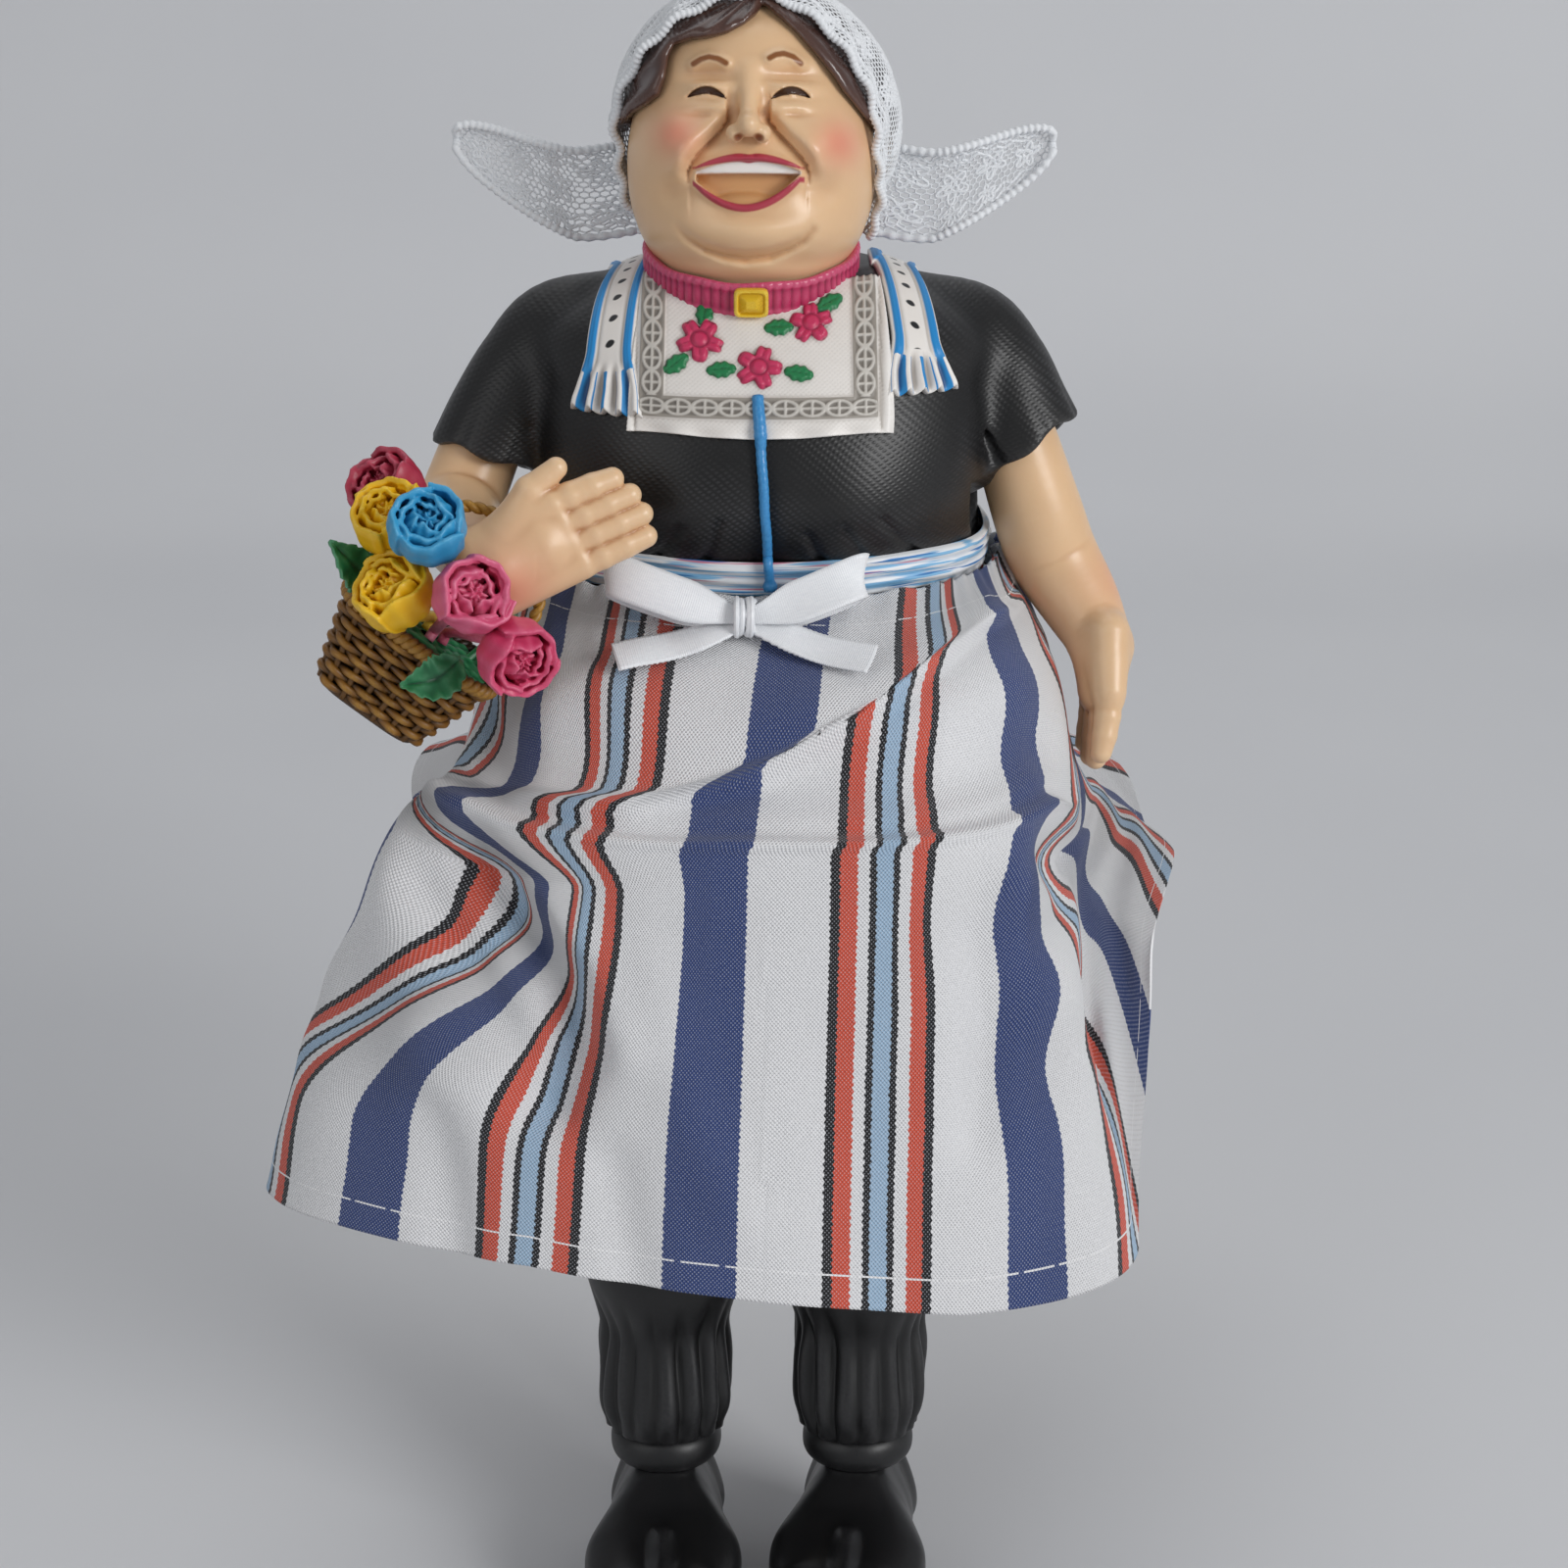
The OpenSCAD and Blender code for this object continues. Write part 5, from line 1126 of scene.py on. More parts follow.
def buildBand(side):
    name = sideName[side]
    low = 77.0 if side > 0 else 74.0
    rows, columns = 190, 46
    s, t = np.linspace(-1, 1, rows)[:, None], np.linspace(0, 1, columns)[None, :]
    flare = 1 + 0.5 * ease((-s - 0.72) / 0.28)
    x = (bandForm["inner"] - 3 * (1 - np.abs(s)) ** (1.2 if side > 0 else 2.0)
         + (t - 0.5) * bandForm["wide"] * flare + bandForm["wide"] / 2)
    heights = np.linspace(74.7, 92.4, 200)
    crest = np.interp(-x, -rowAt(bodyRows, heights)[:, 1], heights)
    tau = 2 * t - 1 + 0 * s
    z = crest - (crest - mix(72.0, low, s < 0)) * np.abs(s) ** 2.1
    z -= (0.9 * np.abs(np.sin(tau * 7.5)) - 0.2) * ease((-s - 0.9) / 0.1)
    y = np.where(s < 0, bodyY(x, z), bodyY(x, z, True))
    surface = np.stack([x, y, z], -1)
    tip = ease((-s - bandForm["fringe"]) / 0.12)
    cords = np.minimum(np.abs(tau + 0.74), np.abs(tau - 0.74)) * bandForm["wide"] / 2
    relief = (0.45 * hump(cords, 0.55) - 0.18 * hump(cords, 0.12)
              - 0.2 * hump(cords - 0.9, 0.25)) * (1 - tip)
    relief += tip * (0.5 * np.cos(tau * 15) + 0.5 * ease((-s - 0.9) / 0.1))
    out = bandForm["out"] + bandForm["thick"] + relief
    points = lifted(surface, out)
    run = runLength(surface[:, columns // 2])[:, None]
    strands = np.where(np.abs(np.abs(tau) - 0.62) < 0.3, 0.8, -1)
    blue = np.where(tip > 0.5, 0.25 - np.cos(tau * 15 + 2.2) * strands, cords - 0.62)
    beat = (run + 1.2) % 4.3 - 2.15
    dots = np.hypot(beat, tau * bandForm["wide"] / 2 - 0.15 * np.sin(run * 3)) - 0.62
    dots = np.where(tip > 0.1, wayOff, dots)
    mirror = np.array([side, 1, 1])
    # each layer: its colour, and a darker copy used as painted shade in the hollows
    layers = [("blue", "#2089cc", "#0c4a80"), ("dots", "#17171a", "#050506")]
    solid = slab(points * mirror, surface * mirror, rows, columns)
    band = makePiece("shoulderBand" + name.title(), *solid, trimPaint("painted dotted ribbon", layers))
    setLayers(band, x.shape, blue=blue, dots=dots)
    setHollows(band, 8, 0.18)
    fix(band, "figure", ["shoulder_band_" + name])


def buildPiping():
    z = np.linspace(77.2, 48.6, 90)
    x = np.interp(z, [48, 77.2], [0.9, -1.0]) + 0.04 * np.sin(z * 0.8)
    lift = np.interp(z, [48, 52.6, 53.8, 70, 73, 77.2], [2.4, 2.3, 0.75, 0.75, 1.5, 1.3])
    path = np.stack([x, bodyY(x, z) - lift, z], -1)
    thick = np.interp(z, [48, 49.2, 50.2, 70, 72, 77.2], [1.0, 1.1, 0.72, 0.75, 0.95, 0.85])
    # blue enamel on a sewn-on cord: glossy, painted highlight paler along the top, painted shade darker in
    # the hollows
    material = paintedResin("blue enamel cord", "#1a72b6", "#0a3863", "#55a6dc", 0.3, washAndShadeAmount=0.6,
                            rubAndHighlightAmount=0.5, grainMm=0.4, bump=0.1, mottleMm=2)[0]
    cord = makePiece("frontPiping", *tube(path, thick * (1 + 0.04 * np.sin(z * 5)), 12), material)
    setHollows(cord, 6, 0.2)
    fix(cord, "figure", ["front_piping"])


beltForm = {"low": 46.6, "high": 52.8, "middle": 49.7, "half": 3.1, "rows": 30, "columns": 420,
            "radius": 33}


def buildWaistband():
    # brushed strokes of pale blue and rose over white enamel, running along the band, with blue-grey painted
    # shade in the hollows and white painted highlight on the raised ribs
    material, add, shader, base = paintedResin(
        "streaked waistband paint", "#eef1f4", "#8aa6c4", "#ffffff", 0.38, washAndShadeAmount=0.6, rubAndHighlightAmount=0.3,
        grainMm=0.4, bump=0.1, mottleMm=3)
    along = add("Attribute", {"attribute_name": "stroke"}).outputs["Vector"]
    colour = base.outputs[2]
    for seed, tone, low in ((0.0, "#86bde4", 0.51), (40.0, "#d98ba2", 0.59), (80.0, "#3079ba", 0.62)):
        shift = add("Mapping", {"Location": (seed, seed, 0.0), "Scale": (0.06, 1.3, 1.0)},
                    {"Vector": along})
        streak = add("TexNoise", {"Scale": 1.0, "Detail": 2.0}, {"Vector": shift})
        amount = add("MapRange", {"From Min": low, "From Max": low + 0.05}, {"Value": streak})
        colour = add("Mix", {"data_type": "RGBA", 7: tint(tone)}, {0: amount, 6: colour}).outputs[2]
    setNode(shader, {}, {"Base Color": colour})
    z = np.linspace(beltForm["low"], beltForm["high"], beltForm["rows"])
    t = circle(beltForm["columns"])
    rows = rowAt(bodyRows, z)
    q = (z - beltForm["middle"]) / beltForm["half"]
    out = 0.3 + 1.1 * np.clip(1 - np.abs(q) ** 4, 0, 1) ** 0.5
    ribs = q[:, None] * 11 + 0.8 * np.sin(3 * t)[None, :] + np.sin(7 * t)[None, :]
    ringed = out[:, None] + 0.16 * np.sin(ribs)
    cx, cy = egg(t[None, :], *(rows[:, k][:, None] + ringed for k in (1, 2, 3)), bodyForm["square"])
    height = z[:, None] + 0.25 * np.sin(5 * t)[None, :]
    points = np.stack([cx, cy, np.broadcast_to(height, cx.shape)], -1)
    belt = makePiece("streakedBelt", points.reshape(-1, 3), gridFaces(len(z), len(t), True), material)
    arc = np.broadcast_to(t[None, :] * beltForm["radius"], cx.shape)
    stroke = np.stack([arc, np.broadcast_to(z[:, None], cx.shape), 0 * arc], -1)
    setValues(belt, "stroke", stroke.reshape(-1, 3), "FLOAT_VECTOR")
    setHollows(belt, 8, 0.15)
    fix(belt, "figure", ["waistband"])


buildBib()
buildBand(1)
buildBand(-1)
buildPiping()
buildWaistband()
print("trim made")

# arms: bare forearms with hands whose fingers lie side by side
handForm = {"finger": 2.1, "step": 0.3}
armForms = {
    "left": {
        "path": [(38.2, -6.0, 67.6), (42.6, -6.5, 54.9), (45.5, -5.4, 47.6), (49.6, -8.6, 41.0),
                 (52.8, -13.6, 35.4)],
        "radii": [6.4, 7.0, 7.0, 6.2, 4.8], "reach": (0, -0.32, -1), "across": (0.12, -1, 0.32),
        "bend": (-1.2, 0, 0), "thumb": (0.5, -7.5, -9), "palm": 9.0, "lengths": (6.6, 8.6, 9.0, 8.0),
        "blushAt": (51.5, -8, 42)},
    "right": {
        "path": [(-43.6, -6.0, 64.4), (-46.6, -11.1, 56.4), (-45.5, -22.5, 55.4), (-41.4, -34.5, 54.9),
                 (-37.8, -43, 54.9)],
        "radii": [6.2, 6.4, 6.3, 5.6, 4.9], "reach": (0.88, 0.1, 0.42), "across": (-0.43, 0, 0.9),
        "bend": (0, 1.2, -0.8), "thumb": (8.5, 2, 14), "palm": 11.0, "lengths": (10.0, 10.9, 10.6, 9.4),
        "blushAt": (-36, -47, 52)}}


def buildArm(name, path, radii, reach, across, bend, thumb, palm, lengths, blushAt):
    path = np.array(path, float)
    wrist, reach = path[-1], unit(reach)
    across = unit(np.asarray(across, float) - reach * (np.asarray(across, float) @ reach))
    bend = np.asarray(bend, float)
    tip = wrist + reach * palm
    span = np.concatenate([path, [tip + reach * 14, wrist + np.array(thumb)]])
    clay = Clay(span.min(0) - 9, span.max(0) + 9, handForm["step"])
    limb = through(np.column_stack([path, radii]), 30)
    clay.join(chain(limb[:, :3], limb[:, 3]))
    spread = [(i - 1.5) * handForm["finger"] * 1.5 for i in range(4)]
    for i, off in enumerate(spread):
        start = wrist + across * off * 0.78 - reach * 1.5
        knuckle = tip + across * off
        clay.join(rod(start, knuckle, 3.3, 2.3), 1.6)
    clay.join(rod(wrist + reach * 1.5, wrist + reach * 7, 4.4, 3.6), 2.0)
    for i, off in enumerate(spread):
        base = tip + across * off - reach * 1.4
        long_ = lengths[i] + 1.4
        joints = [base + reach * long_ * k + bend * (k ** 1.8) for k in (0, 0.4, 0.72, 1.0)]
        thick = np.array([1.0, 0.98, 0.94, 0.8]) * handForm["finger"]
        for k in range(3):
            clay.join(rod(joints[k], joints[k + 1], thick[k], thick[k + 1]), 0.25)
        clay.join(oval(joints[1], (2.0, 2.0, 2.0)), 0.4)
    root = wrist + reach * 3.2 + across * 4.2
    end = wrist + np.array(thumb)
    middle = mix(root, end, 0.55) + across * 0.9
    clay.join(rod(root, middle, 2.7, 2.2), 1.4)
    clay.join(rod(middle, end, 2.2, 1.6), 0.5)
    points, faces = clay.skin()
    arm = makePiece(name, points, faces, armPaint)
    setHollows(arm, 12, 0.22)
    spot = np.linalg.norm(points - np.array(blushAt), axis=1)
    setValues(arm, "blush", 0.9 * hump(spot, 5.0))
    return arm


armPaint = skinPaint("satin flesh paint on resin", ())
for name, form in armForms.items():
    arm = buildArm(name + "Arm", **form)
    fix(arm, "figure", ["arm_" + name])
print("arms modelled")

# basket: cane stakes woven with flat weavers, a twisted rim and a hoop over the forearm
basketForm = {"centre": (-49.14, -38.1, 44.22), "lean": 38.0, "wide": 26.0, "deep": 15.0, "high": 14.0,
              "taper": 0.68, "stakes": 18, "rows": 12, "cane": 0.6, "fine": 16, "twists": 30}
hoopForm = {"radius": 11.5, "rise": 9.0, "cane": 0.62}


def onBasket(points):
    return turned(points, "y", basketForm["lean"]) + basketForm["centre"]


def basketRing(t, z, out):
    f = mix(basketForm["taper"], 1.0, (z + basketForm["high"]) / basketForm["high"])
    half = basketForm["deep"] / 2 * (f + 1) / 2 + out
    x, y = egg(t, basketForm["wide"] / 2 * f + out, half, half, 4.0)
    return np.stack([x, y, np.broadcast_to(z, x.shape)], -1)


# cast wicker: ochre over umber, gold rubbed on the tops of the canes and also painted highlight there,
# near-black umber as painted shade between and behind them
wicker = paintedResin("umber and gold wicker", "#84591f", "#1f1006", "#cb9b42", 0.42, washAndShadeAmount=0.95,
                      rubAndHighlightAmount=0.5, grainMm=0.5, bump=0.2, mottleMm=3)[0]


def buildBasket():
    parts = []
    high, stakes, fine = basketForm["high"], basketForm["stakes"], basketForm["fine"]
    dense = np.linspace(0, 2 * np.pi, 4001)
    run = runLength(basketRing(dense, -5.0, 0))
    evenAt = np.interp(np.linspace(0, run[-1], stakes * fine, endpoint=False), run, dense)
    beat = np.cos(np.arange(stakes * fine) * np.pi / fine)
    for k in range(basketForm["rows"]):
        z = -high + 0.9 + k * (high - 1.7) / (basketForm["rows"] - 1)
        sway = 0.1 * rng.standard_normal(stakes * fine)
        drift = 0.16 * np.sin(3 * evenAt + 1.7 * k) + 0.1 * np.sin(7 * evenAt + 2.3 * k)
        wave = 0.5 * beat * (1 if k % 2 else -1)
        path = basketRing(evenAt, z + drift + 0.06 * sway, -0.55 + wave)
        parts.append(tube(path, basketForm["cane"] * (1 + 0.1 * sway), 8, ring=True))
    for k in range(stakes):
        t = evenAt[k * fine]
        z = np.linspace(-high + 0.2, -0.6, 8)
        path = np.concatenate([basketRing(np.array([t]), q, -0.6) for q in z])
        parts.append(tube(path, 0.55, 7))
    for phase in (0, np.pi):
        spin = np.arange(len(evenAt)) * 2 * np.pi * basketForm["twists"] / len(evenAt) + phase
        path = basketRing(evenAt, -0.6 + 0.55 * np.sin(spin), -0.35 + 0.5 * np.cos(spin))
        parts.append(tube(path, 0.72, 8, ring=True))
    for k in range(7):
        f = (k + 0.6) / 7
        ring = basketRing(evenAt, -high + 0.3 + 0.12 * (-1) ** k, -0.6) * (f, f, 1)
        parts.append(tube(ring, 0.62, 7, ring=True))
    # a lining behind the weave; the hollow measure below gives it the near-black umber as painted shade
    shadedLining = [basketRing(evenAt, q, -1.2) for q in np.linspace(-high + 0.5, -0.9, 6)]
    points = np.concatenate(shadedLining + [[(0, 0, -high + 0.5)]])
    n = len(evenAt)
    faces = gridFaces(6, n, True).tolist() + [((i + 1) % n, i, 6 * n) for i in range(n)]
    parts.append((points, faces))
    points, faces = joined(parts)
    basket = makePiece("wickerBasket", onBasket(points), faces, wicker)
    share = mix(basketForm["taper"], 1.0, points[:, 2] / high + 1)
    halfWide, halfDeep = basketForm["wide"] / 2 * share, basketForm["deep"] / 4 * (share + 1)
    outside = (((points[:, 0] / halfWide) ** 4 + (points[:, 1] / halfDeep) ** 4) ** 0.25 - 1) * halfDeep
    # painted shade on points sunk inside the weave and on the lining, painted highlight in gold on the
    # outermost canes
    setValues(basket, "hollow", np.clip((0.15 - outside) / 0.7, 0, 1))
    setValues(basket, "ridge", np.clip((outside - 0.2) / 0.4, 0, 1))
    fix(basket, "figure", ["basket"])


def buildHoop():
    a = np.linspace(0, np.pi, 160)
    rise, radius = hoopForm["rise"], hoopForm["radius"]
    arch = np.stack([radius * np.cos(a), 0 * a, rise + radius * np.sin(a)], -1)
    legs = np.linspace(-0.2, rise, 40)
    path = np.concatenate([np.stack([np.full(40, radius), 0 * legs, legs], -1), arch[1:-1],
                          np.stack([np.full(40, -radius), 0 * legs, legs[::-1]], -1)])
    ahead = unit(np.gradient(path, axis=0))
    side = np.array([0, 1.0, 0])
    other = np.cross(ahead, side)
    spin = np.linspace(0, 2 * np.pi * 15, len(path))
    parts = []
    for phase in (0, np.pi):
        off = 0.38 * (np.cos(spin + phase)[:, None] * side + np.sin(spin + phase)[:, None] * other)
        parts.append(tube(path + off, hoopForm["cane"] * 0.9, 8))
    points, faces = joined(parts)
    hoop = makePiece("basketHandle", onBasket(points), faces, wicker)
    setHollows(hoop, 5, 0.2)
    fix(hoop, "figure", ["basket_handle"])


# blooms: thick cupped petals round a crinkled bud, each on its stalk
bloomForm = {"radius": 5.3, "step": 0.24, "core": 0.44,
             "rings": ((0.93, 3, 50, 1.2, 0.9), (0.75, 3, 37, 1.1, 0.8), (0.58, 4, 23, 0.8, 0.7))}
# in each bloom the second colour is the wash and painted shade in the cups, the third the rubbed paint and
# painted highlight on the rims
bloomPlaces = {
    "red": {"at": (-16.3, 4, 12.8), "foot": (-3, 1.5), "facing": (-0.5, -0.5, 0.7),
            "tone": "#a92c45", "washAndShade": "#560d20", "rubAndHighlight": "#d8738a", "slot": "red_petal"},
    "yellow_upper": {"at": (-13.6, -7, 12.6), "foot": (-7, -4.5), "facing": (-0.1, -0.6, 0.8),
                     "tone": "#f0bd0c", "washAndShade": "#b97a05", "rubAndHighlight": "#ffe25e", "slot": "yellow_petal"},
    "blue": {"at": (-9.3, -15, 17.0), "foot": (-7, 2.5), "facing": (0.1, -0.75, 0.65),
             "tone": "#2b97c9", "washAndShade": "#0c4c78", "rubAndHighlight": "#86cdec", "slot": "blue_petal"},
    "yellow_lower": {"at": (-7.4, -13, 6.0), "foot": (0, 1.5), "facing": (-0.35, -0.6, 0.7),
                     "tone": "#f0bd0c", "washAndShade": "#b97a05", "rubAndHighlight": "#ffe25e", "slot": "yellow_petal"},
    "pink": {"at": (0.9, -18, 13.8), "foot": (1, -1.5), "facing": (0.35, -0.85, 0.4),
             "tone": "#d8557c", "washAndShade": "#8a1c42", "rubAndHighlight": "#f2a3ba", "slot": "pink_petal"},
    "deep_pink": {"at": (10.8, -17, 10.3), "foot": (3, 0.5), "facing": (0.45, -0.85, -0.1),
                  "tone": "#cf3f69", "washAndShade": "#801638", "rubAndHighlight": "#ec8ca8", "slot": "deep_pink_petal"}}


def buildBloom(name, at, foot, facing, tone, washAndShade, rubAndHighlight, slot, seed):
    local = np.random.default_rng(seed)
    radius, facing = bloomForm["radius"], unit(facing)
    up = unit(np.cross(np.cross(facing, (0, 0.5, 0.86)), facing))
    side = np.cross(up, facing)
    clay = Clay((-7, -7, -7), (7, 7, 7), bloomForm["step"])
    x, y, z = clay.axes[0][:, None, None], clay.axes[1][None, :, None], clay.axes[2][None, None, :]
    reach = np.sqrt(x * x + y * y + z * z) + 1e-6
    turn, tilt = np.arctan2(y, x) + 0 * z, np.arccos(np.clip(z / reach, -1, 1))
    crinkle = 0.07 * np.sin(5 * turn + 7 * tilt + seed) + 0.05 * np.sin(9 * turn - 6 * tilt)
    clay.d = (reach - radius * (bloomForm["core"] + crinkle)).astype(np.float32)
    for size, count, rim, wide, thick in bloomForm["rings"]:
        start = local.uniform(0, 6)
        for k in range(count):
            away = (turn - start - (k + local.uniform(-0.12, 0.12)) * 2 * np.pi / count
                    + np.pi) % (2 * np.pi) - np.pi
            mouthAt = (np.radians(rim + local.uniform(-8, 8)) + 0.14 * np.sin(3 * away + k)
                       + 0.3 * (away / wide) ** 2)
            lip = (0.1 * ease(1 - (tilt - mouthAt) / 0.45) + 0.06 * away / wide
                   + 0.02 * np.sin(11 * away + 3 * k))
            shell = np.abs(reach - radius * (size + lip)) - thick / 2
            flank = (np.abs(away) - wide) * reach * np.sin(tilt)
            part = np.maximum(shell, np.maximum((mouthAt - tilt) * reach, flank))
            h = np.clip(0.5 + 0.5 * (clay.d - part) / 0.3, 0, 1)
            clay.d = (mix(clay.d, part, h) - 0.3 * h * (1 - h)).astype(np.float32)
    points, faces = clay.skin()
    centre = onBasket(np.array(at, float))
    points = centre + points[:, :1] * side + points[:, 1:2] * up + points[:, 2:] * facing
    start = onBasket(np.array([foot[0], foot[1], -0.2]))
    bend = centre - facing * (radius * 0.86 + 1.2)
    lead = onBasket(np.array([foot[0], foot[1], 2.0]))
    stalk = through([start, lead, mix(lead, bend, 0.6), bend, centre - facing * radius * 0.6], 24)
    # resin petals: strong colour, painted shade darker in the cups, pale rims as dry-brushing and painted
    # highlight
    material = paintedResin("painted petal " + name, tone, washAndShade, rubAndHighlight, 0.4, washAndShadeAmount=0.75, rubAndHighlightAmount=0.5,
                            grainMm=0.5, bump=0.12, mottleMm=3)[0]
    solid = joined([(points, faces), tube(stalk, np.linspace(0.8, 0.95, 24), 10)])
    bloom = makePiece("bloom" + name.title().replace("_", ""), *solid, material)
    setHollows(bloom, 10, 0.4)
    fix(bloom, "figure", ["bloom_" + name])


def buildLeaves():
    parts = []
    paths = [([(-9, -4, -0.9), (-11.5, -6.2, 2.8), (-18.5, -9.5, 5.5)], (-0.5, -0.7, 0.5), 3.0),
             ([(5.5, -4, -0.9), (5.6, -9.4, 2.4), (4.4, -12.4, -0.8), (1, -13, -4.5)], (0, -0.9, 0.4), 3.1),
             ([(7.5, 3, -0.9), (9.5, 6, 4), (14, 8, 8)], (0.3, 0.9, 0.3), 2.8)]
    for path, out, half in paths:
        line = through(path, 40)
        s = np.linspace(0, 1, 40)
        d = unit(np.gradient(line, axis=0))
        across = unit(np.cross(d, out))
        lift = np.cross(across, d)
        blade = np.clip((s - 0.36) / 0.64, 0, 1)
        width = np.maximum(0.55, half * np.sin(np.pi * blade ** 0.8) * (1 + 0.1 * np.sin(s * 70)))
        width[-1] = 0.3
        k = np.linspace(-1, 1, 17)
        veins = np.sin(s[:, None] * 26 - np.abs(k)[None, :] * 3) * (blade > 0)[:, None]
        vein = -0.28 * hump(k, 0.12)[None, :] + 0.14 * veins
        top = 0.4 + 0.32 * (k ** 2)[None, :] * width[:, None] + vein * np.minimum(1, width / 1.5)[:, None]
        grid = line[:, None] + across[:, None] * (k[None, :] * width[:, None])[..., None]
        upper = grid + lift[:, None] * top[..., None]
        under = grid + lift[:, None] * (top - 0.75)[..., None]
        parts.append(slab(upper, under, 40, 17))
    t = circle(90)
    pad = []
    for f in np.linspace(1, 0.05, 16):
        ring = basketRing(t, -0.5, -1.5) * (f, f, 1)
        ring[:, 2] += 0.25 * np.sin(ring[:, 0] * 2.1 + 1) * np.sin(ring[:, 1] * 2.4) + 0.3
        pad.append(ring)
    parts.append((np.concatenate(pad), gridFaces(16, 90, True).tolist()))
    # leaf green enamel: painted shade dark along the veins, painted highlight light on the raised blade
    material = paintedResin("leaf green enamel", "#1f7446", "#0b3320", "#6fb487", 0.34, washAndShadeAmount=0.8,
                            rubAndHighlightAmount=0.45, grainMm=0.5, bump=0.1, mottleMm=2)[0]
    points, faces = joined(parts)
    leaves = makePiece("basketLeaves", onBasket(points), faces, material)
    setHollows(leaves, 6, 0.2)
    fix(leaves, "figure", ["basket_leaves"])


buildBasket()
buildHoop()
for seed, (name, spec) in enumerate(bloomPlaces.items()):
    buildBloom(name, seed=seed + 1, **spec)
buildLeaves()
print("basket filled")

# skirt: striped cotton gathered at the waist, creased over the knees and hanging in folds
skirtForm = {"wide": 432.0, "long": 105.0, "lap": 0.392, "columns": 577, "rows": 240, "thick": 0.5,
             "repeat": 48.0, "lapLong": 41, "hangLong": 63.5}
skirtRows = [(36.3, 30.8, 29.3, 2.3, 47.2, 47.2), (41.8, 45.15, 32.4, 2.6, 34.6, 37.1),
             (49.4, 61.8, 35.4, 3.0, 14.5, 20.5), (57.4, 72.1, 39.4, 3.2, 5.0, -9.4),
             (66.4, 84.0, 44.4, 3.4, 1.0, -39.0)]
stripeAt = [-72, -48, -24, 0, 24, 48, 72]
stripeRun = {"waist": [-44, -33, -19, 6, 27, 37, 47], "lap": [-70, -50, -29, -6.3, 18, 42, 62],
             "hem": [-80, -57, -33, -8, 17, 41, 60]}
skirtSpread = np.array([(-180, 0), (-130, -3), (-110, -5), (-95, -6), (-82, -8), (-73, -2), (-66, 8),
                       (-58, 13), (-50, 11.5), (-42, 6), (-32, 2), (-20, 0), (30, 0), (45, -1), (55, -3),
                       (65, -5), (75, -5), (85, -2), (100, 0), (180, 0)])
foldLine = [(-60, 0.95), (-35, 0.89), (-19, 0.86), (-1, 0.73), (13, 0.59), (26, 0.4), (35, 0.27),
            (60, 0.15)]
# folds: height and width of each, and the line it follows across and down the cloth
lapFolds = [(1.4, 4.0, [(-25, 20), (-40, 30)]), (-1.2, 4.0, [(-30, 14), (-44, 24)])]
hangFolds = [
    (-4.8, 4.6, [(-45, 3), (-37, 12), (-30, 21), (-27, 30), (-31, 38)]),
    (1.9, 4.0, [(-44, 1), (-33, 9), (-24, 18), (-20, 30)]),
    (3.4, 8.5, [(-60, 8), (-52, 24), (-46, 40)]),
    (2.4, 4.0, [(37, 8), (41, 12)]),
    (-3.0, 4.5, [(47, 7), (58, 12), (70, 20)]),
    (2.0, 6.0, [(44, 24), (50, 34)]),
    (-2.8, 4.5, [(55, 33), (64, 42)]),
    (-2.2, 4.0, [(31, 16), (33, 27), (31, 40)]),
    (-1.8, 4.2, [(-21, 47), (-18, 63)]),
    (-2.0, 4.5, [(-47, 44), (-45, 63)]),
    (-1.6, 3.6, [(-52, 12), (-42, 22), (-36, 30)]),
    (1.1, 4.5, [(-16, 18), (-11, 38), (-4, 52)]),
    (-0.8, 8.0, [(8, 30), (14, 60)])]


def hanging(u):
    return 1 - ease((np.abs(u + 5) - 55) / 22)


def alongRows(places, knots, v):
    slopes = np.gradient(knots, places, axis=0)
    i = int(np.clip(np.searchsorted(places, v, side="right") - 1, 0, len(places) - 2))
    h = places[i + 1] - places[i]
    t = (v - places[i]) / h
    return (knots[i] * (2 * t ** 3 - 3 * t * t + 1) + slopes[i] * h * (t ** 3 - 2 * t * t + t)
            + knots[i + 1] * (3 * t * t - 2 * t ** 3) + slopes[i + 1] * h * (t ** 3 - t * t))


def skirtRing(u, v):
    drop = hanging(u)
    knots = []
    spread = rowAt(skirtSpread, u)[..., 1] * np.sign(u)
    flank = hump(u - 72, 24)
    shares = ((0, 0), (0, 3.4), (0.2, 1.6), (1.15, 0), (1.15, 0))
    for (half, front, rear, square, zSide, zFront), (share, puff) in zip(skirtRows, shares):
        x, y = egg(np.radians(u - 90), half, front, rear, square)
        x = x + spread * share + puff * flank
        knots.append(np.stack([x, y, mix(zSide, zFront, drop)], -1))
    knots = np.array(knots)
    places = np.linspace(0, 1, 5)
    smooth = alongRows(places, knots, v)
    crisp = alongRows(places[:3], knots[:3], v) if v < 0.5 else alongRows(places[2:], knots[2:], v)
    return mix(smooth, crisp, drop[..., None])


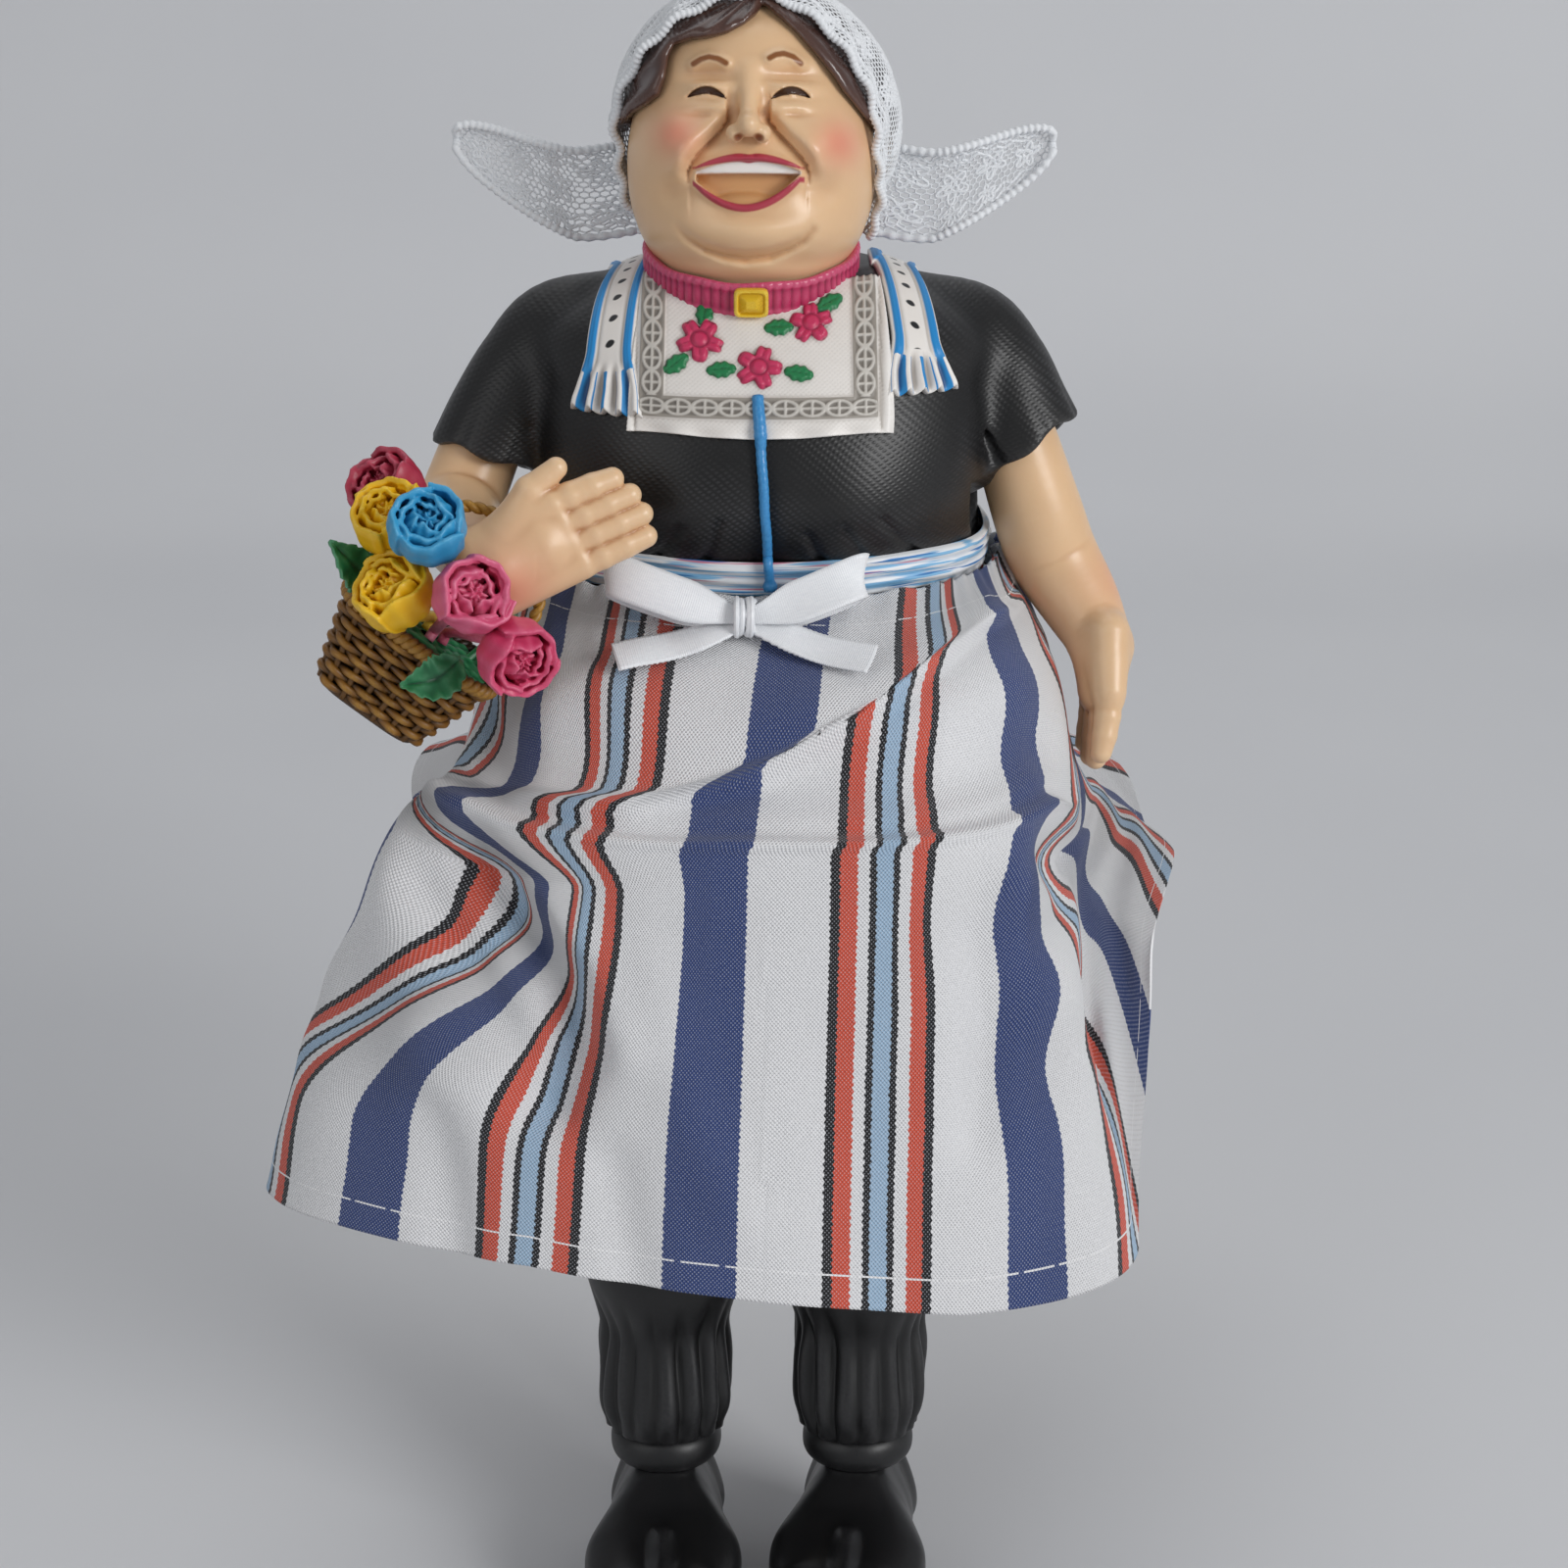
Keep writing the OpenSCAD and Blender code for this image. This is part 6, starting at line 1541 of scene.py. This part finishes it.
def skirtPlan():
    c = np.linspace(-skirtForm["wide"] / 2, skirtForm["wide"] / 2, skirtForm["columns"])
    w = np.linspace(0, 1, skirtForm["rows"])
    lap = skirtForm["lap"]
    u = np.linspace(-180, 180, 1441)
    runs = {k: np.interp(c, stripeAt, v) for k, v in stripeRun.items()}
    foldAt = np.array(foldLine)
    base, spread = [], []
    last = stripeAt[-1]
    rest = skirtForm["wide"] / 2 - last
    calm = 1 - ease((np.abs(c) - 60) / 40)
    outward = np.interp(c, [33, 43, 53, 72, 110, 150], [0, 4, 7.5, 9.5, 6, 0])
    for wj in w:
        v = 0.5 * wj / lap if wj < lap else 0.5 + 0.5 * (wj - lap) / (1 - lap)
        ring = skirtRing(u, v)
        arc = runLength(ring)
        arc -= arc[len(u) // 2]
        if wj < lap:
            t = wj / lap
            fold = np.interp(mix(runs["waist"], runs["lap"], t), foldAt[:, 0], foldAt[:, 1])
            step = mix(t, 0.4 * t + 0.6 * ease((t - fold) / 0.1 + 0.5), calm)
            s = mix(runs["waist"], runs["lap"], step)
            s = s + outward * ease((t - 0.4) / 0.3) * (1 - 0.45 * ease((t - 0.8) / 0.2))
        else:
            h = (wj - lap) / (1 - lap)
            s = mix(runs["lap"], runs["hem"], ease(h) * 0.5 + h * 0.5) - 0.9 * ease(h / 0.02) * calm
            s = s + 0.55 * outward * (1 - ease(h / 0.16))
            pull = ease(h / 0.12) * (1 - ease((h - 0.2) / 0.55))
            s = s + np.interp(c, [-150, -110, -72, -48, -24, 0], [0, 22, 35, 20, 5, 0]) * pull
            s = s - np.interp(c, [24, 48, 72, 110, 150], [0, 3, 15, 13, 0]) * hump(h - 0.17, 0.14)
            s = s - np.interp(c, [36, 72, 110, 150], [0, 7, 8, 0]) * hump(h - 0.52, 0.12)
        left, right = np.interp(-last, c, s), np.interp(last, c, s)
        beyond = np.abs(c) - last
        outer = np.where(c < 0, mix(left, arc[0], beyond / rest), mix(right, arc[-1], beyond / rest))
        near = ease(beyond / 60)
        s = np.where(beyond <= 0, s, mix(s + (outer - np.where(c < 0, left, right)), outer, near))
        at = np.interp(s, arc, u)
        spread.append(s)
        base.append(skirtRing(at, v))
    return c, w, np.array(base), np.array(spread)


def skirtFolds(c, w, s):
    lap = skirtForm["lap"]
    c, w = c[None, :], w[:, None]
    t, h = w / lap, np.clip((w - lap) / (1 - lap), 0, 1)
    onLap, onHang = (w < lap) * 1.0, (w >= lap) * 1.0
    foldAt = np.array(foldLine)
    below = (t - np.interp(s, foldAt[:, 0], foldAt[:, 1])) * 38
    lip = np.where(below < 0, np.exp(np.minimum(below, 0) / 7.0), np.exp(-(below / 1.5) ** 2))
    ends = ease((s + 44) / 12) * ease((46 - s) / 10)
    edge = (w - lap) * skirtForm["long"]
    across = ease((62 - np.abs(s)) / 12)
    crease = 1.2 * hump(edge, 1.0) - 0.9 * hump(edge + 2.3, 1.3) - 4.0 * onLap * hump(t - 0.79, 0.15)
    out = 3.5 * lip * ends * onLap + across * crease
    sides = ease((np.abs(c) - 40) / 70)
    gathers = 1 + np.sin(c * 2 * np.pi / 7.2 + 0.8 * np.sin(c * 0.21))
    out = out + np.exp(-w / 0.05) * (0.45 + 0.3 * sides) * gathers
    out = out + np.exp(-w / 0.22) * sides * 0.8 * (1 + np.sin(c * 2 * np.pi / 19 + np.sin(c * 0.07)))
    out = out + 0.35 * np.sin(c * 0.23 + w * 17) * np.sin(w * 21 - c * 0.05) * ease(w / 0.1)
    hemWave = 1.0 + 1.9 * sides
    out = out + onHang * ease(h * 1.15) * hemWave * np.sin(c * 2 * np.pi / 57 + 0.7)
    out = out + 3.8 * hump(s + 47, 5.5) * hump(edge - 2, 4.0)
    downLap, downHang = t * skirtForm["lapLong"], h * skirtForm["hangLong"]
    for folds, shown, down in ((lapFolds, onLap, downLap), (hangFolds, onHang, downHang)):
        for height, width, path in folds:
            out = out + shown * height * hump(lineDistance(s, down, path), width)
    return out, below, ends * onLap


def skirtCloth():
    # yarn-dyed cotton: coloured stripes, pale weft showing through the navy, soft matt threads, painted
    # shade in the low places of the weave
    material, add, shader = newMaterial("striped yarn-dyed cotton")
    cloth = add("Attribute", {"attribute_name": "cloth"}).outputs["Vector"]
    wobble = add("TexNoise", {"Scale": 0.9, "Detail": 2.0}, {"Vector": cloth})
    parts = add("SeparateXYZ", {}, {0: cloth})
    shaky = add("Math", {"operation": "MULTIPLY_ADD", 1: 0.35}, {0: wobble, 2: parts})
    weft = add("Math", {"operation": "MULTIPLY", 1: 2 * math.pi / 0.95}, {0: parts.outputs[1]})
    weft = add("Math", {"operation": "SINE"}, {0: weft})
    stepped = add("Math", {"operation": "MULTIPLY_ADD", 1: 0.11}, {0: weft, 2: shaky})
    share = add("Math", {"operation": "DIVIDE", 1: skirtForm["repeat"]}, {0: stepped})
    share = add("Math", {"operation": "FLOORED_MODULO", 1: 1.0}, {0: share})
    navy, white, black, red, sky = (
        tint(k) for k in ("#33477f", "#f1f1f2", "#131317", "#dd573f", "#a8c5df"))
    bands = [(0.0, navy), (5.0, white), (16.42, black), (17.67, red), (20.17, white), (21.92, black),
             (22.77, sky), (25.27, black), (26.12, white), (28.02, red), (30.32, black), (31.57, white),
             (43.0, navy)]
    ramp = add("ValToRGB", {"stops": [(p / skirtForm["repeat"], k) for p, k in bands]}, {0: share})
    ramp.color_ramp.interpolation = "CONSTANT"
    waves = []
    for axis, pitch in ((0, 0.55), (1, 0.6)):
        turn = add("Math", {"operation": "MULTIPLY", 1: 2 * math.pi / pitch}, {0: parts.outputs[axis]})
        waves.append(add("Math", {"operation": "SINE"}, {0: turn}))
    cross = add("Math", {"operation": "MULTIPLY"}, {0: waves[0], 1: waves[1]})
    slub = add("TexNoise", {"Scale": 2.2, "Detail": 3.0}, {"Vector": cloth})
    height = add("Math", {"operation": "ADD"}, {0: cross, 1: slub})
    fleck = add("MapRange", {"From Min": 0.75, "From Max": 1.5, "To Max": 0.45}, {"Value": height})
    pale = add("Mix", {"data_type": "RGBA", 7: tint("#dfe2ea")}, {0: fleck, 6: ramp})
    # painted shade: the low places of the weave and slub are multiplied darker
    low = add("MapRange", {"From Min": 0.2, "From Max": -0.6, "To Max": 0.42}, {"Value": height})
    deep = add("Mix", {"data_type": "RGBA", "blend_type": "MULTIPLY", 7: tint("#8e8f98")},
               {0: low, 6: pale.outputs[2]})
    colour = deep.outputs[2]
    for line, long_ in ((100.6, 6.0), (7.0, 3.0)):
        away = add("Math", {"operation": "SUBTRACT", 1: line}, {0: parts.outputs[1]})
        away = add("Math", {"operation": "ABSOLUTE"}, {0: away})
        thin = add("Math", {"operation": "LESS_THAN", 1: 0.13}, {0: away})
        beat = add("Math", {"operation": "PINGPONG", 1: long_ / 2}, {0: parts})
        dash = add("Math", {"operation": "LESS_THAN", 1: long_ * 0.43}, {0: beat})
        seam = add("Math", {"operation": "MULTIPLY"}, {0: thin, 1: dash})
        colour = add("Mix", {"data_type": "RGBA", 7: tint("#f7f7f8")}, {0: seam, 6: colour}).outputs[2]
    relief = add("Bump", {"Strength": 0.8, "Distance": 0.14 * mm}, {"Height": height})
    setNode(shader, {"Roughness": 0.9, "Sheen Weight": 0.15}, {"Base Color": colour, "Normal": relief})
    return material


def buildSkirt():
    c, w, base, spread = skirtPlan()
    out, below, fold = skirtFolds(c, w, spread)
    normal = unit(np.cross(np.gradient(base, axis=1), np.gradient(base, axis=0)))
    normal = -normal if normal[10, len(c) // 2, 1] > 0 else normal
    front = hanging(np.degrees(np.arctan2(base[..., 0], -base[..., 1])))
    points = base + normal * out[..., None]
    slope = unit(np.gradient(base, axis=0))
    points += slope * (0.9 * hump(below, 2.0) * fold)[..., None]
    for _ in range(2):
        around = points[:-2, 1:-1] + points[2:, 1:-1] + points[1:-1, :-2] + points[1:-1, 2:]
        points[1:-1, 1:-1] = mix(points[1:-1, 1:-1], around / 4, 0.6)
    h = np.clip((w - skirtForm["lap"]) / (1 - skirtForm["lap"]), 0, 1)[:, None]
    points[..., 2] -= np.clip(0.12 * spread, -4, 3.4) * h ** 2 * front
    faces = gridFaces(len(w), len(c))[:, ::-1]
    skirt = makePiece("stripedSkirt", points.reshape(-1, 3), faces, skirtCloth())
    cloth = np.stack(np.broadcast_arrays(c[None, :], w[:, None] * skirtForm["long"], 0.0), -1)
    setValues(skirt, "cloth", cloth, "FLOAT_VECTOR")
    modify(skirt, "SOLIDIFY", thickness=skirtForm["thick"] * mm, offset=-1.0)
    fix(skirt, "figure", ["skirt"])
    return points


skirtPoints = buildSkirt()
print("skirt draped")

# bow: a satin ribbon tied in two loops and two tails, with its thread knot
bowForm = {"at": -2.0, "wide": 6.3, "pinch": 2.4, "loops": (-20.0, 17.5), "tails": (-19.0, 18.0),
           "rise": 6.2, "thick": 0.35}


def satinPaint():
    # white satin: a bright run of light along the loops and fine ribs
    material, add, shader = newMaterial("white satin ribbon")
    cloth = add("Attribute", {"attribute_name": "cloth"}).outputs["Vector"]
    parts = add("SeparateXYZ", {}, {0: cloth})
    turn = add("Math", {"operation": "MULTIPLY", 1: 2 * math.pi / 0.32}, {0: parts})
    rib = add("Math", {"operation": "SINE"}, {0: turn})
    yarn = add("Mapping", {"Scale": (0.6, 5.0, 1.0)}, {"Vector": cloth})
    streak = add("TexNoise", {"Scale": 1.0, "Detail": 3.0}, {"Vector": yarn})
    tone = add("Mix", {"data_type": "RGBA", 6: tint("#e2e5ea"), 7: tint("#fafbfc")}, {0: streak})
    relief = add("Bump", {"Strength": 0.25, "Distance": 0.08 * mm}, {"Height": rib})
    setNode(shader, {"Roughness": 0.38, "Sheen Weight": 0.3, "Anisotropic": 0.4},
            {"Base Color": tone.outputs[2], "Normal": relief})
    return material


def ribbonStrip(path, widths, across, start):
    path = np.asarray(path, float)
    d = unit(np.gradient(path, axis=0))
    across = np.asarray(across, float)
    side = unit(across - d * (d @ across)[:, None])
    lift = np.cross(side, d)
    k = np.linspace(-1, 1, 11)
    cup = 0.35 * (1 - k * k)
    away, above = k[None, :] * widths[:, None] / 2, cup[None, :] * (widths[:, None] / 5)
    points = path[:, None] + side[:, None] * away[..., None] + lift[:, None] * above[..., None]
    run = start + runLength(path)
    cloth = np.stack(np.broadcast_arrays(run[:, None], k[None, :] * bowForm["wide"] / 2, 0.0), -1)
    return (points.reshape(-1, 3), gridFaces(len(path), 11)), cloth.reshape(-1, 3)


def buildBow():
    middle = int(np.argmin(np.abs(skirtPoints[6, 200:380, 0] - bowForm["at"]))) + 200

    def row(v):
        return skirtPoints[int(round(v * (skirtForm["rows"] - 1))), middle]
    slope = unit(row(0.03) - row(0.12))
    off = np.array([0, -slope[2], slope[1]])
    off = off if off[1] < 0 else -off
    knot = row(0.075) + off * 3.2
    rise, forward = unit((0, 0.5, 1)), unit((0, -1, 0.5))
    parts, cloth = [], []
    for length, tailLength in zip(bowForm["loops"], bowForm["tails"]):
        sign = np.sign(length)
        a = np.linspace(0, 2 * np.pi, 70)
        lobe = (1 - np.cos(a)) / 2
        swell = 2.6 * np.sin(a) * np.sin(a / 2) ** 2 + 0.5 * (1 - a / 6.28)
        path = (knot + np.outer(lobe * length, (1, 0, 0)) + np.outer(swell, forward)
                + np.outer(bowForm["rise"] * lobe ** 1.3, rise))
        widths = mix(bowForm["pinch"], bowForm["wide"], ease(lobe * 2.2))
        strip, uv = ribbonStrip(path, widths, rise + np.array([0.12 * sign, 0, 0]), 0)
        parts.append(strip)
        cloth.append(uv)
        s = np.linspace(0, 1, 50)
        xs, rows = s * tailLength, (0.08 + 0.09 * s) * (skirtForm["rows"] - 1)
        lying = []
        for x, r in zip(xs, rows):
            line = skirtPoints[int(round(r))]
            near = np.argmin(np.abs(line[middle - 90:middle + 90, 0] - x - knot[0])) + middle - 90
            lying.append(line[near] + off * (1.9 + 0.5 * math.sin(9 * abs(x) / 20)))
        lying = np.array(lying)
        for _ in range(40):
            lying[1:-1] = (lying[:-2] + lying[2:]) / 2
        tail = mix(knot - forward * 0.5, lying, ease(s * 3)[:, None])
        widths = mix(bowForm["pinch"], bowForm["wide"] * 0.85, ease(s * 2.5))
        strip, uv = ribbonStrip(tail, widths, slope, 60)
        parts.append(strip)
        cloth.append(uv)
    satin = satinPaint()
    bow = makePiece("ribbonBow", *joined(parts), satin)
    setValues(bow, "cloth", np.concatenate(cloth), "FLOAT_VECTOR")
    modify(bow, "SOLIDIFY", thickness=bowForm["thick"] * mm, offset=0.0)
    fix(bow, "figure", ["ribbon_bow"])
    turns = []
    for k in range(6):
        a = circle(40)
        lean = 0.5 * math.sin(k * 2.3)
        r = 2.45 + 0.25 * math.cos(k * 1.7)
        shift = np.outer((k - 2.5) * 0.52 + lean * np.sin(a), (1, 0, 0))
        loop = np.outer(np.cos(a), rise) + np.outer(np.sin(a), np.cross((1, 0, 0), rise))
        turns.append(tube(knot + shift + r * loop, 0.42, 8, ring=True))
    points, faces = joined(turns)
    binding = makePiece("bowBinding", points, faces, satin)
    setValues(binding, "cloth", points, "FLOAT_VECTOR")
    fix(binding, "figure", ["bow_binding"])


buildBow()
print("bow tied")

# legs: black stockings gathered at the ankle, turned cuffs and clogs, all swinging from the hips
legForm = {"long": 71.0, "lean": -8.4, "forward": 8.4, "lift": 3.06, "calf": 11.7, "gathers": 17,
           "cuff": 8.5, "cuffHigh": 5.5, "sides": 160, "hip": (14.8, -55, -2)}
legRows = np.array([(0, 0.9), (1.6, 0.95), (6, 0.98), (21.3, 0.99), (46.9, 1.02), (55.4, 0.828),
                   (61.1, 0.828), (66.7, 0.853), (71, 0.78)])
clogForm = {"step": 0.32, "toeIn": -8.0, "neck": 0.34}
clogRows = np.array([(-11.16, 2.36, -11.22, -5.1), (-9.6, 7.55, -15.81, 0.34), (-3.35, 10.15, -17, 2.04),
                     (5.04, 10.74, -17, 1.36), (12.24, 11.8, -17, -4.08), (19.08, 10.38, -16.66, -7.48),
                     (23.4, 5.9, -13.94, -8.5), (24.84, 1.89, -11.56, -9.35)])


def toLeg(points, side):
    moved = np.asarray(points, float) + (0, legForm["forward"], -legForm["lift"])
    return turned(moved, "x", legForm["lean"]) + legForm["hip"] * np.array([side, 1, 1])


# satin black, with grey painted highlight on the gathers and painted shade between them
stockingPaint = paintedResin("black stocking enamel", "#0d0d0e", "#040404", "#38383a", 0.42, washAndShadeAmount=0.6,
                             rubAndHighlightAmount=0.35, grainMm=0.5, bump=0.12, mottleMm=7)[0]
# glossy black with grey painted highlight on the high edges
clogPaint = paintedResin("black clog enamel", "#0f0f10", "#050505", "#4c4c4e", 0.3, washAndShadeAmount=0.5,
                         rubAndHighlightAmount=0.4, grainMm=0.6, bump=0.08, mottleMm=8)[0]


def lathed(r, z):
    rows, n = r.shape
    a = circle(n)
    points = np.stack([r * np.cos(a), r * np.sin(a), np.broadcast_to(z[:, None], r.shape)], -1)
    ends = [tuple(range(n)), tuple((rows - 1) * n + i for i in range(n))[::-1]]
    return points.reshape(-1, 3), gridFaces(rows, n, True)[:, ::-1].tolist() + ends


def buildLeg(side):
    name = sideName[side]
    s = np.concatenate([np.linspace(0, 6, 14), np.linspace(6.6, legForm["long"], 150)])
    a = circle(legForm["sides"])
    r = rowAt(legRows, s)[:, 1] * legForm["calf"]
    gather = (ease((s - 46) / 12) * (1 - 0.6 * ease((s - 67.5) / 3)))[:, None]
    lean = 0.05 * (s[:, None] - 60) * np.sin(a + side)[None, :]
    turn = legForm["gathers"] * a[None, :] + 0.9 * np.sin(2 * a + side)[None, :] + lean
    flute = 2 * np.abs(np.cos(turn / 2)) ** 0.9 - 1.4
    strength = (0.62 + 0.25 * np.sin(3 * a + 2 * side))[None, :]
    slant = (np.sin(5 * a[None, :] + 0.34 * s[:, None] + side)
             + 0.7 * np.sin(11 * a[None, :] - 0.2 * s[:, None]))
    r = (r[:, None] + gather * (strength * flute + 0.17 * slant)
         - 0.15 * hump(s - 54, 2.4)[:, None] * (1 + 0.7 * flute))
    r += 0.25 * np.sin(s[:, None] * 0.35 + 2 * np.sin(a)[None, :]) * ease(s / 10)[:, None]
    points, faces = lathed(r, -s)
    leg = makePiece("leg" + name.title(), toLeg(points, side), faces, stockingPaint)
    setHollows(leg, 12, 0.3)
    fix(leg, name + "_leg", ["leg_" + name])
    q = np.linspace(-1, 1, 26)
    cr = legForm["cuff"] - 2.0 + 2.0 * np.sqrt(np.clip(1 - 0.98 * np.abs(q) ** 2.4, 0, 1))
    z = -legForm["long"] - legForm["cuffHigh"] / 2 - q * legForm["cuffHigh"] / 2
    rib = 0.06 * np.cos(5 * a + side)[None, :] * hump(q, 0.7)[:, None]
    points, faces = lathed(cr[:, None] + rib, z)
    cuff = makePiece("ankleCuff" + name.title(), toLeg(points, side), faces, stockingPaint)
    setHollows(cuff, 8, 0.15)
    fix(cuff, name + "_leg", ["ankle_cuff_" + name])


def buildClog(side):
    name = sideName[side]
    clay = Clay((-14, -27, -19), (14, 14, 3), clogForm["step"])
    x, y, z = clay.axes[0][:, None, None], clay.axes[1], clay.axes[2][None, None, :]
    rows = rowAt(clogRows, -y)
    half, low, high = (rows[:, k][None, :, None] for k in (1, 2, 3))
    tall = np.maximum((high - low) / 2, 0.5)
    rear = y[None, :, None]
    upper = ease((z - low) / (high - low) / 0.8 - 0.25)
    neck = 1 - clogForm["neck"] * upper * ease((rear + 14) / 8) - 0.12 * ease((rear + 9) / 8)
    level = ((np.abs(x) / np.maximum(half * neck, 0.5)) ** 2.5
             + (np.abs(z - (low + high) / 2) / tall) ** 2.5) ** 0.4 - 1
    size = np.sqrt(sum(g * g for g in np.gradient(level.astype(np.float32), clay.step)))
    ends = np.maximum(y + clogRows[0, 0], -clogRows[-1, 0] - y)[None, :, None]
    clay.d = np.maximum(np.maximum(level / np.maximum(size, 0.03), ends), z).astype(np.float32)
    ridge = through([(0, -15, -6.4), (0, -19, -8.4), (0, -23.6, -9.8)], 12)
    for p, q in zip(ridge[:-1], ridge[1:]):
        clay.join(rod(p, q, 0.5, 0.45), 2.4)
    for sign in (-1, 1):
        sole = through([(sign * 9.0, 9.0, -13.4), (sign * 11.0, 0, -13.8), (sign * 11.6, -10, -13.8),
                       (sign * 10.4, -18.6, -13.6), (sign * 5.4, -24, -12.6)], 16)
        for p, q in zip(sole[:-1], sole[1:]):
            clay.carve(rod(p, q, 0.3, 0.3), 0.8)
    points, faces = clay.skin()
    ankle = -legForm["long"] - legForm["cuffHigh"]
    points = turned(points, "z", clogForm["toeIn"] * (side > 0)) + (0, 0, ankle)
    clog = makePiece("clog" + name.title(), toLeg(points, side), faces, clogPaint)
    setHollows(clog, 16, 0.4)
    fix(clog, name + "_leg", ["clog_" + name])


for side in (1, -1):
    buildLeg(side)
    buildClog(side)
print("legs hung")

# frame parts that keep their shape take the finish of the real material: a chalky bare cast
resin = paintedResin("bare cream resin", "#d8cdb8", "#9b8a6c", "#efe8da", 0.6, grainMm=1.2, bump=0.2)[0]
# drawn wire: fine streaks, dull bright shine
wire, wireAdd, wireShader = newMaterial("zinc plated steel wire")
wirePlace = wireAdd("TexCoord").outputs["Object"]
drawn = wireAdd("TexNoise", {"Scale": 1000 / 0.6, "Detail": 3.0}, {"Vector": wirePlace})
wireTone = wireAdd("Mix", {"data_type": "RGBA", 6: tint("#8f9296"), 7: tint("#c9ccd0")}, {0: drawn})
setNode(wireShader, {"Metallic": 0.9, "Roughness": 0.38}, {"Base Color": wireTone.outputs[2]})
finishes = {"seat_casting": resin}
for side in ("left", "right"):
    finishes.update({"hip_staple_" + side: wire, "leg_eye_" + side: wire})
for node, finish in finishes.items():
    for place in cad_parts[node].material_slots:
        place.material = finish
print("frame parts finished")
